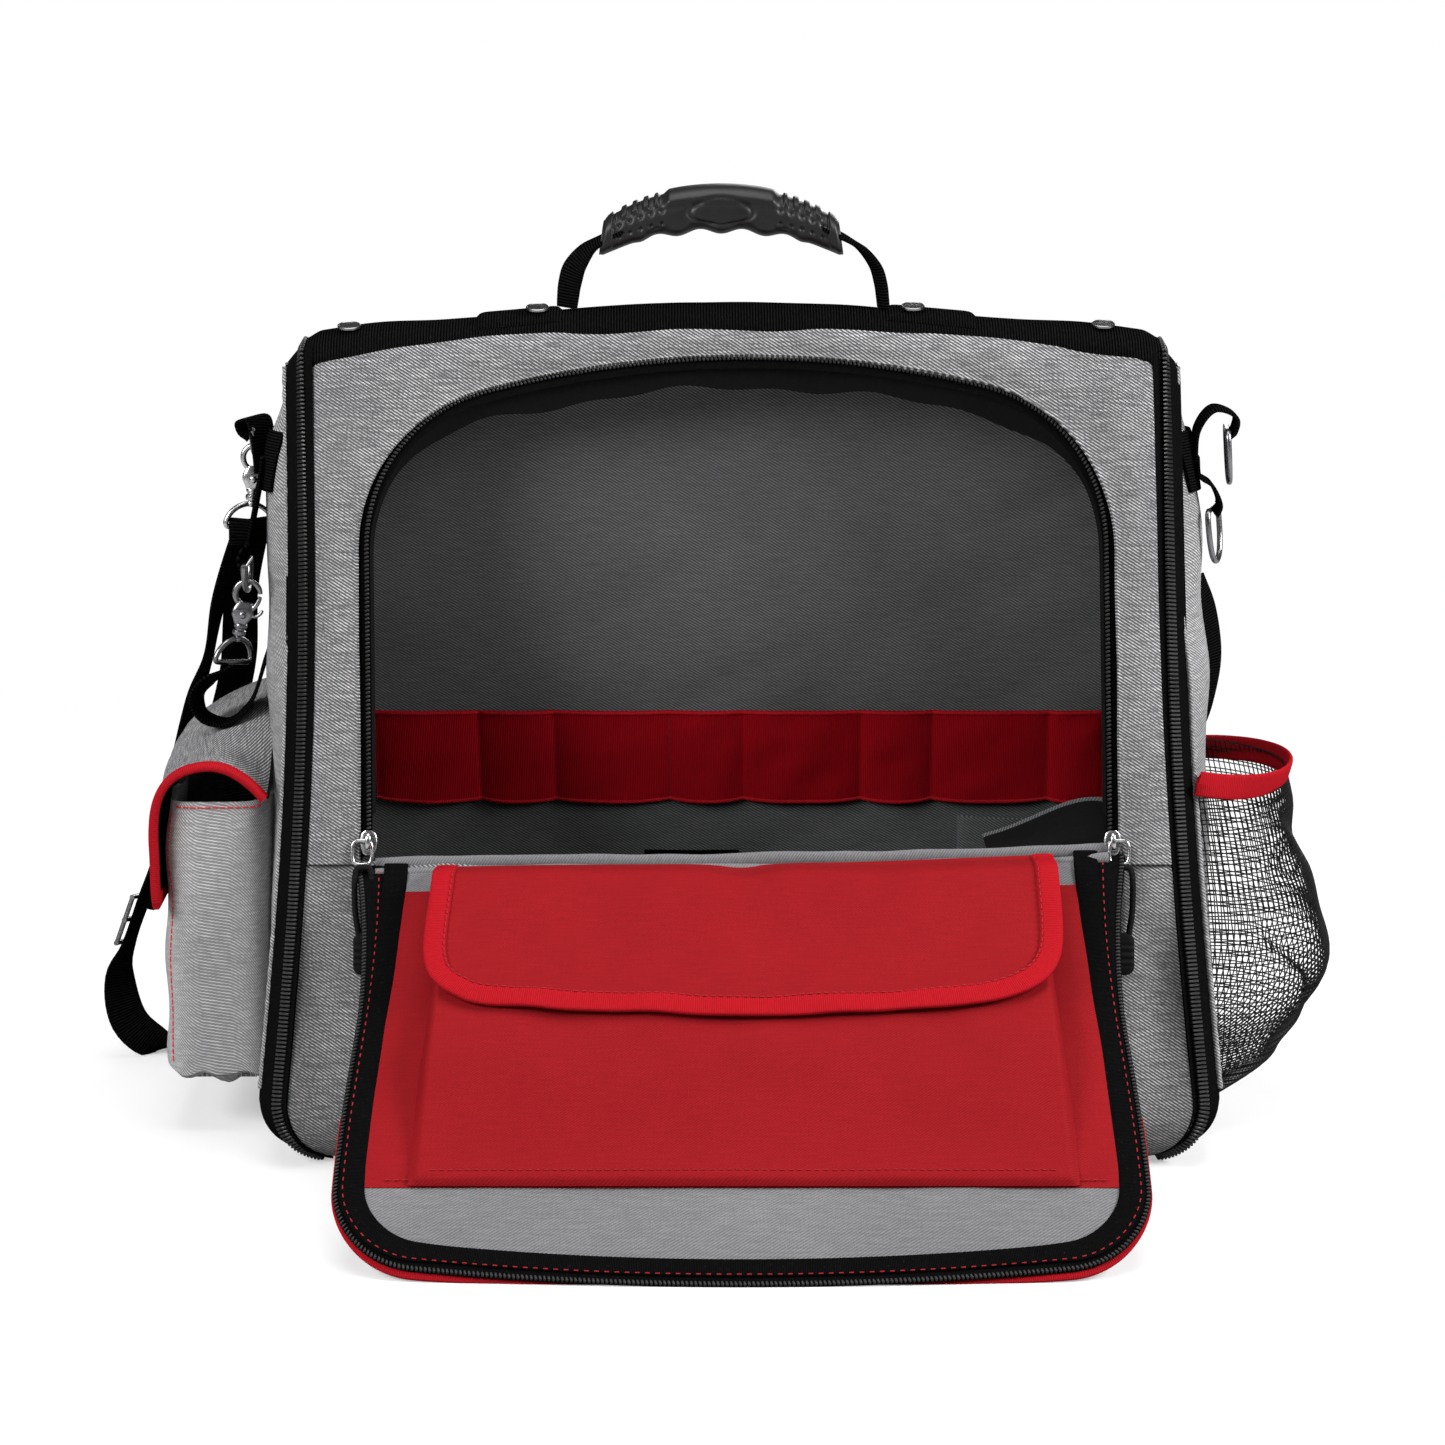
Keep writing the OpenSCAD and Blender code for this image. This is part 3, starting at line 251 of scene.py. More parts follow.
def sheet_of(name: str, cols: int, rows: int, place: Place, thick: float, side: float = 0.0,
             cut: Optional[Layout] = None) -> Piece:
    """Shape a grid into a curved sheet and give it its thickness.

    Args:
        name: Name of the piece.
        cols: Number of faces across.
        rows: Number of faces along.
        place: Gives points for shares across and along.
        thick: Thickness in millimetres.
        side: Side that the thickness goes to: -1 in, 0 both and 1 out.
        cut: Gives where the points lay on the flat cloth.

    Returns:
        The closed sheet.
    """
    return thicken(close_up(lofted(name, cols, rows, place, cut), False), thick, side)


def laid_as(flat: Callable[[Array, Array], tuple[Array, Array]]) -> Layout:
    """Lay cloth out by a sheet's own flat places."""
    return lambda u, v, _: np.stack(flat(u, v), 1)


def swept(name: str, path: Array, across: ArrayLike, outline: Array, size: Optional[Array] = None,
          cap: bool = True) -> Piece:
    """Sweep a closed outline along a path.

    Args:
        name: Name of the piece.
        path: Points that the middle of the outline follows, in millimetres.
        across: Direction of the outline's first column, one for all or one for each point.
        outline: Points of the closed outline, as across and out.
        size: Scale at each point, one for both columns or one for each, or None.
        cap: Whether the ends are closed.

    Returns:
        The new closed piece.
    """
    along = unit(np.gradient(path, axis=0))
    out = unit(np.cross(along, across))
    wide = np.cross(out, along)
    rows, cols = len(path) - 1, len(outline)
    size = np.ones(len(path)) if size is None else size
    size = np.broadcast_to(size.reshape(len(path), -1), (len(path), 2))

    def place(u: Array, v: Array) -> Array:
        """Points of the outline carried along the path."""
        i = np.rint(v * rows).astype(int)
        p = outline[np.rint(u * cols).astype(int) % cols] * size[i]
        return path[i] + wide[i] * p[:, :1] + out[i] * p[:, 1:]

    round_about = run_of(np.vstack([outline, outline[:1]]).dot(np.eye(2, 3)))
    run = run_of(path)

    def cut(u: Array, v: Array, _: Array) -> Array:
        """Place round the outline and along the path."""
        return np.stack([round_about[np.rint(u * cols).astype(int)], run[np.rint(v * rows).astype(int)]], 1)

    return close_up(lofted(name, cols, rows, place, cut), cap)


def oval(wide: float, thick: float, corners: int, square: float = 1.0) -> Array:
    """A closed outline between an oval and a rounded bar.

    Args:
        wide: Full width.
        thick: Full thickness.
        corners: Number of points.
        square: 1 for an oval, and less for a flatter bar.

    Returns:
        The outline's points.
    """
    t = (np.arange(corners) + 0.5) * 2 * math.pi / corners
    return np.stack([wide / 2 * squarish(np.cos(t), square), thick / 2 * squarish(np.sin(t), square)], 1)


def bead(size: Sequence[float], soft: float = 0.3) -> Piece:
    """Model one small rounded block to copy along a line.

    Args:
        size: Its length, width and height in millimetres.
        soft: Share of the smallest side that the bevel takes.

    Returns:
        The block, at the origin.
    """
    deselect()
    bpy.ops.mesh.primitive_cube_add(size=1, location=(0, 0, 0), scale=[s * MM for s in size])
    piece = bpy.context.active_object
    bpy.ops.object.transform_apply(location=False, rotation=False, scale=True)
    bpy.ops.object.mode_set(mode="EDIT")
    bpy.ops.mesh.select_all(action="SELECT")
    bpy.ops.mesh.bevel(offset=min(size) * soft * MM, segments=1, affect="EDGES")
    bpy.ops.object.mode_set(mode="OBJECT")
    return piece


def copied(name: str, pattern: Piece, at: Array, along: Array, out: ArrayLike) -> Piece:
    """Copy a small modelled shape to many places, as one piece.

    Args:
        name: Name of the piece.
        pattern: The shape at the origin, which is used up.
        at: Place of each copy, in millimetres.
        along: Direction of the shape's length at each copy.
        out: Direction of the shape's height, one for all or one for each copy.

    Returns:
        The piece with every copy in its mesh.
    """
    along = unit(along)
    side = unit(np.cross(out, along))
    turn = np.stack([along, side, np.cross(along, side)], 1)
    corners = np.array([v.co for v in pattern.data.vertices])
    faces = [tuple(p.vertices) for p in pattern.data.polygons]
    points = at[:, None, :] * MM + np.einsum("vk,pkc->pvc", corners, turn)
    count = len(corners)
    mesh = bpy.data.meshes.new(name)
    mesh.from_pydata(points.reshape(-1, 3).tolist(), [],
                     [tuple(i + k * count for i in f) for k in range(len(at)) for f in faces])
    bpy.data.meshes.remove(pattern.data)
    piece = bpy.data.objects.new(name, mesh)
    bpy.context.scene.collection.objects.link(piece)
    return piece


def joined(name: str, pieces: Sequence[Piece]) -> Piece:
    """Join pieces that are sewn or moulded as one.

    Args:
        name: Name of the joined piece.
        pieces: What is joined; the first keeps its object.

    Returns:
        The joined piece.
    """
    deselect()
    for piece in pieces:
        piece.select_set(True)
    bpy.context.view_layer.objects.active = pieces[0]
    bpy.ops.object.join()
    pieces[0].name = pieces[0].data.name = name
    return pieces[0]


def stitches(name: str, line: Array, out: ArrayLike, length: float, gap: float, thick: float = 0.55) -> Piece:
    """Sew a row of stitches along a line.

    Args:
        name: Name of the piece.
        line: Points of the seam, in millimetres, on the cloth.
        out: Direction out of the cloth, one for all or one for each point.
        length: Length of a stitch.
        gap: Gap between two stitches.
        thick: Thickness of the thread.

    Returns:
        The row of stitches.
    """
    run = run_of(line)
    mid = np.arange(length, run[-1] - length / 2, length + gap)

    def at(values: Array, where: Array) -> Array:
        """Values read off at distances along the line."""
        return np.stack([np.interp(where, run, values[:, i]) for i in range(3)], 1)

    normal = unit(at(np.broadcast_to(out, line.shape), mid))
    way = at(line, mid + length / 2) - at(line, mid - length / 2)
    stitch = bead((length, thick, thick), 0.35)
    return copied(name, stitch, at(line, mid) + normal * thick * 0.25, way, normal)


# Finishes

class Graph:
    """Short calls that place and join shader nodes."""

    def __init__(self, tree: bpy.types.NodeTree) -> None:
        """Hold the tree that is filled."""
        self.tree = tree

    def feed(self, socket: bpy.types.NodeSocket, value: object) -> None:
        """Join an output to an input, or set the input to a constant."""
        if isinstance(value, bpy.types.NodeSocket):
            self.tree.links.new(value, socket)
        else:
            socket.default_value = value

    def node(self, kind: str, feeds: Optional[dict] = None, **settings: object) -> bpy.types.ShaderNode:
        """Place one node.

        Args:
            kind: Blender's name for the node, without its prefix.
            feeds: Outputs or constants for its inputs.
            settings: The node's own values, set before the inputs are fed.

        Returns:
            The node.
        """
        made = self.tree.nodes.new("ShaderNode" + kind)
        for key, value in settings.items():
            setattr(made, key, value)
        for key, value in (feeds or {}).items():
            self.feed(made.inputs[key], value)
        return made

    def math(self, operation: str, a: object, b: object = 0.0) -> bpy.types.NodeSocket:
        """Do one sum on two values."""
        return self.node("Math", {0: a, 1: b}, operation=operation).outputs[0]

    def swing(self, value: object, middle: float, reach: float) -> bpy.types.NodeSocket:
        """Spread a value about a half, so that it swings about a new middle."""
        return self.math("ADD", self.math("MULTIPLY", self.math("SUBTRACT", value, 0.5), reach), middle)

    def mix(self, share: object, a: object, b: object) -> bpy.types.NodeSocket:
        """Blend two colours by a share."""
        return self.node("Mix", {0: share, 6: a, 7: b}, data_type="RGBA").outputs[2]

    def noise(self, at: object, spread: Sequence[float], detail: float) -> bpy.types.NodeSocket:
        """Mottle that is stretched along the axes.

        Args:
            at: Place on the piece.
            spread: Cells per metre on each axis.
            detail: How much finer mottle is added.

        Returns:
            The mottle, from 0 to 1.
        """
        place = self.node("VectorMath", {0: at, 1: tuple(spread)}, operation="MULTIPLY").outputs[0]
        return self.node("TexNoise", {"Vector": place, "Scale": 1.0, "Detail": detail}).outputs[0]

    def bump(self, height: object, strength: float, deep: float) -> bpy.types.NodeSocket:
        """Turn a height into a bumped normal, with its depth in millimetres."""
        return self.node("Bump", {"Height": height, "Strength": strength, "Distance": deep * MM}).outputs[0]


class Effect(Enum):
    """Surface effects that several finishes share."""

    WEAVE = "weave"
    HEATHER = "heather"
    RIBS = "ribs"
    LINT = "lint"

    def tree(self) -> bpy.types.NodeTree:
        """The effect's shader group, made on first use."""
        made = bpy.data.node_groups.get(self.value)
        return made if made else self._make()

    def _make(self) -> bpy.types.NodeTree:
        """Build the group: a place and a fineness in, one value out."""
        made = bpy.data.node_groups.new(self.value, "ShaderNodeTree")
        made.interface.new_socket(name="Place", in_out="INPUT", socket_type="NodeSocketVector")
        made.interface.new_socket(name="Fine", in_out="INPUT", socket_type="NodeSocketFloat")
        made.interface.new_socket(name="Value", in_out="OUTPUT", socket_type="NodeSocketFloat")
        g = Graph(made)
        inlet = made.nodes.new("NodeGroupInput")
        outlet = made.nodes.new("NodeGroupOutput")
        g.feed(outlet.inputs["Value"], getattr(self,
                                               "_" + self.value)(g, inlet.outputs["Place"],
                                                                 inlet.outputs["Fine"]))
        return made

    def _wave(self, g: Graph, value: object) -> bpy.types.NodeSocket:
        """A wave from 0 to 1 that repeats at each whole number."""
        return g.swing(g.math("SINE", g.math("MULTIPLY", value, 2 * math.pi)), 0.25, 0.5)

    def _weave(self, g: Graph, place: object, fine: object) -> bpy.types.NodeSocket:
        """Slanted twill lines, broken by the threads that cross them."""
        part = g.node("SeparateXYZ", {0: place}).outputs
        across, up = g.math("MULTIPLY", part[0], fine), g.math("MULTIPLY", part[1], fine)
        slant = self._wave(g, g.math("ADD", g.math("MULTIPLY", across, 0.65), up))
        thread = self._wave(g, g.math("MULTIPLY", g.math("SUBTRACT", up, across), 2.0))
        return g.math("ADD", g.math("MULTIPLY", slant, 0.75), g.math("MULTIPLY", thread, 0.25))

    def _heather(self, g: Graph, place: object, fine: object) -> bpy.types.NodeSocket:
        """Mixed yarn: short pale and dark streaks along the weft, with a fainter set up the warp."""
        spot = g.node("VectorMath", {0: place, 3: fine}, operation="SCALE").outputs[0]
        weft = g.noise(spot, (75, 900, 1), 3.0)
        warp = g.noise(spot, (1100, 130, 1), 2.0)
        return g.math("ADD", g.math("MULTIPLY", weft, 0.68), g.math("MULTIPLY", warp, 0.32))

    def _ribs(self, g: Graph, place: object, fine: object) -> bpy.types.NodeSocket:
        """Cords across a band, uneven from rib to rib."""
        part = g.node("SeparateXYZ", {0: place}).outputs
        wobble = g.math("MULTIPLY", g.noise(place, (180, 180, 1), 2.0), 0.35)
        return self._wave(g, g.math("ADD", g.math("MULTIPLY", part[1], fine), wobble))

    def _lint(self, g: Graph, place: object, fine: object) -> bpy.types.NodeSocket:
        """Specks of dust and pale fibre ends."""
        spot = g.node("VectorMath", {0: place, 3: fine}, operation="SCALE").outputs[0]
        speck = g.noise(spot, (900, 900, 900), 2.0)
        return g.math("MULTIPLY", g.math("MAXIMUM", g.math("SUBTRACT", speck, 0.66), 0.0), 4.0)


def effect(g: Graph, kind: Effect, place: object, fine: float) -> bpy.types.NodeSocket:
    """Place a shared effect in a finish.

    Args:
        g: The finish's nodes.
        kind: Which effect.
        place: Place on the piece.
        fine: How fine the effect is.

    Returns:
        The effect's value.
    """
    made = g.node("Group", node_tree=kind.tree())
    g.feed(made.inputs["Place"], place)
    g.feed(made.inputs["Fine"], fine)
    return made.outputs["Value"]


def rgba(colour: Colour) -> tuple[float, float, float, float]:
    """A colour with full cover."""
    return (*colour, 1.0)


@dataclass(frozen=True)
class Finish:
    """What every finish has: a name, two tones and a roughness."""

    name: str
    dark: Colour
    light: Colour
    rough: float

    def material(self) -> bpy.types.Material:
        """The finish as a material, made on first use."""
        made = bpy.data.materials.get(self.name)
        if made is None:
            made = bpy.data.materials.new(self.name)
            made.use_nodes = True
            made.node_tree.nodes.clear()
            g = Graph(made.node_tree)
            surface = g.node("BsdfPrincipled", {"Roughness": self.rough})
            g.node("OutputMaterial", {"Surface": surface.outputs[0]})
            self.paint(g, surface.inputs)
        return made

    def paint(self, g: Graph, surface: bpy.types.bpy_prop_collection) -> None:
        """Set the colours and the relief."""
        raise NotImplementedError


@dataclass(frozen=True)
class Cloth(Finish):
    """Woven cloth with twill lines and mixed yarn."""

    threads: float = 800.0
    streak: float = 1.0
    twill: float = 0.3
    patch: float = 0.25
    sheen: float = 0.0

    def paint(self, g: Graph, surface: bpy.types.bpy_prop_collection) -> None:
        """Blend the two tones by yarn, twill line and slow patches, and raise the twill lines."""
        flat = g.node("UVMap", uv_map="cloth").outputs[0]
        solid = g.node("TexCoord").outputs["Object"]
        weave = effect(g, Effect.WEAVE, flat, self.threads)
        yarn = effect(g, Effect.HEATHER, flat, 1.0)
        slow = g.noise(solid, (14, 14, 14), 2.0)
        share = g.math("ADD", g.swing(yarn, 0.5, self.streak * 2.4), g.swing(weave, 0.0, self.twill))
        share = g.math("ADD", share, g.swing(slow, 0.0, self.patch))
        share = g.math("MINIMUM", g.math("MAXIMUM", share, 0.0), 1.0)
        g.feed(surface["Base Color"], g.mix(share, rgba(self.dark), rgba(self.light)))
        lumps = g.math("ADD", weave, g.math("MULTIPLY", yarn, 1.4))
        g.feed(surface["Normal"], g.bump(lumps, 0.5, 0.12))
        surface["Sheen Weight"].default_value = self.sheen
        surface["Specular IOR Level"].default_value = 0.05


@dataclass(frozen=True)
class Ribbed(Finish):
    """Webbing, tape and grosgrain, with cords across the band."""

    ribs: float = 770.0
    deep: float = 0.25

    def paint(self, g: Graph, surface: bpy.types.bpy_prop_collection) -> None:
        """Paint shade into the gaps between the ribs as a darker tone, and add lint."""
        flat = g.node("UVMap", uv_map="cloth").outputs[0]
        solid = g.node("TexCoord").outputs["Object"]
        ribs = effect(g, Effect.RIBS, flat, self.ribs)
        grain = g.noise(solid, (500, 500, 500), 2.0)
        share = g.math("ADD", g.math("MULTIPLY", ribs, 0.6), g.math("MULTIPLY", grain, 0.4))
        # Painted shade: the rib wave that raises the cords also darkens the gaps between them.
        tone = g.mix(share, rgba(self.dark), rgba(self.light))
        lint = effect(g, Effect.LINT, solid, 1.0)
        g.feed(surface["Base Color"], g.mix(g.math("MULTIPLY", lint, 0.06), tone, (0.3, 0.3, 0.3, 1.0)))
        g.feed(surface["Normal"], g.bump(ribs, 0.8, self.deep))
        surface["Specular IOR Level"].default_value = 0.0


@dataclass(frozen=True)
class Moulded(Finish):
    """Rubber, nylon and plastic with a fine grain."""

    grain: float = 900.0
    deep: float = 0.06
    shine: float = 0.5

    def paint(self, g: Graph, surface: bpy.types.bpy_prop_collection) -> None:
        """Mottle the tone and the roughness, and add lint and a fine grain."""
        solid = g.node("TexCoord").outputs["Object"]
        grain = g.noise(solid, (self.grain,) * 3, 3.0)
        slow = g.noise(solid, (40, 40, 40), 2.0)
        tone = g.mix(slow, rgba(self.dark), rgba(self.light))
        lint = effect(g, Effect.LINT, solid, 0.8)
        g.feed(surface["Base Color"], g.mix(g.math("MULTIPLY", lint, 0.08), tone, (0.35, 0.35, 0.35, 1.0)))
        g.feed(surface["Roughness"], g.swing(slow, self.rough, 0.25))
        g.feed(surface["Normal"], g.bump(grain, 0.4, self.deep))
        surface["Specular IOR Level"].default_value = self.shine


@dataclass(frozen=True)
class Metal(Finish):
    """Plated metal with faint scuffs."""

    def paint(self, g: Graph, surface: bpy.types.bpy_prop_collection) -> None:
        """Vary the plating's tone and roughness by fine scuffs."""
        solid = g.node("TexCoord").outputs["Object"]
        scuff = g.noise(solid, (300, 300, 1500), 4.0)
        slow = g.noise(solid, (60, 60, 60), 2.0)
        g.feed(surface["Base Color"], g.mix(slow, rgba(self.dark), rgba(self.light)))
        g.feed(surface["Roughness"], g.swing(scuff, self.rough, 0.3))
        g.feed(surface["Normal"], g.bump(scuff, 0.12, 0.05))
        surface["Metallic"].default_value = 1.0


HEATHER_TWILL = Cloth("heather_twill", (0.07, 0.07, 0.073), (0.94, 0.94, 0.95), 0.9, 620.0, 0.6, 1.15, 0.3)
# Painted light: the front's heather twill made paler, standing in for the stronger side light on the end
# panels.
HEATHER_TWILL_PAINTED_LIT = Cloth("heather_twill_painted_lit", (0.11, 0.11, 0.113), (0.97, 0.97, 0.98), 0.9, 620.0, 0.5, 1.1, 0.3)
# Painted light: the front's heather twill made much brighter, standing in for the strong light on the left
# pocket.
HEATHER_TWILL_PAINTED_BRIGHTER = Cloth("heather_twill_painted_brighter", (0.2, 0.2, 0.204), (1.0, 1.0, 1.0), 0.9, 620.0, 0.5, 1.1, 0.3)
DARK_TWILL = Cloth("dark_lining_twill", (0.05, 0.052, 0.054), (0.33, 0.335, 0.34), 0.9, 640.0, 0.25, 1.0)
GREY_TWILL = Cloth("grey_lining_twill", (0.1, 0.1, 0.104), (0.26, 0.26, 0.268), 0.85, 700.0, 0.35, 0.6)
BLACK_CLOTH = Cloth("black_facing_cloth", (0.003, 0.003, 0.0035), (0.009, 0.009, 0.0095), 0.7, 800.0, 0.4,
                    0.4)
RED_TWILL = Cloth("red_twill", (0.17, 0.0045, 0.0065), (0.295, 0.009, 0.013), 0.75, 800.0, 0.3, 0.6)
RED_ELASTIC = Ribbed("red_elastic", (0.2, 0.0025, 0.006), (0.42, 0.006, 0.013), 0.75, 1100.0, 0.15)
RED_TAPE = Ribbed("red_grosgrain", (0.25, 0.006, 0.01), (0.42, 0.012, 0.019), 0.7, 1000.0, 0.16)
BLACK_WEBBING = Ribbed("ribbed_webbing", (0.0012, 0.0012, 0.0013), (0.012, 0.012, 0.0125), 0.8, 700.0, 0.5)
BLACK_TAPE = Ribbed("black_zip_tape", (0.002, 0.002, 0.0022), (0.009, 0.009, 0.0095), 0.6, 1500.0, 0.12)
BLACK_BINDING = Ribbed("black_binding", (0.002, 0.002, 0.0022), (0.007, 0.007, 0.0075), 0.55, 1300.0, 0.12)
COIL_NYLON = Moulded("coil_nylon", (0.008, 0.008, 0.0083), (0.018, 0.018, 0.0185), 0.36, 600.0, 0.03, 0.4)
DULL_NYLON = Moulded("dull_coil_nylon", (0.008, 0.008, 0.0083), (0.018, 0.018, 0.0185), 0.45, 600.0, 0.03,
                     0.25)
NET_YARN = Moulded("net_yarn", (0.003, 0.003, 0.0032), (0.008, 0.008, 0.0085), 0.5, 1500.0, 0.05, 0.2)
GRIP_RUBBER = Moulded("moulded_rubber", (0.003, 0.003, 0.0032), (0.007, 0.007, 0.0075), 0.45, 1100.0, 0.05,
                      0.35)
CORD_YARN = Moulded("cord_yarn", (0.002, 0.002, 0.0022), (0.006, 0.006, 0.0065), 0.65, 2400.0, 0.15, 0.08)
BLACK_BOARD = Moulded("black_board", (0.02, 0.02, 0.021), (0.035, 0.035, 0.036), 0.5)
RED_THREAD = Moulded("red_thread", (0.5, 0.012, 0.018), (0.7, 0.03, 0.035), 0.55, 2000.0, 0.05, 0.3)
MAROON_THREAD = Moulded("maroon_thread", (0.2, 0.005, 0.008), (0.28, 0.008, 0.012), 0.6, 2000.0, 0.05, 0.2)
BLACK_THREAD = Moulded("black_thread", (0.008, 0.008, 0.008), (0.02, 0.02, 0.02), 0.55, 2000.0, 0.05, 0.3)
NICKEL = Metal("nickel_plate", (0.42, 0.42, 0.43), (0.66, 0.66, 0.67), 0.26)
GUNMETAL = Metal("gunmetal_plate", (0.16, 0.16, 0.165), (0.32, 0.32, 0.33), 0.3)
BLACK_NICKEL = Metal("black_nickel", (0.05, 0.05, 0.052), (0.1, 0.1, 0.105), 0.35)


@dataclass(frozen=True)
class Coat:
    """A finish together with the name of a slot for it."""

    finish: Finish
    slot: str


GREY = Coat(HEATHER_TWILL, "grey_twill")
ENDS_PAINTED_LIT = Coat(HEATHER_TWILL_PAINTED_LIT, "grey_twill")
POUCH_PAINTED_BRIGHTER = Coat(HEATHER_TWILL_PAINTED_BRIGHTER, "grey_twill")
LINING = Coat(DARK_TWILL, "dark_lining")
PALE = Coat(GREY_TWILL, "grey_lining")
FACING = Coat(BLACK_CLOTH, "dark_lining")
RED = Coat(RED_TWILL, "red_fabric")
ELASTIC = Coat(RED_ELASTIC, "red_fabric")
TRIM = Coat(RED_TAPE, "red_binding")
WEBBING = Coat(BLACK_WEBBING, "black_webbing")
TAPE = Coat(BLACK_TAPE, "black_tape")
EDGING = Coat(BLACK_BINDING, "black_tape")
COIL = Coat(COIL_NYLON, "black_coil")
DULL_COIL = Coat(DULL_NYLON, "black_coil")
NET = Coat(NET_YARN, "black_net")
RUBBER = Coat(GRIP_RUBBER, "grip_rubber")
CORD = Coat(CORD_YARN, "black_webbing")
RED_SEAM = Coat(RED_THREAD, "red_binding")
DARK_SEAM = Coat(MAROON_THREAD, "red_binding")
BLACK_SEAM = Coat(BLACK_THREAD, "black_tape")
STEEL = Coat(NICKEL, "gunmetal")
ZIP_STEEL = Coat(NICKEL, "slider_metal")
DARK_STEEL = Coat(GUNMETAL, "gunmetal")
BOARD = Coat(BLACK_BOARD, "batten_plastic")


@dataclass(frozen=True)
class Crossing:
    """Cloth that bends over a joint: the body at its root, and where the bend starts and ends."""

    root: str
    start: tuple[float, float, float]
    end: tuple[float, float, float]


def dress(piece: Piece, coat: Coat, body: str, *stands_for: str, over: Optional[Crossing] = None,
          crease: float = 40.0) -> Piece:
    """Finish a piece and fix it to its body; a piece that crosses a joint only has its place baked into its
    mesh.

    Args:
        piece: The modelled piece.
        coat: Its finish and slot.
        body: The body that it moves with.
        stands_for: Solids that it takes the place of.
        over: The joint that its cloth bends over, if any.
        crease: Sharpest angle that is still shaded smooth.

    Returns:
        The same piece.
    """
    piece.data.materials.clear()
    piece.data.materials.append(coat.finish.material())
    pick(piece)
    bpy.ops.object.shade_smooth_by_angle(angle=math.radians(crease))
    if over is None:
        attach(piece, body)
    else:
        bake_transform(piece)
    if stands_for:
        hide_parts(*stands_for)
    LOG.info("%s: %d faces on %s", piece.name, len(piece.data.polygons), body)
    return piece


class Hold(Enum):
    """How a sheet of cloth is held."""

    LAID = "laid"
    FOLDED = "folded"
    HUNG = "hung"
    STRETCHED = "stretched"
    GATHERED = "gathered"


@dataclass(frozen=True)
class Cut:
    """A sheet of cloth as it was cut, before it was sewn in.

    The share is how much of its rectangle the cut fills.
    """

    wide: float
    long: float
    hold: Hold
    on: tuple[str, ...]
    share: float = 1.0


# Shape of the bag

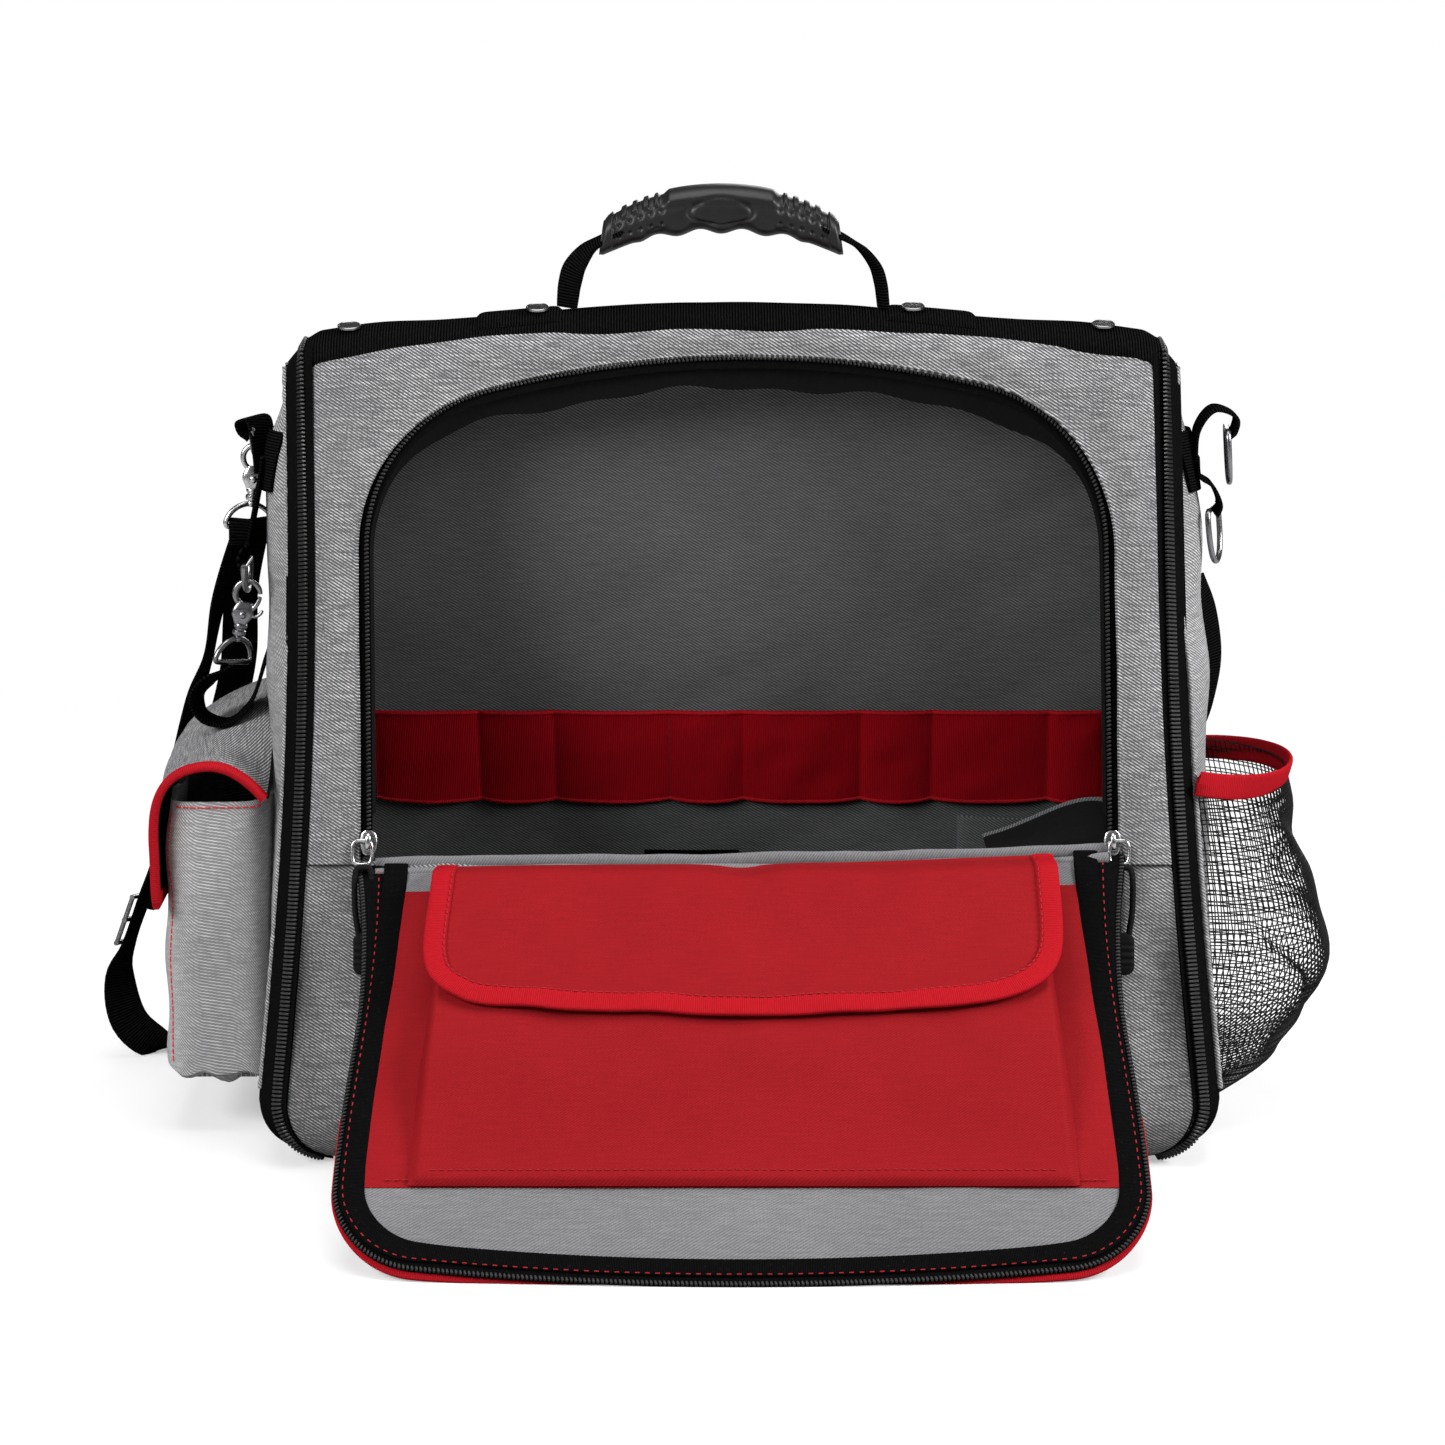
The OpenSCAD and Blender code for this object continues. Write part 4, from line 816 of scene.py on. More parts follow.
@dataclass(frozen=True)
class Wedge:
    """Sizes and curves of the bag's body in millimetres, as the solids have them."""

    depth: float = 230.0
    base_width: float = 476.0
    top_width: float = 440.0
    height: float = 386.0
    shoulder: float = 38.0
    edge_round: float = 22.0
    corner_round: float = 34.0
    end_bulge: float = 6.0
    leg: float = 14.0
    ridge_bow: float = 14.0
    crown_end: float = 14.0
    crown_mid: float = 10.0
    hinge_slant: float = 152.0
    seam: float = 0.3
    slump: float = 4.0
    drawn: float = 6.0

    @property
    def lean(self) -> float:
        """Angle that the front and back lean in by."""
        return math.atan((self.depth - self.shoulder) / 2 / self.height)

    @property
    def crown_half(self) -> float:
        """Half of the ridge's length."""
        return self.top_width / 2 - self.leg - self.seam

    @property
    def arc_y(self) -> float:
        """Where the round of the bottom edge starts."""
        return self.depth / 2 - self.edge_round * (1 + math.sin(self.lean)) / math.cos(self.lean)

    def half_w(self, z: Array) -> Array:
        """Half of the width at a height."""
        r, slope = self.corner_round, (self.base_width - self.top_width) / 2 / self.height
        rolled = np.sqrt(np.maximum(0, r * r - (r - np.minimum(z, r)) ** 2))
        low = self.base_width / 2 - slope * r - r + rolled
        return np.where(z < r, low, self.base_width / 2 - slope * z)

    def half_d(self, z: Array) -> Array:
        """Half of the depth at a height."""
        r = self.edge_round
        low = self.arc_y + np.sqrt(np.maximum(0, r * r - (r - z) ** 2))
        return np.where(z < r * (1 + math.sin(self.lean)), low, self.depth / 2 - z * math.tan(self.lean))

    def seam_x(self, z: Array) -> Array:
        """Half of the width between the corner seams, which are drawn in half way up."""
        return self.half_w(z) - self.drawn * np.sin(math.pi * np.clip(z / self.height, 0, 1)) ** 1.2

    def end_x(self, y: Array, z: Array) -> Array:
        """How far out the end panel stands, with the swell of its padding."""
        room = np.maximum(0.5, self.half_d(z) - self.leg - self.seam)
        swell = self.end_bulge * np.sin(math.pi * np.clip(z / self.height, 0,
                                                          1)) + self.half_w(z) - self.seam_x(z)
        swell = swell + 8 * hump(z, 315, 75)
        taper = ease((384 - z) / 48)
        return self.seam_x(z) + swell * taper * np.maximum(0, 1 - (y / room) ** 2)

    def bow(self, x: Array) -> Array:
        """Share of the ridge's rise at a place along it."""
        return np.maximum(0, 1 - (x / self.crown_half) ** 2)

    def shoulder_z(self, x: Array) -> Array:
        """Height where the ridge's round starts."""
        return self.height + self.ridge_bow * self.bow(x)

    def ridge(self, x: Array, turn: Array, off: Array) -> Array:
        """A point on the ridge's round.

        Args:
            x: Place along the ridge.
            turn: Angle over the ridge from the front, in degrees.
            off: Height above the ridge's skin.

        Returns:
            The points.
        """
        z = self.shoulder_z(x)
        half = self.depth / 2 - z * math.tan(self.lean)
        rise = self.crown_end - (self.crown_end - self.crown_mid) * self.bow(x)
        t = np.radians(turn)
        return np.stack([x, -(half + off) * np.cos(t), z + self.seam + (rise + off) * np.sin(t)], -1)

    def front(self, x: Array, s: Array, n: Array) -> Array:
        """A point off the front's slope: across, up the slope and out of it."""
        c, d = math.cos(self.lean), math.sin(self.lean)
        x, s, n = np.broadcast_arrays(np.asarray(x, float), s, n)
        return np.stack([x, -self.depth / 2 + s * d - n * c, s * c + n * d], -1)

    def foot(self, x: Array, run: Array, n: Array) -> Array:
        """A point on the front, with the bottom edge rolled under.

        Args:
            x: Place across.
            run: Distance up the cloth from the middle of the rolled edge's flat end.
            n: Distance out of the cloth.

        Returns:
            The points.
        """
        r, a = self.edge_round, math.pi / 2 + self.lean
        start = r * (1 + math.sin(self.lean)) / math.cos(self.lean)
        t = np.clip(run / r, 0, a)
        flat = np.minimum(run, 0)
        y = -self.arc_y - flat - (r + n) * np.sin(t)
        z = r - (r + n) * np.cos(t)
        up = self.front(x, start + run - r * a, n)
        return np.where((run > r * a)[..., None], up, np.stack([np.broadcast_to(x, y.shape), y, z], -1))

    def settle(self, p: Array) -> Array:
        """Let soft pieces slump a little to the left, more so near the top."""
        q = np.array(p, float)
        q[..., 0] -= self.slump * np.clip(q[..., 2] / 400, 0, 1.2) ** 2.2
        return q


WEDGE = Wedge()
FRONT_OUT = WEDGE.front(0, 0, 1) - WEDGE.front(0, 0, 0)


@dataclass(frozen=True)
class Arch:
    """The opening's arched line, on the slope's own flat plane."""

    half: float = 192.0
    corner: float = 70.0
    round_top: float = 500.0
    crown: float = 399.985
    tilt: float = 0.0

    def _middles(self, inset: float) -> tuple[float, float, float, float, float]:
        """Corner middle, its height, crown middle and the two radii.

        Args:
            inset: Distance in from the line.

        Returns:
            The five lengths.
        """
        cx = self.half - self.corner
        low = self.crown - self.round_top
        cs = low + math.sqrt((self.round_top - self.corner) ** 2 - cx ** 2)
        return cx, cs, low, self.corner - inset, self.round_top - inset

    def line(self, inset: float, start: float, steps: int) -> Array:
        """Evenly spaced points from the left foot over the top to the right foot.

        Args:
            inset: Distance in from the line.
            start: Height of the feet up the slope.
            steps: Number of points.

        Returns:
            Points as across and up the slope.
        """
        cx, cs, low, r, big = self._middles(inset)
        turn = math.atan2(cx, cs - low)
        side = [(-self.half + inset, s) for s in np.linspace(start, cs, 30, endpoint=False)]
        bend = [(-cx - r * math.cos(t), cs + r * math.sin(t))
                for t in np.linspace(0, math.pi / 2 - turn, 30, endpoint=False)]
        top = [(big * math.sin(t), low + big * math.cos(t)) for t in np.linspace(-turn, 0, 40)]
        left = np.array(side + bend + top)
        right = left[-2::-1] * (-1, 1)
        whole = even(np.vstack([left, right]), steps)
        lift = self.tilt * np.sin(np.clip(whole[:, 0] / 150, -1.6, 1.6) * math.pi / 3.2)
        whole[:, 1] += lift * ease((whole[:, 1] - 250) / 120)
        return whole

    def top(self, x: Array, inset: float) -> Array:
        """Height of the line above a place across.

        Args:
            x: Place across.
            inset: Distance in from the line.

        Returns:
            The heights up the slope.
        """
        cx, cs, low, r, big = self._middles(inset)
        edge = big * math.sin(math.atan2(cx, cs - low))
        crown = low + np.sqrt(np.maximum(0, big ** 2 - x ** 2))
        bend = cs + np.sqrt(np.maximum(0, r ** 2 - np.maximum(0, np.abs(x) - cx) ** 2))
        return np.where(np.abs(x) < edge, crown, bend)


OPENING = Arch(half=186.0, corner=84.0, tilt=2.2)
DOOR_EDGE = Arch(corner=52.0, round_top=1300.0, crown=402.5)


@dataclass(frozen=True)
class DoorPlane:
    """The open door's own plane, from the hinge down to the floor."""

    hinge_y: float = -76.859
    hinge_z: float = 147.144
    turn: float = 217.161

    def at(self, x: Array, u: Array, n: Array) -> Array:
        """A point off the door: across, away from the hinge, and out of its lower face.

        Args:
            x: Place across.
            u: Distance from the hinge.
            n: Distance out of the lower face; less than nothing is above the lining.

        Returns:
            The points.
        """
        x, u, n = np.broadcast_arrays(np.asarray(x, float), u, n)
        a = math.radians(self.turn)
        y = self.hinge_y + u * math.cos(a) - n * math.sin(a)
        z = self.hinge_z + u * math.sin(a) + n * math.cos(a)
        near = np.exp(-np.maximum(u, 0) / 34)
        return np.stack([x, y, z + self.sag(x) * near - 2.2 * ease((u - 200) / 35)], -1)

    def sag(self, x: Array) -> Array:
        """How the cloth at the hinge dips in the middle and climbs to the right."""
        return 3.2 * np.clip(x / 190, -1, 1) ** 3 + 1.2 * x / 190 - 1.4 * hump(x, -20, 120)


DOOR = DoorPlane()


# Body

@dataclass
class Shell:
    """The soft body: front, lower front, back, ends and base."""

    puff: float = 2.2
    wrinkle: float = 0.7
    panel: float = 2.4
    fill: float = 0.3
    tuck: float = 8.0
    roll: float = 28.2
    hem: float = 14.0

    def build(self) -> None:
        """Model and dress every panel."""
        self.front()
        self.lower_front()
        self.back()
        for side in (-1, 1):
            self.end(side)
        self.base()

    def _rolled(self) -> float:
        """Length of cloth that the rolled foot and its tuck take beyond the slope."""
        return WEDGE.edge_round * (math.pi / 2 + WEDGE.lean) - self.roll + self.tuck

    def _edge(self, z: Array) -> Array:
        """Half of the flat panel's width at a height."""
        return WEDGE.seam_x(z) - WEDGE.leg + 0.6

    def front(self) -> None:
        """The front above the hinge: a wide strip that runs round the arched opening."""
        steps = 240
        c = math.cos(WEDGE.lean)
        inner = OPENING.line(0.0, WEDGE.hinge_slant - 1.5, steps + 1)
        outer = self._matched(inner, self._outline())

        def flat(u: Array, v: Array) -> Array:
            """Where the grid lies on the flat panel."""
            i = np.rint(u * steps).astype(int)
            return inner[i] + (outer[i] - inner[i]) * v[:, None]

        def place(u: Array, v: Array) -> Array:
            """The panel's cloth, puffed between its seams."""
            x, s = flat(u, v).T
            belly = np.sin(math.pi * np.clip(v, 0, 1)) ** 0.8
            n = self.puff * belly + self.wrinkle * folds(x, s, 62, 3) * belly
            n += 1.3 * np.exp(-v * 22) - 1.6 * ease((v - 0.94) / 0.06)
            over = np.maximum(0, s * c - WEDGE.shoulder_z(x) - 2)
            return WEDGE.settle(WEDGE.front(x, s - over * 0.4, n - over * 0.5))

        piece = sheet_of("front_cloth", steps, 26, place, self.panel, -1.0, lambda u, v, p: flat(u, v))
        dress(piece, GREY, "bag", "front_panel")

    def _outline(self) -> Array:
        """The front panel's outer edge, up the left, along the ridge and down the right."""
        c = math.cos(WEDGE.lean)
        z = np.linspace((WEDGE.hinge_slant - 1.5) * c, WEDGE.height, 60)
        left = np.stack([-self._edge(z), z / c], 1)
        x = np.linspace(left[-1, 0], 0, 60)[1:]
        half = np.vstack([left, np.stack([x, WEDGE.shoulder_z(x) / c + 3], 1)])
        return np.vstack([half, half[-2::-1] * (-1, 1)])

    def _matched(self, inner: Array, outer: Array) -> Array:
        """Points of the outer edge that lie across from those of the opening's edge.

        Args:
            inner: The opening's edge, evenly spaced.
            outer: The panel's outer edge.

        Returns:
            One outer point for each inner one.
        """
        def marks(line: Array) -> list[float]:
            """Shares along the line where its sides end and its top starts."""
            run = run_of(line.dot(np.eye(2, 3))) / run_of(line.dot(np.eye(2, 3)))[-1]
            side = run[np.argmax(line[:, 1] > 322)]
            top = run[np.argmax((line[:, 0] > -140) & (line[:, 1] > 360))]
            return [0, side, top, 0.5, 1 - top, 1 - side, 1]

        share = np.interp(np.linspace(0, 1, len(inner)), marks(inner), marks(outer))
        run = run_of(outer.dot(np.eye(2, 3)))
        return np.stack([np.interp(share * run[-1], run, outer[:, i]) for i in (0, 1)], 1)

    def lower_front(self) -> None:
        """The front below the hinge, with a dent beside the door and its foot rolled under."""
        long = self._rolled() + WEDGE.hinge_slant

        def flat(u: Array, v: Array) -> tuple[Array, Array]:
            """Place across, and run up from the foot."""
            run = -self.tuck + v * long
            z = WEDGE.foot(np.zeros_like(run), run, np.zeros_like(run))[:, 2]
            return (2 * u - 1) * self._edge(np.maximum(z, 1.0)), run

        def place(u: Array, v: Array) -> Array:
            """The cloth with its dents and waves."""
            x, run = flat(u, v)
            edge = ease((1 - np.abs(2 * u - 1)) * 9)
            n = self.wrinkle * folds(x, run, 48, 11) * edge
            n -= 4.0 * hump(np.abs(x), 205, 11) * hump(run, 95, 42)
            n += 1.8 * hump(np.abs(x), 190, 9) * hump(run, 60, 30) - 1.2 * ease((v - 0.97) / 0.03)
            return WEDGE.settle(WEDGE.foot(x, run, n))

        piece = sheet_of("lower_front_cloth", 150, 60, place, self.panel, -1.0, laid_as(flat))
        dress(piece, GREY, "bag", "front_lower_panel")

    def back(self) -> None:
        """The back, in one piece from the foot to the ridge."""
        long = self._rolled() + WEDGE.height / math.cos(WEDGE.lean) + self.hem

        def flat(u: Array, v: Array) -> tuple[Array, Array]:
            """Place across, and run up from the foot."""
            run = -self.tuck + v * long
            z = WEDGE.foot(np.zeros_like(run), run, np.zeros_like(run))[:, 2]
            return (2 * u - 1) * self._edge(np.clip(z, 1.0, WEDGE.height)), run

        def place(u: Array, v: Array) -> Array:
            """The cloth, puffed and waved, turned to face backwards."""
            x, run = flat(u, v)
            edge = ease((1 - np.abs(2 * u - 1)) * 9) * ease((1 - v) * 8)
            n = (2.0 + 0.9 * folds(x, run, 75, 21)) * edge
            low = WEDGE.foot(x, run, n)
            drop = np.maximum(0, low[:, 2] - WEDGE.shoulder_z(x) - 1)
            low[:, 2] -= drop
            return WEDGE.settle(low * (1, -1, 1))

        piece = self._lined(lofted("back_cloth", 120, 110, place, laid_as(flat)))
        dress(piece, GREY, "bag", "back_panel")

    def _lined(self, piece: Piece) -> Piece:
        """Thicken an outer sheet towards the middle of the bag, whichever way its faces look.

        Args:
            piece: The sheet.

        Returns:
            The same piece, closed.
        """
        close_up(piece, False)
        middle = np.array([0, 0, 0.2])
        seen = sum(np.dot(np.array(p.normal), np.array(p.center) - middle) * p.area
                   for p in piece.data.polygons)
        return thicken(piece, self.panel, 1.0 if seen < 0 else -1.0)

    @staticmethod
    def swell(side: int, y: Array, z: Array) -> Array:
        """How far out an end panel lies; the right one swells less near its patch."""
        return WEDGE.end_x(y, np.minimum(z, WEDGE.height)) - (5 * hump(z, 330, 50) if side > 0 else 0)

    def end(self, side: int) -> None:
        """One end panel, belted in by its corner zips, with a rolled seam beside each.

        Args:
            side: -1 for the left and 1 for the right.
        """
        word = "left" if side < 0 else "right"

        def place(u: Array, v: Array) -> Array:
            """The cloth from the foot to the ridge's end."""
            z = 1.5 + v * (WEDGE.height - 5)
            room = np.maximum(3.0, WEDGE.half_d(np.minimum(z, WEDGE.height)) - WEDGE.leg + 0.4)
            y = (2 * u - 1) * room
            edge = ease((1 - np.abs(2 * u - 1)) * 5) * ease((1 - v) * 12)
            x = self.swell(side, y, z) + 0.9 * folds(y, z, 70, 31 + side) * edge
            dent = -3.0 * hump(y, -20, 26) * hump(z, 262, 20) + 2.0 * hump(y, 6, 40) * hump(z, 225, 18)
            return WEDGE.settle(np.stack([side * (x + dent), y, z], 1))

        def cut(u: Array, v: Array, p: Array) -> Array:
            """The weave runs level round the end."""
            return np.stack([p[:, 1] * side, p[:, 2]], 1)

        piece = self._lined(lofted(word + "_end_cloth", 60, 100, place, cut))
        # Painted light: the end panel wears the paler, lit copy of the front's twill for the side light that
        # falls on it.
        dress(piece, ENDS_PAINTED_LIT, "bag", word + "_end_panel")
        rolls = []
        for edge in (0.0, 1.0):
            v = np.linspace(0.09, 0.995, 150)
            line = place(np.full(150, edge), v)
            line[:, 0] += side * 0.8
            twist = 1 + 0.14 * np.sin(np.arange(150) * 1.9)
            rolls.append(swept("roll", line, (0.0, 1.0, 0.0), oval(3.4, 3.0, 10),
                               twist))
        # Painted light: the seam rolls take the same paler, lit copy of the twill.
        dress(joined(word + "_end_seam_rolls", rolls), ENDS_PAINTED_LIT, "bag")

    def base(self) -> None:
        """The flat base between the rolled edges."""
        def place(u: Array, v: Array) -> Array:
            """A flat sheet with round corners."""
            x, y = (2 * u - 1) * 203.4, (2 * v - 1) * (WEDGE.arc_y + 1.5)
            return np.stack([x, y, 0.25 + 0.15 * folds(x, y, 90, 5)], 1)

        piece = thicken(lofted("base_cloth", 60, 30, place), 2.0, -1.0)
        dress(piece, FACING, "bag", "base_panel")


@dataclass
class CornerZips:
    """The zips up the four corners, in two runs that cross over the ridge's ends."""

    pitch: float = 2.0
    tooth: tuple[float, float, float] = (1.3, 5.8, 2.2)

    def line(self, leg: float, lift: float, side: int, steps: int) -> Array:
        """A run from the front foot over the ridge to the back foot.

        Args:
            leg: Distance in from the outer corner.
            lift: Distance out of the tape.
            side: -1 for the left and 1 for the right.
            steps: Number of points.

        Returns:
            The points.
        """
        d, keep = WEDGE.shoulder / 2, leg / WEDGE.leg
        top = WEDGE.height - 7 * (1 - keep)
        z = np.concatenate([22 - 22 * np.cos(np.radians(np.linspace(26, 104, 9))),
                            np.linspace(34, top - 4, 12)])
        up = np.stack([WEDGE.seam_x(z) - leg, -WEDGE.half_d(z) + WEDGE.leg - leg, z], 1)
        t = np.radians(np.linspace(25, 155, 9))
        over = np.stack([np.full(9, WEDGE.top_width / 2 - leg), -(d - WEDGE.leg + leg) * np.cos(t),
                         top + (1 + 7 * keep) * np.sin(t)], 1)
        whole = path_of(np.vstack([up, over, (up * (1, -1, 1))[::-1]]), steps)
        middle = np.array([WEDGE.top_width / 2 - 60, 0, 0])
        out = whole * (1, 1, 0) - middle
        out[:, 2] = np.maximum(0, whole[:, 2] - WEDGE.height) * 6
        whole = whole + unit(out) * lift
        return WEDGE.settle(whole * (side, 1, 1))

    def build(self) -> None:
        """Model each run's tape and coil."""
        for side, word in ((-1, "left"), (1, "right")):
            steps = 260
            rails = [self.line(leg, lift, side, steps + 1)
                     for leg, lift in ((14.2, 0.2), (11.5, 1.0), (7.0, 1.5), (2.5, 1.0), (-0.2, 0.2))]

            def place(u: Array, v: Array) -> Array:
                """The tape, bent round the corner, with small tucks over the ridge's end."""
                i, j = np.rint(v * steps).astype(int), np.rint(u * 4).astype(int)
                return np.array(rails)[j, i]

            tape = lofted(word + "_corner_tape", 4, steps, place)
            close_up(tape, False)
            dress(thicken(tape, 1.2, -side), TAPE, "bag", *(("corner_zip_tapes",) if side < 0 else ()))
            mid = self.line(10.4, 2.9, side, 900)
            at = even(mid, int(run_of(mid)[-1] / self.pitch))
            way = np.gradient(at, axis=0)
            out = at - self.line(9.4, -8.0, side, len(at))
            coil = copied(word + "_corner_coil", bead(self.tooth, 0.28), at, way, out)
            dress(coil, COIL, "bag", *(("corner_zip_coils",) if side < 0 else ()))


@dataclass
class Ridge:
    """The ribbed webbing along the top, its rivets and the handle's tabs."""

    thick: float = 2.6
    rivet_x: tuple[float, ...] = (-188.5, -95.5, 89.0, 182.5)

    def build(self) -> None:
        """Model the webbing, the tabs and the rivets."""
        self.spine()
        self.batten()
        self.tabs()
        self.rivets()

    def skin(self, x: Array, turn: Array, off: Array) -> Array:
        """The webbing's outer face, with ends that droop."""
        p = WEDGE.ridge(np.clip(x, -WEDGE.crown_half, WEDGE.crown_half), turn, off)
        p[..., 0] = x
        low = ease((np.abs(x) - 150) / 60)
        p[..., 2] -= 1.6 * low ** 2 * np.sin(np.radians(np.clip(turn, 0, 180))) + 0.6 * low
        p[..., 2] -= 3.6 * ease((np.abs(x) - 25) / 110) * (1 - 0.45 * ease((np.abs(x) - 140) / 40))
        return WEDGE.settle(p)

    def spine(self) -> None:
        """Wide webbing bent over the ridge."""
        def place(u: Array, v: Array) -> Array:
            """Along the ridge and over it."""
            x = (2 * v - 1) * 210.5
            wave = 0.5 * np.sin(x / 23) + 0.4 * np.sin(x / 9.5 + 1)
            turn = -16 + u * 212 + wave * (1 - 2 * u)
            tuck = ease((np.abs(x) - 200) / 11)
            return self.skin(x, turn, 1.2 + 0.25 * folds(x, turn, 40, 8) - 3.5 * tuck ** 2)

        piece = lofted("spine_band", 26, 320, place)
        close_up(piece, False)
        dress(thicken(piece, self.thick, -1.0), WEBBING, "bag", "spine_webbing")
        seam = np.linspace(-203, 203, 300)
        rows = []
        for turn in (-8.0, 188.0):
            line = self.skin(seam, np.full(300, turn), np.full(300, 1.3))
            rows.append(stitches("row", line,
                                 line - self.skin(seam, np.full(300, turn), np.full(300, -3.0)), 3.0, 1.2))
        dress(joined("spine_stitches", rows), BLACK_SEAM, "bag")

    def batten(self) -> None:
        """A stiff strip under the webbing, which follows its droop."""
        def place(u: Array, v: Array) -> Array:
            """Along the ridge and over it."""
            return self.skin((2 * v - 1) * 198, 25 + u * 130, np.full(len(u), -1.9))

        piece = close_up(lofted("batten_strip", 16, 120, place), False)
        dress(thicken(piece, 1.6, -1.0), BOARD, "bag", "ridge_batten")

    def tabs(self) -> None:
        """Short straps across the ridge that hold the handle's feet."""
        parts = []
        for x0, x1 in ((-126.0, -84.0), (76.0, 120.0)):
            def place(u: Array, v: Array) -> Array:
                """A strap over the ridge, with its sides turned down."""
                x = x0 + (x1 - x0) * v
                edge = 1 - np.abs(2 * u - 1) ** 6
                return self.skin(x, 40 + u * 100, 1.5 + 2.0 * edge * (1 - np.abs(2 * v - 1) ** 14))
            parts.append(thicken(close_up(lofted("tab", 18, 30, place), False), 1.0, -1.0))
        dress(joined("handle_foot_tabs", parts), WEBBING, "bag", "handle_tabs")

    def rivets(self) -> None:
        """Four domed rivets, each turned from a profile and set on the ridge."""
        parts = []
        for k, x in enumerate(self.rivet_x):
            lift = 2.4 if k in (0, 3) else 4.6
            at = self.skin(np.array([x]), np.array([72.0]), np.array([lift]))[0]
            out = unit(np.array([0.0, -0.2, 1.0]))
            deselect()
            bpy.ops.mesh.primitive_circle_add(vertices=28, radius=5.8 * MM, fill_type="NGON",
                                              location=(0, 0, 0))
            piece = bpy.context.active_object
            bpy.ops.object.mode_set(mode="EDIT")
            bpy.ops.mesh.select_all(action="SELECT")
            bpy.ops.mesh.extrude_region_move(TRANSFORM_OT_translate={"value": (0, 0, 0.9 * MM)})
            for thick, rise in ((0.5, 0.25), (0.5, -0.3), (3.0, 0.15)):
                bpy.ops.mesh.inset(thickness=thick * MM, depth=rise * MM)
            bpy.ops.object.mode_set(mode="OBJECT")
            parts.append(copied("rivet", piece, at[None], np.array([[1.0, 0, 0]]), out[None]))
        dress(joined("ridge_rivets", parts), DARK_STEEL, "bag", "spine_rivets", crease=30)


# Handle

@dataclass
class Handle:
    """The moulded grip and the webbing that runs up to it from each tab."""

    reach: float = 59.0
    half_wide: float = 13.0
    half_high: float = 10.5
    shift: float = -9.5

    def build(self) -> None:
        """Model the grip and the two legs."""
        self.grip()
        self.legs()

    def _middle(self, f: Array) -> Array:
        """Height of the grip's middle line."""
        return 457.4 - 11 * f ** 2 - 4 * f ** 4

    def grip(self) -> None:
        """The rubber grip: plateau, ribs, dimples, a bare oval, lipped ends and finger scallops."""
        def place(u: Array, v: Array) -> Array:
            """Round the grip and along it."""
            f = 2 * v - 1
            x, t = f * self.reach, u * 2 * math.pi
            up, out = np.sin(t), np.cos(t)
            ax = np.abs(x)
            flat = squarish(out, 0.75)
            high = squarish(up, 0.8)
            swell = 1 - 0.2 * f ** 2
            d = 2.0 * ease((29 - ax) / 4) * ease((up - 0.25) / 0.3)
            teeth = ease((np.sin((ax - 30) * 2 * math.pi / 5.4) + 0.35) * 1.4)
            d += 1.5 * teeth * ease((ax - 30) / 1) * ease((52 - ax) / 1) * ease((up - 0.4) / 0.25)
            d += 2.0 * ease((ax - 52.5) / 1.2) * ease((up + 0.9) / 0.5) * (0.6 + 0.4 * up)
            d -= 1.2 * ease((ax - 56.5) / 2.5)
            d += 1.3 * np.cos(x * 2 * math.pi / 21) * ease((44 - ax) / 8) * ease((-up - 0.25) / 0.4)
            z0 = high * self.half_high
            for row in (3.2, -3.4):
                for k in range(5):
                    gap = np.hypot(ax - 29 - 5.2 * k, z0 - row)
                    d -= 1.1 * np.exp(-(gap / 1.15) ** 2) * ease((np.abs(out) - 0.35) / 0.2)
            ring = np.hypot(x / 15.5, z0 / 6.2)
            d -= 0.8 * np.exp(-((ring - 1) * 9) ** 2) * ease((np.abs(out) - 0.3) / 0.2)
            size = swell + d / 11
            y = flat * self.half_wide * size
            z = self._middle(f) + high * self.half_high * size
            lean = 0.14 * np.sign(f) * ease((ax - 50) / 9) * (z - self._middle(f))
            return np.stack([x + self.shift - lean, y, z], 1)

        piece = close_up(lofted("grip_moulding", 120, 300, place), True)
        dress(piece, RUBBER, "carry_handle", "handle_grip", crease=50)

    def legs(self) -> None:
        """Webbing that leaves each tab edge on, twists and spreads into the grip."""
        rows = [(78, -5, 11, 62), (77.5, 0, 12, 60), (76.5, 7, 13, 58), (74, 15, 15, 48), (68, 23, 18, 30),
                (61, 28, 22, 12), (53, 32, 23, 3), (44, 36, 22, 0)]
        parts = []
        for side in (-1, 1):
            path = path_of(rows, 70)
            line = np.stack([side * path[:, 0] - 7.5, np.zeros(70), 414.15 + path[:, 1]], 1)
            turn = np.radians(path[:, 3] * (1.0 if side < 0 else 0.35))
            across = np.stack([np.sin(turn), -np.cos(turn), 0.2 * np.sin(turn)], 1)
            parts.append(swept("leg", line, across, oval(1, 3.0, 16, 0.4),
                               np.stack([path[:, 2], np.ones(70)], 1)))
        dress(joined("handle_legs", parts), WEBBING, "carry_handle", "handle_webbing")


# Opening

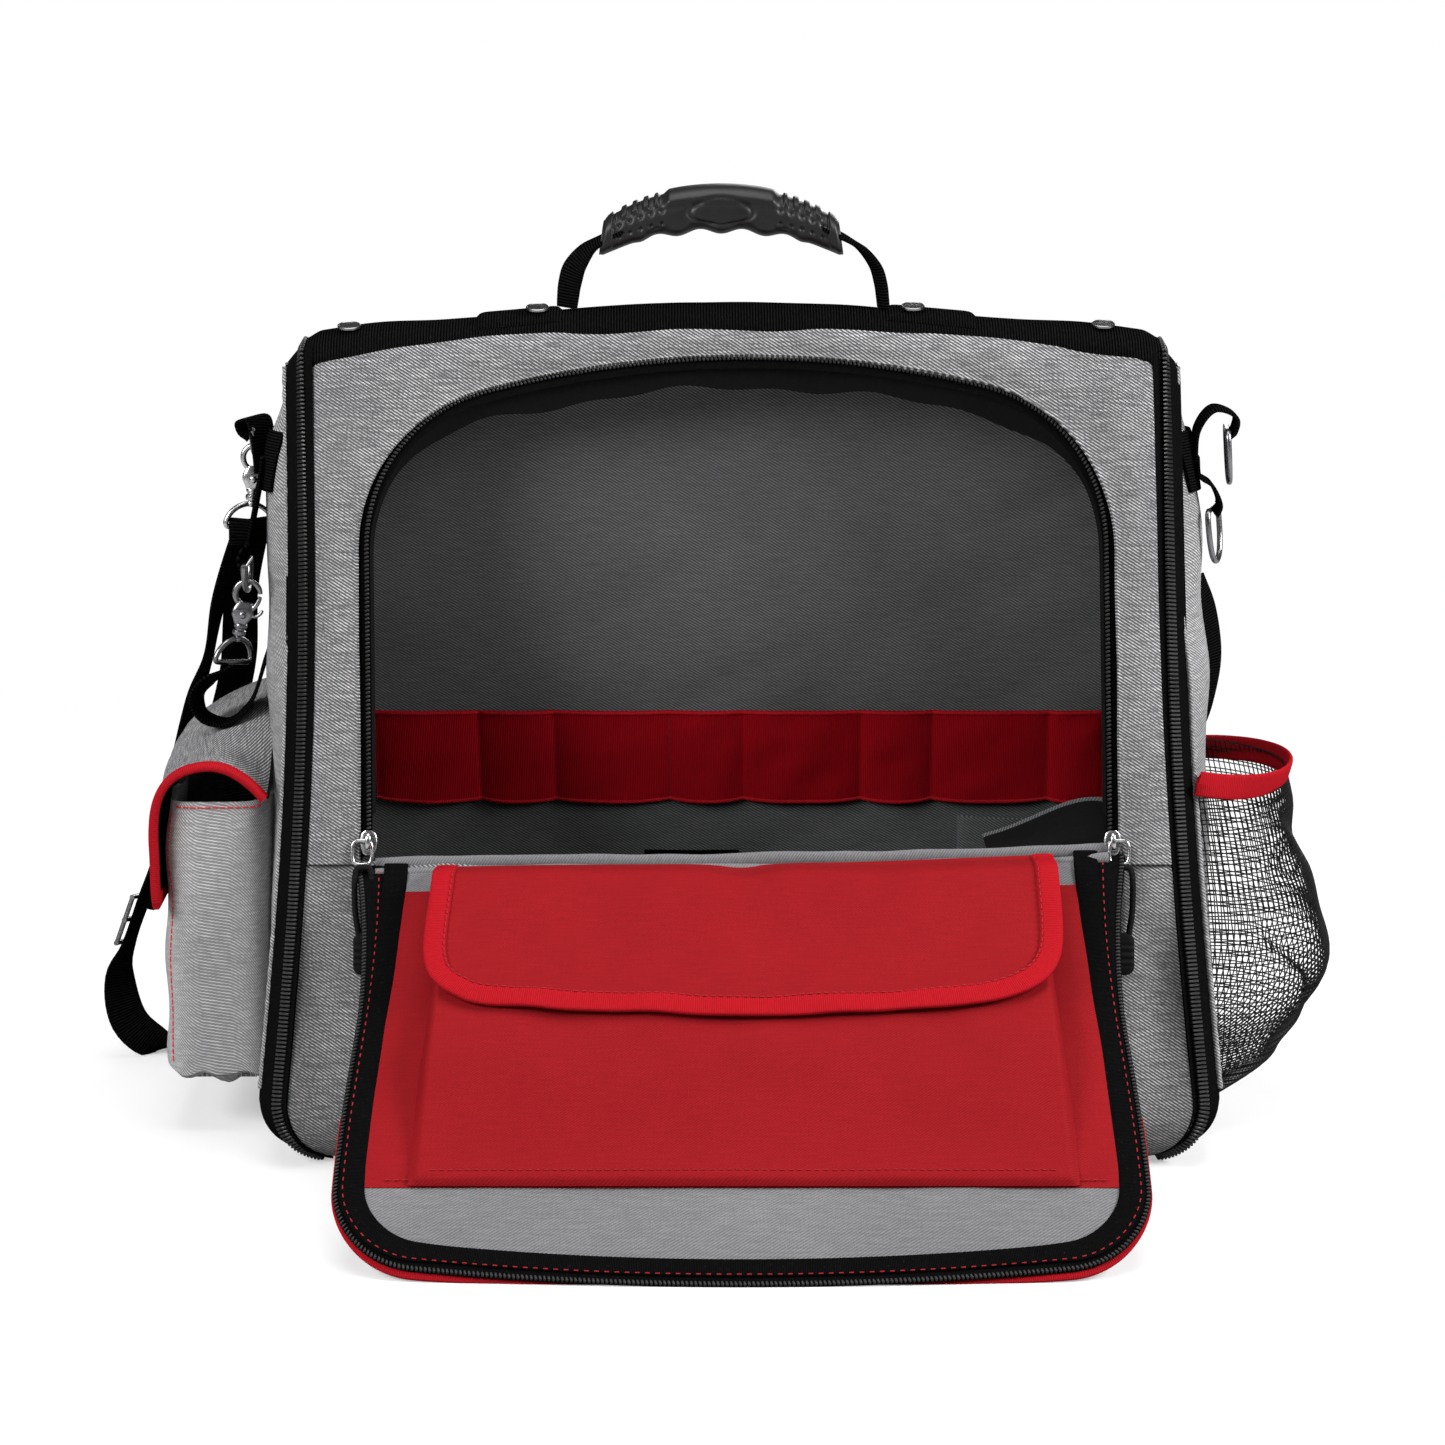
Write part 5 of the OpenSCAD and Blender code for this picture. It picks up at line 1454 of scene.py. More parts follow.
@dataclass
class Opening:
    """The panel's half of the door zip, its facing, and the cloth roll along the hinge."""

    pitch: float = 2.0
    tooth: tuple[float, float, float] = (1.25, 2.3, 2.0)

    def on_slope(self, line: Array, n: float) -> Array:
        """Points of a line on the front's slope, slumped with the panel."""
        return WEDGE.settle(WEDGE.front(line[:, 0], line[:, 1], np.full(len(line), n)))

    def build(self) -> None:
        """Model the tape, coil, facing and hinge roll."""
        self.tape()
        self.coil()
        self.facing()
        self.hinge_roll()

    def tape(self) -> None:
        """Tape that shows inside the panel's edge."""
        steps, start = 220, 154.2
        rails = np.array([self.on_slope(OPENING.line(i, start, steps + 1), n)
                          for i, n in ((-6.0, -4.2), (0.0, -3.4), (2.5, -2.6), (6.4, -2.9))])

        def place(u: Array, v: Array) -> Array:
            """Across the tape and along it."""
            return rails[np.rint(u * 3).astype(int), np.rint(v * steps).astype(int)]

        piece = close_up(lofted("opening_tape", 3, steps, place), False)
        dress(thicken(piece, 1.0, 0.0), TAPE, "bag", "opening_zip_tape")

    def coil(self) -> None:
        """Slanted coil turns along the tape's edge."""
        edge, deep = OPENING.line(1.4, 154.2, 1200), OPENING.line(4.8, 154.2, 1200)
        flat = edge + (deep - edge) * (1 - ease((edge[:, 1:] - 300) / 80))
        line = self.on_slope(flat, -1.2)
        at = even(line, int(run_of(line)[-1] / self.pitch))
        out = FRONT_OUT
        way = unit(np.gradient(at, axis=0))
        slant = way + 0.35 * unit(np.cross(out, way))
        dress(copied("opening_coil", bead(self.tooth, 0.3), at, slant, out), COIL, "bag", "opening_zip_coil")

    def facing(self) -> None:
        """Slack black cloth behind the arch, with a wavy free edge."""
        steps = 200

        def place(u: Array, v: Array) -> Array:
            """From the tape down to the free edge."""
            rails = []
            for share in np.unique(u):
                edge = OPENING.line(3.0, 175, steps + 1)
                wide = 4 + 8 * ease((edge[:, 1:] - 335) / 55)
                line = edge + (OPENING.line(13.0, 175, steps + 1) - edge) * wide / 10 * float(share)
                wave = 1.2 * np.sin(line[:, 0] / 17) + 0.9 * np.sin(line[:, 0] / 7.3 + 2)
                high = ease((line[:, 1] - 300) / 70)
                s = line[:, 1] - float(share) ** 2 * wave * high
                rails.append(WEDGE.settle(WEDGE.front(line[:, 0], s,
                                                      -4.8 - 7 * share - share * high * 0.8 * wave)))
            return np.array(rails)[np.searchsorted(np.unique(u), u), np.rint(v * steps).astype(int)]

        piece = close_up(lofted("opening_facing", 10, steps, place), False)
        dress(thicken(piece, 0.8, 0.0), FACING, "bag")

    def hinge_roll(self) -> None:
        """Two soft rolls of grey lining along the hinge, with a dark seam between them."""
        x = np.linspace(-178, 180, 200)
        along = (0.0, 0.0, 1.0)
        parts = []
        for wide, dy, dz, seed in ((7.5, 0.6, 1.6, 4), (5.5, -3.6, -1.6, 9)):
            line = DOOR.at(x, np.zeros(200), np.zeros(200))
            line[:, 1] += dy + 0.5 * folds(x, x * 0, 60, seed)
            line[:, 2] += dz + 0.5 * folds(x, x * 0, 80, seed + 1)
            swell = 1 + 0.08 * folds(x, x * 0, 30, seed + 2)
            parts.append(swept("roll", WEDGE.settle(line), along, oval(wide, 4.6, 14), swell))
        dress(joined("hinge_rolls", parts), PALE, "bag", "hinge_piping")


# Inside

@dataclass
class Inside:
    """The lining seen through the opening, and what is sewn to it."""

    stitch_x: tuple[float, ...] = (-188.0, -135.0, -96.0, -36.0, 2.0, 64.0, 101.0, 162.0, 190.0)

    def build(self) -> None:
        """Model the lining, the elastic strip, the hook strip and the slip pocket."""
        self.liner()
        self.elastic()
        self.hook_strip()
        self.slip_pocket()

    def back(self, x: Array, s: Array, n: Array) -> Array:
        """A point off the inside of the back, with n out of the bag."""
        return WEDGE.settle(WEDGE.front(x, s, n) * (1, -1, 1))

    def liner(self) -> None:
        """One sheet of lining: left end, back and right end."""
        def place(u: Array, v: Array) -> Array:
            """Round the inside and up to the ridge."""
            z = 8 + v * (WEDGE.height - 10)
            wide = WEDGE.seam_x(np.maximum(z, 20)) - 9
            deep = np.maximum(6.0, WEDGE.half_d(np.maximum(z, 12)) - 5.2)
            share = 2 * u - 1
            turn = np.clip((np.abs(share) - 0.62) / 0.38, 0, 1)
            x = np.sign(share) * np.minimum(np.abs(share) / 0.62, 1) * wide
            y = deep - turn * (2 * deep - 6)
            corner = hump(np.abs(share), 0.62, 0.035)
            x, y = x * (1 - 0.035 * corner), y - 6 * corner
            wave = 0.9 * folds(x + 2 * y, z, 85, 40) * (1 - corner)
            bend = np.where(turn > 0, 0.0, wave)
            return WEDGE.settle(np.stack([x - np.sign(share) * np.where(turn > 0, 1.0 + np.abs(wave), 0),
                                          y - np.abs(bend), z], 1))

        def cut(u: Array, v: Array, p: Array) -> Array:
            """Weave that runs level round the inside."""
            share = 2 * u - 1
            return np.stack([share / 0.62 * 210, p[:, 2]], 1)

        piece = close_up(lofted("inner_lining", 150, 90, place, cut), False)
        liner = dress(thicken(piece, 0.8, 0.0), LINING, "bag", "back_lining")

    def elastic(self) -> None:
        """Red elastic sewn down at intervals, so that it stands off as loops between."""
        marks = np.array(self.stitch_x)

        def loop(x: Array) -> Array:
            """How far the elastic stands off: nothing at a seam, most between two."""
            k = np.clip(np.searchsorted(marks, x) - 1, 0, len(marks) - 2)
            share = np.clip((x - marks[k]) / (marks[k + 1] - marks[k]), 0, 1)
            return np.sin(math.pi * share) ** 0.6

        def place(u: Array, v: Array) -> Array:
            """Along the back and up the strip."""
            x = -190 + 382 * u
            bulge = loop(x)
            s = 147 + 52 * v - 1.5 * bulge * (1 - v) + 0.6 * bulge * v
            return self.back(x, s, -6.6 - 2.4 * bulge - 0.4 * folds(x, s, 25, 14) * bulge)

        piece = close_up(lofted("elastic_strip", 300, 16, place, lambda u, v,
                                p: np.stack([v * 55, u * 382], 1)), False)
        strip = dress(thicken(piece, 1.2, 0.0), ELASTIC, "bag", "tool_loop_strip")
        u = np.linspace(0, 1, 300)
        edges = []
        for v in (0.02, 0.98):
            line = place(u, np.full(300, v))
            line[:, 1] -= 0.7
            edges.append(swept("edge", line, (0.0, 0.0, 1.0), oval(1.8, 1.0, 8)))
        hems = dress(joined("elastic_edges", edges), TRIM, "bag")
        rows = []
        for x in marks[1:-1]:
            v = np.linspace(0.02, 0.98, 40)
            line = place(np.full(40, (x + 190) / 382), v)
            rows.append(stitches("row", line, (0.0, -1.0, 0.2), 3.2, 1.0, 1.1))
        seams = dress(joined("elastic_seams", rows), BLACK_SEAM, "bag")

    def hook_strip(self) -> None:
        """A short black fastening strip low on the back lining."""
        def place(u: Array, v: Array) -> Array:
            """A flat strip, slightly bowed."""
            x = -50 + 50 * u
            return self.back(x, 104 + 12 * v, -6.4 - 0.8 * np.sin(math.pi * u))

        dress(thicken(lofted("hook_strip", 40, 8, place), 1.6, 0.0), EDGING, "bag")

    def slip_pocket(self) -> None:
        """The slip pocket at the right, and its black mouth with a pale edge."""
        def flat(u: Array, v: Array) -> Array:
            """Pocket sewn to the back."""
            x, s = 115.7 + 70 * u, 63 + 74 * v
            return self.back(x, s, -6.4 - 4.0 * np.sin(math.pi * u) ** 0.6 * (0.4 + 0.6 * v))

        piece = close_up(lofted("slip_pocket", 30, 30, flat), False)
        slip = dress(thicken(piece, 1.2, 0.0), LINING, "bag", "inner_pocket")

        def mouth(u: Array, v: Array) -> Array:
            """A slack lens of black cloth between the hinge and the right end."""
            x = 122 + 59 * u
            low = 146 + 3.0 * u
            high = low + 18 * ease(u * 1.1) ** 0.9 * (0.6 + 0.4
                                                      * u) + 3 * np.sin(math.pi * np.clip(u, 0, 1)) ** 0.6
            z = low + (high - low) * v
            return np.stack([x, -52 + 24 * v - 6 * np.sin(math.pi * v) - 10 * u, z], 1)

        piece = close_up(lofted("slip_mouth", 40, 20, mouth), False)
        cloth = dress(thicken(piece, 1.2, 0.0), FACING, "bag")
        u = np.linspace(0, 1, 60)
        line = mouth(u, np.full(60, 1.0))
        hem = dress(swept("slip_mouth_edge", line, (0.0, 0.3, 1.0), oval(4.2, 1.6, 8, 0.7)), LINING, "bag")


# Door

def door_at(x: Array, u: Array, n: Array) -> Array:
    """A point off the door, whose sides draw in towards the hinge."""
    return DOOR.at(np.asarray(x, float) * (0.97 + 0.06 * ease(np.asarray(u, float) / 200)), u, n)


DOOR_UP = unit(DOOR.at(0.0, 0.0, -1.0) - DOOR.at(0.0, 0.0, 0.0))


@dataclass
class Door:
    """The drop-down door: outer cloth, padded lining, edge binding, zip and pockets."""

    flare: float = 12.0
    pitch: float = 2.0
    tooth: tuple[float, float, float] = (1.25, 2.3, 2.0)
    pocket_left: float = -148.0
    pocket_right: float = 150.0
    pocket_foot: float = 191.0
    pocket_deep: float = 15.0

    def build(self) -> None:
        """Model every layer from the outer face up."""
        outer = self.sheet("door_outer_cloth", 16.0, 3.0, 2.0, 1.4, RED, "door_outer")
        self.sheet("door_lining_cloth", 15.6, 3.0, -1.3, 1.4, PALE, "door_lining")
        self.binding()
        self.zip()
        self.flat_pocket()
        self.box_pocket()

    def sheet(self, name: str, inset: float, start: float, n: float, thick: float, coat: Coat,
              node: str) -> Piece:
        """A sheet cut to the door's outline.

        Args:
            name: Name of the piece.
            inset: Distance in from the opening's line.
            start: Distance of its straight edge from the hinge.
            n: Height of its middle, out of the lower face.
            thick: Thickness.
            coat: Its finish.
            node: The solid that it stands for.

        Returns:
            The dressed sheet.
        """
        wide = DOOR_EDGE.half - inset

        def flat(u: Array, v: Array) -> tuple[Array, Array]:
            """Across, and away from the hinge."""
            x = wide * np.sin((2 * u - 1) * math.pi / 2)
            end = DOOR_EDGE.top(x, inset) - WEDGE.hinge_slant
            return x, start + (end - start) * v

        def place(u: Array, v: Array) -> Array:
            """The sheet with a little quilted puff."""
            x, w = flat(u, v)
            edge = ease(np.minimum(v * 12, (1 - v) * 12)) * ease((1 - np.abs(2 * u - 1)) * 12)
            return door_at(x, w, n - (0.7 + 0.5 * folds(x, w, 45, 17)) * edge * (1 if n < 0 else -0.6))

        piece = lofted(name, 90, 70, place, laid_as(flat))
        close_up(piece, False)
        return dress(thicken(piece, thick, 0.0), coat, "door", node)

    def _line(self, inset: float, start: float, n: float, steps: int) -> Array:
        """A line that runs round the door's edge."""
        line = DOOR_EDGE.line(inset, WEDGE.hinge_slant + start, steps)
        return door_at(line[:, 0], line[:, 1] - WEDGE.hinge_slant, np.full(steps, n))

    def _drawn(self, line: Array, share: float) -> Array:
        """Draw a line's two ends out towards the sliders, as the zip pulls the soft edge."""
        far = np.hypot(line[:, 1] - DOOR.hinge_y, line[:, 2] - DOOR.hinge_z)
        pull = self.flare * share * np.maximum(0, 1 - far / 100) ** 1.5
        return line + np.stack([np.sign(line[:, 0]) * pull, 0 * pull, 0 * pull], 1)

    def _across(self, line: Array) -> Array:
        """Direction in the door's plane, square to a line."""
        return np.cross(DOOR_UP, unit(np.gradient(line, axis=0)))

    def binding(self) -> None:
        """Black binding round the edge, sewn with red thread along its outer side."""
        line = self._line(18.6, 0.0, -2.7, 260)
        narrow = np.stack([1 - 0.24 * ease((170 - np.abs(line[:, 0])) / 40), np.ones(260)], 1)
        piece = swept("door_edge_binding", line, self._across(line), oval(11.8, 2.4, 16, 0.45), narrow)
        dress(piece, EDGING, "door", "door_binding")
        seam = self._drawn(self._line(14.6, 4.0, -4.0, 500), 0.4)
        row = stitches("door_edge_stitches", seam, DOOR_UP, 2.2, 2.4, 0.6)
        dress(row, DARK_SEAM, "door")

    def zip(self) -> None:
        """Tape and coil round the door's edge, with a red rim along them."""
        steps = 240
        rails = np.array([self._drawn(self._line(i, -3.0, n, steps + 1), share)
                          for i, n, share in ((17.5, -1.4, 0.0), (14.5, -1.9, 0.45), (10.0, -0.4, 1.0))])

        def place(u: Array, v: Array) -> Array:
            """Across the tape and along it."""
            return rails[np.rint(u * 2).astype(int), np.rint(v * steps).astype(int)]

        tape = close_up(lofted("door_tape", 2, steps, place), False)
        dress(thicken(tape, 0.9, 0.0), TAPE, "door")
        line = self._drawn(self._line(11.2, -7.0, -1.3, 1200), 0.95)
        at = even(line, int(run_of(line)[-1] / self.pitch))
        way = unit(np.gradient(at, axis=0))
        slant = way + 0.35 * self._across(at)
        coil = copied("door_coil", bead(self.tooth, 0.3), at, slant, DOOR_UP)
        dress(coil, DULL_COIL, "door", "door_zip_coil")
        rim = self._line(11.2, 150.0, 2.2, 220)
        ends = (0.4 + 0.6 * hump(np.abs(rim[:, 0]), 148, 34))[:, None] * np.ones(2)
        dress(swept("door_rim", rim, self._across(rim), oval(7.6, 4.0, 12, 0.8), ends), TRIM, "door")

    def flat_pocket(self) -> None:
        """The flat red pocket that lies under the box pocket."""
        def flat(u: Array, v: Array) -> tuple[Array, Array]:
            """Across, and away from the hinge."""
            return (2 * u - 1) * 170.5 + 0.5, 19 + (191.5 - 19) * v

        def place(u: Array, v: Array) -> Array:
            """Cloth with a soft pull across it."""
            x, w = flat(u, v)
            edge = ease(np.minimum(v, 1 - v) * 14) * ease((1 - np.abs(2 * u - 1)) * 20)
            return door_at(x, w, -2.6 - (1.2 + 0.6 * folds(x, w, 52, 23)) * edge)

        piece = close_up(lofted("flat_pocket_cloth", 90, 50, place, laid_as(flat)), False)
        cloth = dress(thicken(piece, 1.3, 0.0), RED, "door", "door_flat_pocket")
        x = np.linspace(-160, 163, 300)
        hem = door_at(x, np.full(300, 188.0), np.full(300, -4.2))
        dress(stitches("flat_pocket_stitches", hem, DOOR_UP, 2.6, 1.4), DARK_SEAM, "door")

    def pocket_height(self, x: Array, w: Array) -> Array:
        """How far the box pocket stands up above the flat one.

        Args:
            x: Place across.
            w: Distance from the hinge.

        Returns:
            The heights.
        """
        middle, half = (self.pocket_left + self.pocket_right) / 2, (self.pocket_right - self.pocket_left) / 2
        side = ease((half - np.abs(x - middle)) / 5 + 0.02) ** 0.6
        fall = 1 - 0.8 * ease((w - 108) / (self.pocket_foot - 108))
        head = ease((w - 20) / 7 + 0.02) ** 0.7
        foot = ease((self.pocket_foot - w) / 3 + 0.02) ** 0.6
        soft = 1 + 0.05 * folds(x, w, 70, 29) + 0.035 * folds(x, w, 33, 30)
        slack = 1 + 0.1 * np.sin(math.pi * np.clip((x - self.pocket_left) / (2 * half), 0, 1))
        return self.pocket_deep * side * fall * head * foot * soft * slack

    def box_pocket(self) -> None:
        """The box pocket, deep at its mouth and flat at its foot."""
        def flat(u: Array, v: Array) -> tuple[Array, Array]:
            """Across, and away from the hinge, with more rows where it is steep."""
            share = u - 0.045 * np.sin(2 * math.pi * (2 * u)) * (np.abs(2 * u - 1) > 0.5)
            x = self.pocket_left + (self.pocket_right - self.pocket_left) * share
            return x, 20 + (self.pocket_foot - 20) * v

        def place(u: Array, v: Array) -> Array:
            """Cloth over what the pocket holds."""
            x, w = flat(u, v)
            return door_at(x, w, -4.0 - self.pocket_height(x, w))

        piece = lofted("box_pocket_cloth", 200, 110, place, laid_as(flat))
        close_up(piece, False)
        dress(thicken(piece, 1.2, 0.0), RED, "door", "door_box_pocket")
        x = np.linspace(self.pocket_left + 8, self.pocket_right - 8, 300)
        w = np.full(300, self.pocket_foot - 6.0)
        hem = door_at(x, w, -4.7 - self.pocket_height(x, w))
        dress(stitches("box_pocket_stitches", hem, DOOR_UP, 2.6, 1.4), DARK_SEAM, "door")


FLAP_BEND = Crossing("door", tuple(door_at(0.0, 5.0, -3.0)), tuple(door_at(0.0, 27.0, -3.0)))


@dataclass
class PocketFlap:
    """The flap over the box pocket, with a wide red binding."""

    door: Door
    edge: tuple[tuple[float, float], ...] = (
        (-152, 30), (-152.4, 58), (-151, 74), (-146, 87), (-135, 96), (-117, 102), (-60, 107), (0, 109),
        (60, 107), (100, 103.5), (123, 99), (141, 90), (151, 76), (155, 57), (156, 25))
    binding_wide: float = 11.0

    def _height(self, x: Array, w: Array) -> Array:
        """How high the flap lies: rolled down to its root, dented in the middle, resting on the pocket."""
        rest = 1.4 + np.maximum(self.door.pocket_height(np.clip(x, -142, 144), np.maximum(w, 34)), 12)
        root = ease((w - 3) / 22) ** 0.75
        dent = 5.0 * hump(x, 0, 16) * hump(w, 16, 14) + 1.5 * hump(x, 60, 40) * hump(w, 14, 12)
        lip = 0.8 * folds(x, w, 58, 37) * ease(w / 60) + 2.6 * ease((w - 66) / 34)
        return 3.0 + rest * root - dent + lip

    def build(self) -> None:
        """Model the flap, its binding and its stitches."""
        rim = path_of(self.edge, 160)

        def flat(u: Array, v: Array) -> tuple[Array, Array]:
            """Across, and away from the hinge, out to the rounded edge."""
            x = np.interp(u, np.linspace(0, 1, 160), rim[:, 0])
            end = np.interp(u, np.linspace(0, 1, 160), rim[:, 1])
            top = 6.5 - 5 * u
            return x, top + (end - top) * v

        def place(u: Array, v: Array) -> Array:
            """The flap's cloth."""
            x, w = flat(u, v)
            return door_at(x, w, -self._height(x, w) - 0.8)

        piece = lofted("flap_cloth", 159, 44, place, laid_as(flat))
        close_up(piece, False)
        cloth = dress(thicken(piece, 1.6, 0.0), RED, "door_pocket_flap", "door_flap", over=FLAP_BEND)
        whole = path_of([(-151.6, 7)] + list(self.edge) + [(156, 3)], 260)
        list(self._trim(whole))

    def _trim(self, whole: Array) -> tuple[Piece, Piece]:
        """Bind the flap's free edges.

        Args:
            whole: The edge from the left root to the right root, on the door's plane.

        Returns:
            The binding and its stitches.
        """
        inward = np.stack([-np.gradient(whole[:, 1]), np.gradient(whole[:, 0])], 1)
        inward = unit(inward) * (1 if inward[130, 1] < 0 else -1)
        mid = whole + inward * (self.binding_wide / 2 - 1.0)
        inner = whole + inward * (self.binding_wide - 2.0)

        def lie(line: Array, lift: float) -> Array:
            """A line laid on the flap."""
            return door_at(line[:, 0], line[:, 1], -self._height(line[:, 0], line[:, 1]) - lift)

        path = lie(mid, 1.5)
        across = unit(lie(whole, 1.5) - lie(inner, 1.5))
        piece = swept("flap_edge_binding", path, across, oval(self.binding_wide, 3.2, 18, 0.5))
        binding = dress(piece, TRIM, "door_pocket_flap", "door_flap_binding", over=FLAP_BEND)
        seam = lie(inner, 3.0)
        row = stitches("flap_stitches", even(seam, 400), DOOR_UP, 2.6, 1.2, 0.7)
        return binding, dress(row, DARK_SEAM, "door_pocket_flap", over=FLAP_BEND)


# Zip pulls

@dataclass
class Pulls:
    """The cord loop and moulded tab on each of the door's two sliders."""

    across: tuple[float, float] = (-184.0, 187.0)
    out: float = 3.6
    top: float = 148.9
    long: float = 33.0
    gap: float = 8.0
    cord: float = 3.0
    tab: tuple[float, float, float] = (11.0, 21.0, 3.6)

    def build(self) -> None:
        """Model one pull for each side."""
        for side, word in ((-1, "left"), (1, "right")):
            self.pull(side, word)

    def pull(self, side: int, word: str) -> None:
        """One loop of cord that ends in a ribbed tab.

        Args:
            side: -1 for the left and 1 for the right.
            word: The side's name.
        """
        x0, half, low = self.across[side > 0], self.gap / 2, self.top - self.long
        flat = [(-1.5, low - 6), (-2.6, low + 2), (-half, low + 12), (-half - 0.3, self.top - 8),
                (-half + 0.6, self.top - 1.2),
                (0, self.top + 0.2), (half - 0.6, self.top - 1.2), (half + 0.3, self.top - 8),
                (half, low + 12), (2.6, low + 2), (1.5, low - 6)]
        line = path_of(flat, 120)
        path = WEDGE.front(x0 + line[:, 0], line[:, 1], np.full(120, self.out))
        across = FRONT_OUT
        twist = 1 + 0.07 * np.sin(np.arange(120) * 1.7)
        loop = swept("loop", path, across, oval(self.cord, self.cord, 10), twist)
        dress(loop, CORD, word + "_pull", word + "_pull_cord")
        loop.name = word + "_cord_loop"
        wide, long, thick = self.tab

        def place(u: Array, v: Array) -> Array:
            """A moulded tab: waisted, ribbed across its middle, round at its ends."""
            t = u * 2 * math.pi
            end = np.sqrt(np.clip(1 - np.abs(2 * v - 1) ** 5, 0, 1))
            grip = 0.35 * np.sin(v * 2 * math.pi * 6) * ease((v - 0.2) * 8) * ease((0.85 - v) * 8)
            px = squarish(np.cos(t), 0.5) * wide / 2 * end * (0.9 + 0.1 * (2 * v - 1) ** 2)
            pn = squarish(np.sin(t), 0.6) * (thick / 2 * end ** 0.6 + grip)
            return WEDGE.front(x0 + px, low + 1.5 - long * v, self.out + pn)

        piece = close_up(lofted(word + "_pull_tab", 36, 70, place), True)
        dress(piece, CORD, word + "_pull")


# Left end

@dataclass
class LeftPocket:
    """The pocket on the left end, and the flap that hangs over its mouth."""

    middle: float = -261.6
    half_out: float = 23.0
    inward: float = 30.0
    half_wide: float = 58.0
    low: float = 25.0
    high: float = 172.0
    bend: Crossing = Crossing("bag", (-234.0, 0.0, 198.0), (-254.0, 0.0, 198.0))

    def build(self) -> None:
        """Model the pocket, its stitches, the flap and the flap's binding."""
        self.sack()
        self.flap()

    def _wall(self, u: Array, v: Array) -> Array:
        """Round the pocket and up it."""
        t = u * 2 * math.pi
        x, y = squarish(np.cos(t), 0.4), squarish(np.sin(t), 0.4)
        z = self.low + (self.high - self.low) * v
        belly = np.sin(math.pi * np.clip(v, 0, 1)) ** 0.8
        draw = 1 - 0.5 * ease((0.05 - v) / 0.05)
        deep = np.where(x > 0, self.inward, self.half_out + 4.5 * (1 - v))
        px = self.middle + deep * x * draw - 1.5 * belly * np.maximum(0, -x)
        py = self.half_wide * y * (0.55 + 0.45 * draw) + np.sign(y) * 1.2 * belly * np.abs(y)
        soft = 1.1 * folds(px + py, z, 44, 51) * ease(v * 5) * np.maximum(0, -x + 0.6)
        hem = 1.8 * np.sin(px / 3.1) * ease((0.12 - v) / 0.1)
        dip = -3.0 * v ** 6 * np.cos(math.pi * y / 2) * np.maximum(0, -x)
        return np.stack([px - soft, py - np.sign(y) * soft * 0.4, z + hem + dip], 1)

    def sack(self) -> None:
        """The pocket's cloth, with red stitching and bar tacks on its front."""
        piece = lofted("left_pocket_cloth", 160, 80, self._wall,
                       lambda u, v, p: np.stack([u * 300, v * 144], 1))
        close_up(piece, False)
        # Painted light: the pocket wears a brighter copy of the front's twill for the light that falls on it
        # from the left.
        dress(thicken(piece, 2.0, -1.0), POUCH_PAINTED_BRIGHTER, "bag", "left_pocket")
        floor = lofted("left_pocket_floor", 20, 20, self._floor)
        # Painted light: the floor takes the same brighter, lit copy of the twill.
        dress(thicken(floor, 1.5, 0.0), POUCH_PAINTED_BRIGHTER, "bag")
        rows = []
        for u0, u1, v0, v1 in ((0.87, 0.66, 0.982, 0.982), (0.655, 0.655, 0.97, 0.08)):
            share = np.linspace(0, 1, 120)
            u, v = u0 + (u1 - u0) * share, v0 + (v1 - v0) * share
            line = self._wall(u, v)
            out = np.sign(line) * (0, 1, 0) + (1e-6, 0, 0)
            rows.append(stitches("row", line, out, 3.0, 0.7, 0.8))
        for u0, v0 in ((0.66, 0.95), (0.66, 0.93), (0.66, 0.1)):
            line = self._wall(np.linspace(u0, u0 + 0.012, 20), np.full(20, v0))
            rows.append(stitches("tack", even(line, 20), (0.0, -1.0, 0.0), 1.2, 0.1, 1.4))
        dress(joined("left_pocket_stitches", rows), RED_SEAM, "bag")

    def _floor(self, u: Array, v: Array) -> Array:
        """The pocket's sagging floor."""
        x, y = 2 * u - 1, 2 * v - 1
        z = self.low + 4 - 3 * (1 - x ** 2) * (1 - y ** 2)
        return np.stack([self.middle + self.half_out * 0.82 * x, self.half_wide * 0.88 * y, z], 1)

    def _profile(self, steps: int) -> tuple[Array, Array]:
        """The flap's side views at its front and back edges, from the root over the crest and down."""
        front = [(-234.0, 175), (-243, 184), (-256, 191), (-270, 189.5), (-281, 183), (-287, 173),
                 (-289, 158), (-289, 140), (-288.5, 123)]
        back = [(-234.0, 209), (-244, 208), (-258, 203), (-272, 196), (-283, 188), (-289.5, 177),
                (-291, 160), (-290.6, 140), (-289.6, 121)]
        return path_of(front, steps), path_of(back, steps)

    def flap(self) -> None:
        """The flap: grey outside, dark inside, bound in red along three edges."""
        front, back = self._profile(61)

        def place(u: Array, v: Array) -> Array:
            """Along the end and over the crest."""
            i = np.rint(v * 60).astype(int)
            y = (2 * u - 1) * 62
            side = front[i] + (back[i] - front[i]) * ease(u * 1.6)[:, None]
            wave = 1.4 * folds(y, v * 150, 55, 61) * np.sin(math.pi * v)
            return np.stack([side[:, 0] - wave * v, y, side[:, 1] + wave * (1 - v)], 1)

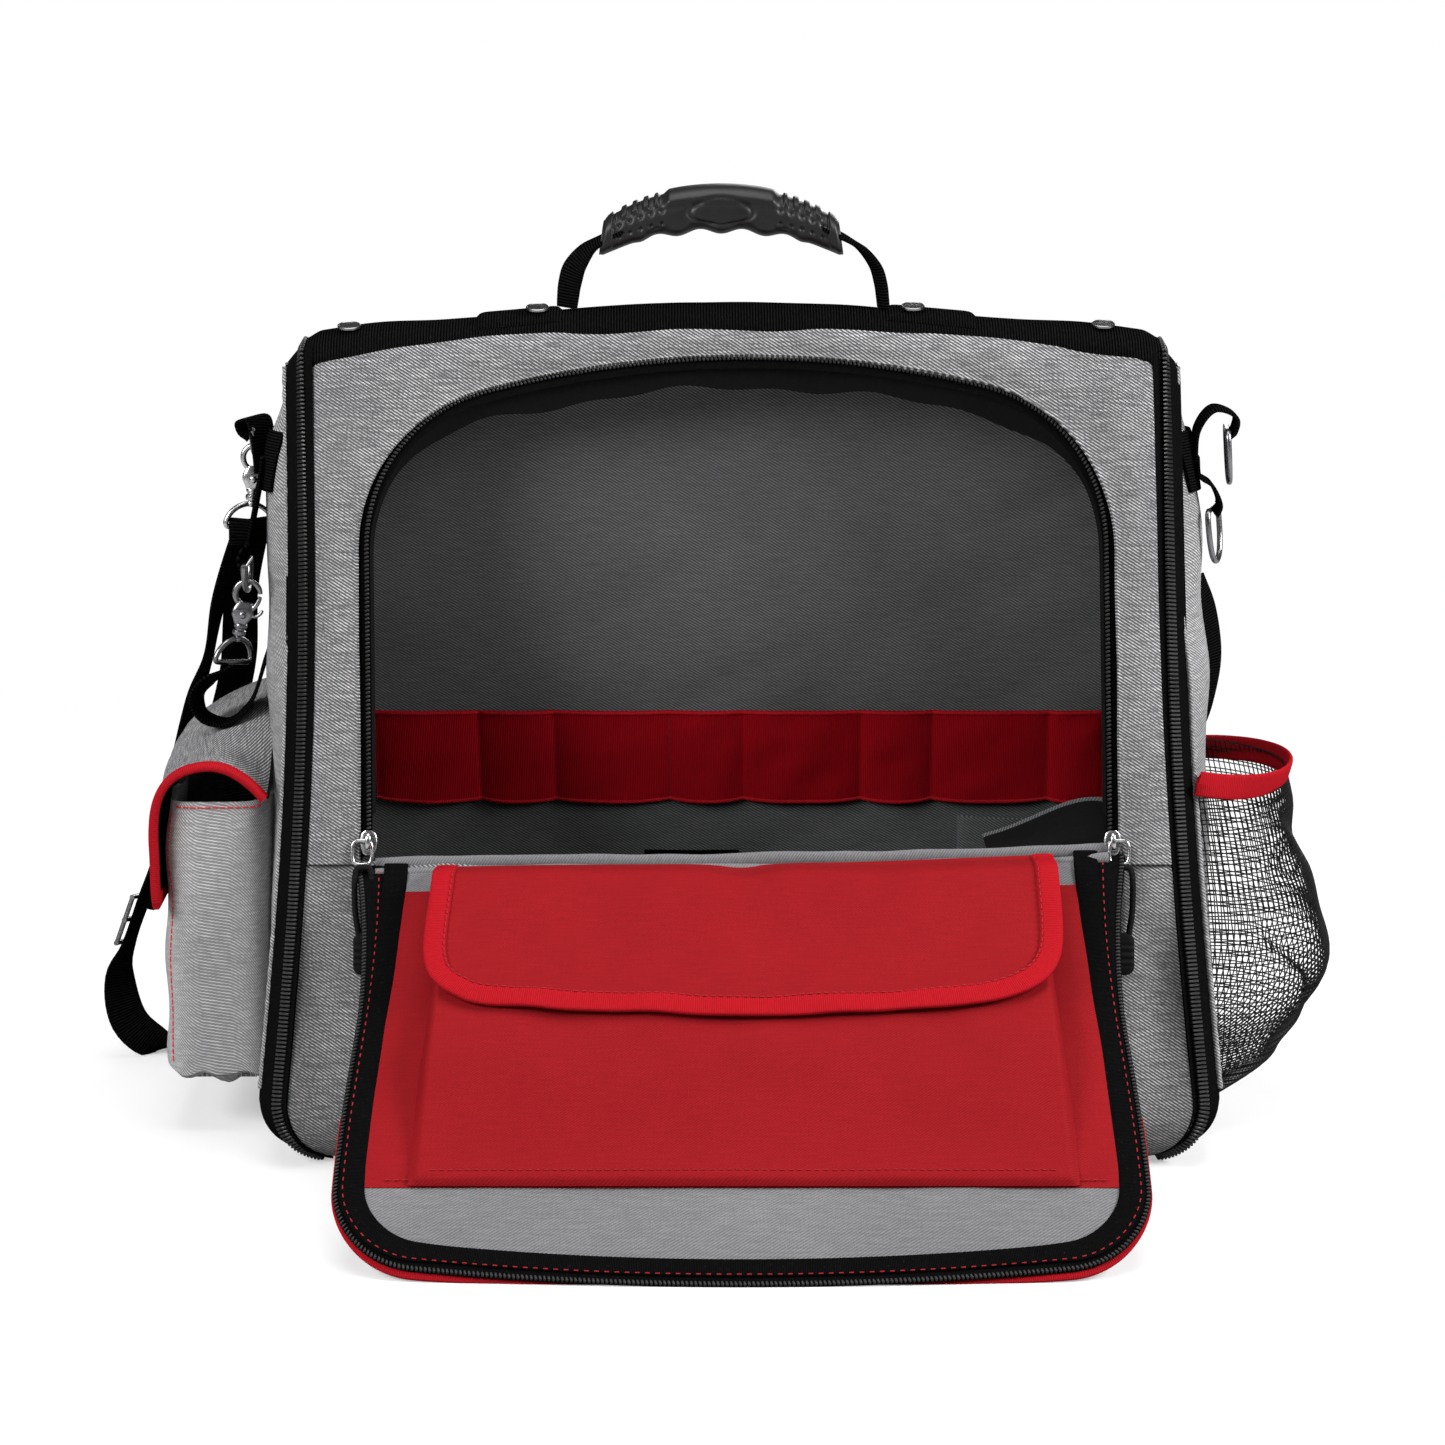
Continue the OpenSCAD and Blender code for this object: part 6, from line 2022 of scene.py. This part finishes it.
        piece = close_up(lofted("left_flap_cloth", 50, 60, place), False)
        cloth = dress(thicken(piece, 1.8, 0.0), GREY, "side_flap", "left_pocket_flap", over=self.bend)
        lining = close_up(lofted("left_flap_lining", 40, 60, lambda u,
                                 v: place(0.03 + 0.94 * u, v) + (1.6, 0, -1.2)), False)
        dress(thicken(lining, 0.8, 0.0), FACING, "side_flap", over=self.bend)
        steps = np.linspace(0, 1, 61)
        near = place(np.zeros(61), steps)
        hem = place(np.linspace(0, 1, 50)[1:-1], np.ones(48))
        rear = place(np.ones(61), steps)[::-1]
        line = path_of(np.vstack([near[::4], hem[::6], rear[:18:4]]), 200)
        across = np.where(np.abs(line[:, 1:2]) > 60, (0.0, 1.0, 0.0), (0.0, 0.0, 1.0))
        for _ in range(6):
            across[1:-1] = (across[:-2] + across[1:-1] + across[2:]) / 3
        trim = swept("left_flap_trim", line, across, oval(9.0, 4.4, 14, 0.6))
        dress(trim, TRIM, "side_flap", "left_flap_binding", over=self.bend)


# Right end

@dataclass
class NetPocket:
    """The slack net pocket on the right end, with its red rim."""

    half_wide: float = 58.0
    rows: tuple[tuple[float, float], ...] = (
        (40, 178), (44, 160), (49, 138), (56, 114), (62, 90), (60, 68), (50, 48), (34, 31), (15, 21), (2, 18))

    def _net(self, u: Array, v: Array) -> Array:
        """Round the pocket and down it, with the folds of slack net."""
        side = path_of(self.rows, 101)
        i = np.rint(v * 100).astype(int)
        turn = (2 * u - 1) * math.pi / 2
        out, z = side[i, 0], side[i, 1]
        y = (self.half_wide + 2 * np.sin(math.pi * v)) * squarish(np.sin(turn), 0.9)
        deg = np.degrees(turn)
        fold = 4 * hump(deg * 0.6 + (z - 125) * 0.75, 12, 9) * ease((z - 60) / 40) * ease((175 - z) / 25)
        fold += 7 * hump(z - deg * 0.28, 64, 8) * ease((60 - np.abs(deg)) / 20)
        fold += 4 * hump(z + deg * 0.2, 36, 6)
        ruck = 1.8 * folds(deg, z * 0.8, 46, 71) * np.sin(math.pi * np.clip(v, 0, 1))
        reach = np.maximum(0, out - (fold - ruck) * np.cos(turn)) * np.cos(turn)
        x = WEDGE.end_x(y, np.minimum(z, WEDGE.height)) + 0.8 + reach
        return np.stack([x - 1.2, y, z - 0.35 * fold], 1)

    def build(self) -> None:
        """Model the net and its rim."""
        piece = lofted("end_net", 58, 64, self._net)
        modify(piece, "WIREFRAME", thickness=0.95 * MM, use_even_offset=False, use_replace=True,
               use_boundary=True)
        net = dress(piece, NET, "bag", "mesh_pocket")
        turn = np.radians(np.linspace(-92, 92, 140))
        y = 60 * np.sin(turn)
        x = WEDGE.end_x(y, np.full(140, 178.0)) + 1.0 + 40 * np.maximum(0, np.cos(turn)) ** 0.85
        z = 178 + 2.2 * np.sin(turn * 2.3 + 0.5) - 4.0 * np.sin(turn) - 2.0 * np.cos(turn)
        lean = np.stack([0.25 * np.cos(turn), 0.3 * np.sin(turn * 3), np.ones(140)], 1)
        rim = swept("net_rim", np.stack([x, y, z], 1), lean, oval(12.5, 2.6, 18, 0.5))
        dress(rim, TRIM, "bag", "mesh_rim")


# Webbing and straps

def band(name: str, route: Sequence[Sequence[float]], wide: float, thick: float,
         steps: int) -> tuple[Piece, Array]:
    """A webbing band along a route of places and headings.

    Args:
        name: Name of the piece.
        route: Points with the heading of the band's width in the level plane, in degrees.
        wide: Width of the band.
        thick: Thickness of the band.
        steps: Number of rings along it.

    Returns:
        The band and the middles of its rings.
    """
    path = path_of(route, steps)
    turn = np.radians(path[:, 3])
    across = np.stack([np.cos(turn), np.sin(turn), np.zeros(steps)], 1)
    return swept(name, path[:, :3], across, oval(wide, thick, 16, 0.35)), path[:, :3]


@dataclass
class SideWebbing:
    """The sewn patch on each end, the loops that hold the D-rings, and a hanging tail."""

    wide: float = 22.0
    thick: float = 1.8

    def build(self) -> None:
        """Model the patches and loops of both ends, and the right tail."""
        for side, word, loops in (
                (-1, "left", ((241.6, 6, 349), (245.6, -10, 283))),
                                  (1, "right", ((241.6, 0, 349), (235.6, 0, 309)))):
            def patch(u: Array, v: Array) -> Array:
                """Webbing sewn flat on the end panel."""
                y, z = -14 + 26 * u, 319 + 30 * v
                return WEDGE.settle(np.stack([side * (Shell.swell(side, y, z) + 1.6), y, z], 1))

            face = abs(float(patch(np.array([0.7]), np.array([0.5]))[0, 0]))
            parts = [thicken(close_up(lofted("patch", 12, 14, patch), False), 2.0, 0.0)]
            for bx, by, bz in loops:
                if bz > 330:
                    low = 6.0 if side < 0 else 0.0
                    rows = [(face, 334 - low), (face + 1.2, 349 - low), ((face + bx) / 2 + 1, 359 - low),
                            (bx + 3.8, 355.5 - low / 2), (bx + 3.6, 348.5), (bx + 0.6, 345.4)]
                else:
                    rows = [(face + 1, 336), (face + 2.4, 326), (bx - 1, bz + 12), (bx + 3.2, bz + 3),
                            (bx + 1.4, bz - 3)]
                parts.append(band("loop", [(side * x, by * ease((k - 1) / 2), z,
                                            66 if side < 0 and bz > 330 else 90) for k,
                                           (x, z) in enumerate(rows)],
                                  self.wide, self.thick, 50)[0])
            if side > 0:
                x0 = 235.0
                parts.append(band("tail",
                                  [(x0 - 4, 22, 268, 60), (x0 + 1, 24, 250, 48), (x0 + 4, 26, 226, 45),
                                           (x0 + 1, 27, 202, 48), (x0 - 3, 28, 186, 55)], 20, 1.8, 60)[0])
            dress(joined(word + "_loops", parts), WEBBING, "bag", word + "_side_webbing")


class Lie(Enum):
    """How a free band lies."""

    LIMP = "limp"
    HANGING = "hanging"


@dataclass
class Straps:
    """The clip-on shoulder strap, its return layer and the short leash."""

    wide: float = 20.0
    thick: float = 1.8
    strap: tuple[tuple[float, ...], ...] = (
        (-246.0, 4.4, 294.8, 30), (-262, 22, 262, 72), (-273, 50, 228, 86), (-285, 74, 196, 70),
        (-296, 80, 150, 62),
        (-306, 80, 112, 75), (-315, 77, 87, 75), (-324, 74, 62, 75), (-329, 70, 44, 50), (-324, 68, 20, 20),
        (-308, 74, 5, 10), (-290, 92, 2, -20), (-262, 118, 2, -40), (-225, 135, 2, -70), (-150, 142, 2, -88),
        (0, 145, 2, -90), (100, 143, 2, -91))
    back: tuple[tuple[float, ...], ...] = (
        (-246.0, 8, 294.6, 30), (-255, 38, 256, 45), (-262, 76, 214, 32), (-272, 94, 178, 30),
        (-282, 101, 145, 55), (-298, 89, 112, 75), (-314, 79.5, 79, 75))
    leash: tuple[tuple[float, ...], ...] = (
        (-254.3, -10, 228.6, 50), (-266.3, -13, 223.5, 60), (-272.3, -12, 214.5, 75),
        (-268.3, -10, 204.5, 85),
        (-257.3, -6, 201.5, 90), (-246.3, -1, 210.5, 92), (-239.3, 3, 230.5, 95), (-234.5, 4, 246, 93),
        (-232, 3, 268, 90))

    def build(self) -> None:
        """Model the three bands, and the webbing folded round the eye's bar."""
        fold, _ = band("strap_fold", [(-246, 2.4, 290, 20), (-246, 3.0, 296, 20), (-246, 6.0, 301.6, 20),
                                      (-246, 9.4, 296, 20),
                                      (-246, 9.8, 290, 20)], self.wide, self.thick, 40)
        dress(fold, WEBBING, "upper_eye")
        for name, route, node, end, fitting, steps in (
                ("strap_run", self.strap, "shoulder_strap", "fitting", "far_hook", 220),
                ("strap_back", self.back, "strap_return", "fitting", "strap_adjuster", 90),
                ("leash_run", self.leash, "leash_webbing", "object", None, 60)):
            piece, path = band(name, route, self.wide, self.thick, steps)
            dress(piece, WEBBING, "bag", node)


# Hard parts

@dataclass
class DoorSlider:
    """One of the door's zip sliders, with its crown and the wire bail that carries the pull."""

    word: str
    side: int
    x: float = 181.8
    foot: float = 155.0
    long: float = 12.0
    bail_shift: float = 3.0
    bail_n: float = 2.9

    def build(self) -> None:
        """Model the slider on its own body, and the bail on the pull's."""
        dress(joined(self.word + "_slider_shape", [self.plate("plate", 0.4, 1.3), self.crown()]), ZIP_STEEL,
              self.word + "_door_slider", self.word + "_slider")
        dress(self.bail(), ZIP_STEEL, self.word + "_pull", self.word + "_pull_bail")

    def at(self, x: Array, s: Array, n: Array) -> Array:
        """A point near the slider: across from its middle, up the slope, and out of the panel."""
        return WEDGE.front(self.side * (self.x + np.asarray(x, float)), s, n)

    def plate(self, name: str, n: float, thick: float) -> Piece:
        """A shield-shaped plate.

        Args:
            name: Name of the plate.
            n: Height of its middle.
            thick: Half its thickness.

        Returns:
            The closed plate.
        """
        half = path_of([(1.6, 0, 0.0), (3.0, 0, 0.08), (4.2, 0, 0.35), (4.4, 0, 0.6), (3.6, 0, 0.88),
                        (2.0, 0, 1.0)], 25)

        def place(u: Array, v: Array) -> Array:
            """Round the plate's edge and up it."""
            wide, _, up = half[np.rint(v * 24).astype(int)].T
            t = 2 * math.pi * u
            return self.at(wide * squarish(np.cos(t), 0.6), self.foot + self.long * up,
                           n + thick * squarish(np.sin(t), 0.6))

        return close_up(lofted(name, 28, 24, place), True)

    def crown(self) -> Piece:
        """The bridge over the upper plate."""
        rise = path_of([(0, 157.4, 0.6), (0, 158.0, 3.2), (0, 160.0, 4.6), (0, 163.4, 4.7), (0, 165.4, 3.2),
                        (0, 165.8, 0.6)], 40)
        line = self.at(rise[:, 0], rise[:, 1], rise[:, 2])
        return swept("crown", line, (1.0, 0.0, 0.0), oval(2.4, 1.4, 10, 0.7))

    def bail(self) -> Piece:
        """A bent wire loop."""
        half = [(0.0, 162.0), (3.0, 161.8), (4.5, 160.0), (4.8, 156.6), (4.6, 153.2), (3.4, 151.0),
                (0.0, 150.4)]
        flat = path_of([(a, b, 0.0) for a, b in half + [(-a, b) for a, b in half[-2::-1]]], 90)
        line = self.at(flat[:, 0] + self.bail_shift, flat[:, 1], np.full(90, self.bail_n))
        return swept(self.word + "_bail_wire", line, FRONT_OUT, oval(1.9, 1.9, 12), None, False)


@dataclass
class SnapHook:
    """A trigger snap hook: open claw, cheeked body with a rivet, thumb lever, swivel collar and D-eye."""

    word: str
    coat: Coat
    bar: tuple[float, float, float]
    tilt: float
    turn: float
    claw: float = 6.3
    wire: float = 2.9
    drop: float = 15.7
    pivot: float = -10.9
    collar: float = -15.8
    eye: float = 12.4
    eye_low: float = -35.9

    def build(self) -> None:
        """Model the hook's frame, its lever and its eye, each on its own body."""
        for part, node, body in ((self.frame_parts(), "_hook", "bag"),
                                 (self.lever_parts(), "_hook_trigger", self.word + "_trigger"),
                                 (self.eye_parts(), "_hook_eye", self.word + "_eye")):
            dress(joined(self.word + node + "_shape", part), self.coat, body, self.word + node)

    def at(self, local: Array, turned: bool = False) -> Array:
        """Carry points from the hook's own upright frame to the bag.

        Args:
            local: Points with the claw's middle at the origin and the shank down.
            turned: Whether the points turn with the swivel.

        Returns:
            The points on the bag.
        """
        p = np.array(local, float)
        if turned:
            c, d = math.cos(math.radians(self.turn)), math.sin(math.radians(self.turn))
            p = np.stack([p[:, 0] * c - p[:, 1] * d, p[:, 0] * d + p[:, 1] * c, p[:, 2]], 1)
        c, d = math.cos(math.radians(self.tilt)), math.sin(math.radians(self.tilt))
        x, y, z = p.T
        return np.array(self.bar) - (0, 0, self.drop) + np.stack([x * c + z * d, y, z * c - x * d], 1)

    def lathe(self, name: str, rows: Sequence[Sequence[float]], turned: bool = False,
              face: bool = False) -> Piece:
        """A turned shape.

        Args:
            name: Name of the shape.
            rows: Radius and height of each ring.
            turned: Whether it turns with the swivel.
            face: Whether it stands on the hook's face, not along the shank.

        Returns:
            The closed shape.
        """
        profile = np.array(rows, float)

        def place(u: Array, v: Array) -> Array:
            """Points round each ring."""
            r, h = profile[np.rint(v * (len(profile) - 1)).astype(int)].T
            a, b = r * np.cos(2 * math.pi * u), r * np.sin(2 * math.pi * u)
            return self.at(np.stack([a, -h, b + self.pivot] if face else [a, b, h], 1), turned)

        return close_up(lofted(name, 24, len(profile) - 1, place), True)

    def rod(self, name: str, route: Sequence[Sequence[float]], wide: float, thick: float,
            turned: bool = False, taper: float = 0.0, ring: bool = False) -> Piece:
        """A bent rod in the plane of the claw.

        Args:
            name: Name of the rod.
            route: Places along it, as x and z.
            wide: Size across the hook's face.
            thick: Size through the bend.
            turned: Whether it turns with the swivel.
            taper: Share that its ends lose.
            ring: Whether it closes on itself.

        Returns:
            The closed rod.
        """
        flat = path_of(np.array([(x, 0.0, z) for x, z in route]), 90)
        size = 1 - taper * np.abs(np.linspace(-1, 1, 90)) ** 3
        way = self.at(np.array([(0.0, 1.0, 0.0)]), turned) - self.at(np.zeros((1, 3)), turned)
        return swept(name, self.at(flat, turned), np.repeat(way, 90, 0), oval(wide, thick, 14, 0.85),
                     size, not ring)

    def frame_parts(self) -> list[Piece]:
        """The claw, the cheeks, the collar and the rivet's head."""
        t = np.radians(np.linspace(12, 306, 22))
        claw = self.rod("claw", np.stack([self.claw * np.cos(t), self.claw * np.sin(t)], 1), self.wire,
                        self.wire, taper=0.25)
        half = path_of([(3.2, 1.5, -4.6), (4.2, 1.7, -6.4), (5.2, 2.05, -9.0), (5.2, 2.1, -11.5),
                        (3.9, 2.0, -14.0), (2.8, 1.9, -16.2)], 28)

        def cheeks(u: Array, v: Array) -> Array:
            """The body between the claw and the collar, widest at the rivet."""
            wide, thick, z = half[np.rint(v * 27).astype(int)].T
            t = 2 * math.pi * u
            across, out = wide * squarish(np.cos(t), 0.7) - 0.4, thick * squarish(np.sin(t), 0.5)
            return self.at(np.stack([across, out, z], 1))

        body = close_up(lofted("cheeks", 32, 27, cheeks), True)
        low = self.collar
        collar = self.lathe("collar", [(1.8, low + 0.6), (3.1, low), (3.4, low - 0.8), (3.1, low - 1.8),
                                       (2.5, low - 2.2),
                                       (2.5, low - 3.0), (3.2, low - 3.4), (3.4, low - 4.6),
                                       (3.0, low - 5.7), (1.5, low - 6.0)])
        rivet = self.lathe("rivet", [(1.9, 1.6), (1.9, 2.4), (1.6, 2.9), (0.9, 3.2), (0.15, 3.3)], face=True)
        return [claw, body, collar, rivet]

    def lever_parts(self) -> list[Piece]:
        """The gate that shuts the claw, and its thumb tab."""
        gate = self.rod("gate", [(0.5, self.pivot), (3.0, -8.2), (5.2, -5.2), (6.2, -2.2), (6.3, -0.2)],
                        2.2, 2.4, taper=0.2)
        thumb = self.rod("thumb", [(2.0, -11.0), (5.8, -10.6), (8.0, -9.0), (9.0, -6.8)], 3.2, 1.9, taper=0.2)
        return [gate, thumb]

    def eye_parts(self) -> list[Piece]:
        """The D-eye for the webbing, and the stem that turns in the collar."""
        t = np.radians(np.linspace(14, 166, 12))
        arc = np.stack([self.eye * np.cos(t), self.eye * np.sin(t)], 1)
        flat = np.vstack([[(0, 0), (5, 0), (10.4, 0.1), (12.0, 1.3)], arc,
                          [(-12.0, 1.3), (-10.4, 0.1), (-5, 0), (0, 0)]])
        ring = self.rod("ring", flat + (0, self.eye_low), 2.7, 2.7, True, ring=True)
        top = self.eye_low + self.eye
        stem = self.lathe("stem", [(0.4, top + 5.0), (1.3, top + 4.6), (1.3, top + 1.8), (2.0, top + 1.2),
                                   (2.3, top), (1.7, top - 1.4)],
                          True)
        return [ring, stem]


@dataclass
class DRing:
    """A long wire D-ring that hangs from a webbing loop."""

    word: str
    bar: tuple[float, float, float]
    turn: float
    lean: float
    deep: float = 27.0
    wire: float = 2.9

    def build(self) -> None:
        """Bend the wire round its straight bar and down to a round foot."""
        side = [(0, 0), (7, 0), (11, -0.6), (13, -3.5), (13.2, -10), (12, -17), (8, -24), (0, -self.deep)]
        flat = path_of(np.array(side + [(-a, z) for a, z in side[-2::-1]],
                                float).dot([[0, 1, 0], [0, 0, 1]]), 110)
        turn, lean = math.radians(self.turn), math.radians(self.lean)
        a, z = flat[:, 1], flat[:, 2]
        path = np.array(self.bar) + np.stack([a * math.sin(turn) - z * math.sin(lean), a * math.cos(turn),
                                              z * math.cos(lean)], 1)
        face = (math.cos(turn), -math.sin(turn), math.tan(lean))
        ring = swept(self.word + "_ring_wire", path, face, oval(self.wire, self.wire, 14), None, False)
        dress(ring, DARK_STEEL, self.word + "_d", self.word + "_ring")


RINGS = (DRing("right_upper", (241.62, 0.0, 349.0), 4.0, 4.0),
         DRing("right_lower", (235.62, 0.0, 309.0), 18.0, 6.0))
HOOKS = (SnapHook("upper", STEEL, (-241.62, 6.0, 349.0), 7.0, 20.0),
         SnapHook("lower", DARK_STEEL, (-245.62, -10.0, 283.0), 14.0, 50.0))


@dataclass
class Hardware:
    """Solids that keep their own shape: left rings, far hook, adjuster, corner sliders and base board."""

    coats: tuple[tuple[Finish, tuple[str, ...]], ...] = (
        (GUNMETAL, ("left_upper_ring", "left_lower_ring", "far_hook", "strap_adjuster")),
        (BLACK_NICKEL, ("left_corner_slider", "right_corner_slider")),
        (BLACK_BOARD, ("base_board",)))

    def dress(self) -> None:
        """Give each solid its metal or plastic."""
        for finish, names in self.coats:
            for name in names:
                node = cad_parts[name]
                for slot in node.material_slots:
                    slot.material = finish.material()
                LOG.info("%s: %s", name, finish.name)


# Photo set

@dataclass
class Studio:
    """Floor, lights and camera of the product photo."""

    floor_size: float = 9.0
    key: float = 40.0
    top: float = 35.0
    fill: float = 5.0
    sky: float = 0.06

    def build(self) -> None:
        """Set up the floor, the lights, the sky and the camera."""
        self.floor()
        self.sky_light()
        self.lamp("left_key", (-1.35, -1.05, 1.1), (0, 0, 0.2), 0.8, self.key * 0.95)
        self.lamp("right_key", (1.6, -0.6, 1.1), (0, 0, 0.2), 0.8, self.key * 1.35)
        self.lamp("top", (0.0, -0.1, 2.3), (0, 0, 0.2), 1.6, self.top)
        self.lamp("front", (0.0, -2.2, 1.9), (0, 0, 0.2), 0.9, self.fill)
        self.lamp("back", (0.5, 2.7, 0.8), (0, 0, 0.2), 1.0, self.fill * 3)
        self.camera()

    def floor(self) -> None:
        """A white floor that keeps a soft shadow and fades to plain white for the camera."""
        deselect()
        bpy.ops.mesh.primitive_plane_add(size=self.floor_size, location=(0, 0, 0))
        floor = bpy.context.active_object
        floor.name = "floor"
        made = bpy.data.materials.new("floor_white")
        made.use_nodes = True
        made.node_tree.nodes.clear()
        g = Graph(made.node_tree)
        rays = g.node("LightPath").outputs
        tone = g.mix(rays["Is Camera Ray"], (0.42, 0.42, 0.42, 1.0), (0.86, 0.86, 0.86, 1.0))
        paint = g.node("BsdfDiffuse", {"Color": tone})
        glow = g.node("Emission", {"Color": (1.0, 1.0, 1.0, 1.0), "Strength": 1.0})
        far = g.node("VectorMath", {0: g.node("TexCoord").outputs["Object"]},
                     operation="LENGTH").outputs["Value"]
        fade = g.node("MapRange", {"Value": far, "From Min": 0.5, "From Max": 1.1, "To Min": 0.4,
                                   "To Max": 1.0})
        seen = g.math("MULTIPLY", rays["Is Camera Ray"], fade.outputs[0])
        both = g.node("MixShader", {0: seen, 1: paint.outputs[0], 2: glow.outputs[0]})
        g.node("OutputMaterial", {"Surface": both.outputs[0]})
        floor.data.materials.append(made)

    def sky_light(self) -> None:
        """White all round for the camera and for rays through clear surfaces, and a weaker light on the bag
        and in reflections.
        """
        sky = bpy.data.worlds.new("studio_white")
        bpy.context.scene.world = sky
        sky.use_nodes = True
        sky.node_tree.nodes.clear()
        g = Graph(sky.node_tree)
        rays = g.node("LightPath").outputs
        plain = g.math("MAXIMUM", rays["Is Camera Ray"], rays["Is Transmission Ray"])
        level = g.math("ADD", g.math("MULTIPLY", plain, 1.0 - self.sky), self.sky)
        back = g.node("Background", {"Color": (1.0, 1.0, 1.0, 1.0), "Strength": level})
        g.node("OutputWorld", {"Surface": back.outputs[0]})

    def lamp(self, name: str, at: Sequence[float], aim: Sequence[float], size: float, power: float) -> None:
        """One square softbox.

        Args:
            name: Name of the lamp.
            at: Its place in metres.
            aim: The place that it points at.
            size: Length of its side.
            power: Its power in watts.
        """
        light = bpy.data.lights.new(name, "AREA")
        light.energy, light.size = power, size
        lamp = bpy.data.objects.new(name, light)
        lamp.location = at
        lamp.rotation_euler = (Vector(aim) - Vector(at)).to_track_quat("-Z", "Y").to_euler()
        bpy.context.scene.collection.objects.link(lamp)

    def camera(self) -> None:
        """The camera at the photo's place and angle."""
        view = bpy.data.cameras.new("camera")
        view.lens, view.sensor_width = 98.64, 36.0
        eye = bpy.data.objects.new("camera", view)
        eye.location = (-0.00884, -1.9487, 0.6489)
        eye.rotation_euler = (math.radians(77), 0, 0)
        bpy.context.scene.collection.objects.link(eye)
        bpy.context.scene.camera = eye
        bpy.context.scene.view_settings.view_transform = "Standard"


def main() -> None:
    """Build every sub-assembly in order, then give the hard solids their finishes."""
    logging.basicConfig(level=logging.INFO, format="%(name)s: %(message)s")
    Studio().build()
    Shell().build()
    CornerZips().build()
    Ridge().build()
    Handle().build()
    Opening().build()
    Inside().build()
    door = Door()
    door.build()
    PocketFlap(door).build()
    Pulls().build()
    LeftPocket().build()
    NetPocket().build()
    SideWebbing().build()
    Straps().build()
    for fitting in HOOKS + RINGS + (DoorSlider("left", -1), DoorSlider("right", 1)):
        fitting.build()
    Hardware().dress()


if __name__ == "__main__":
    main()
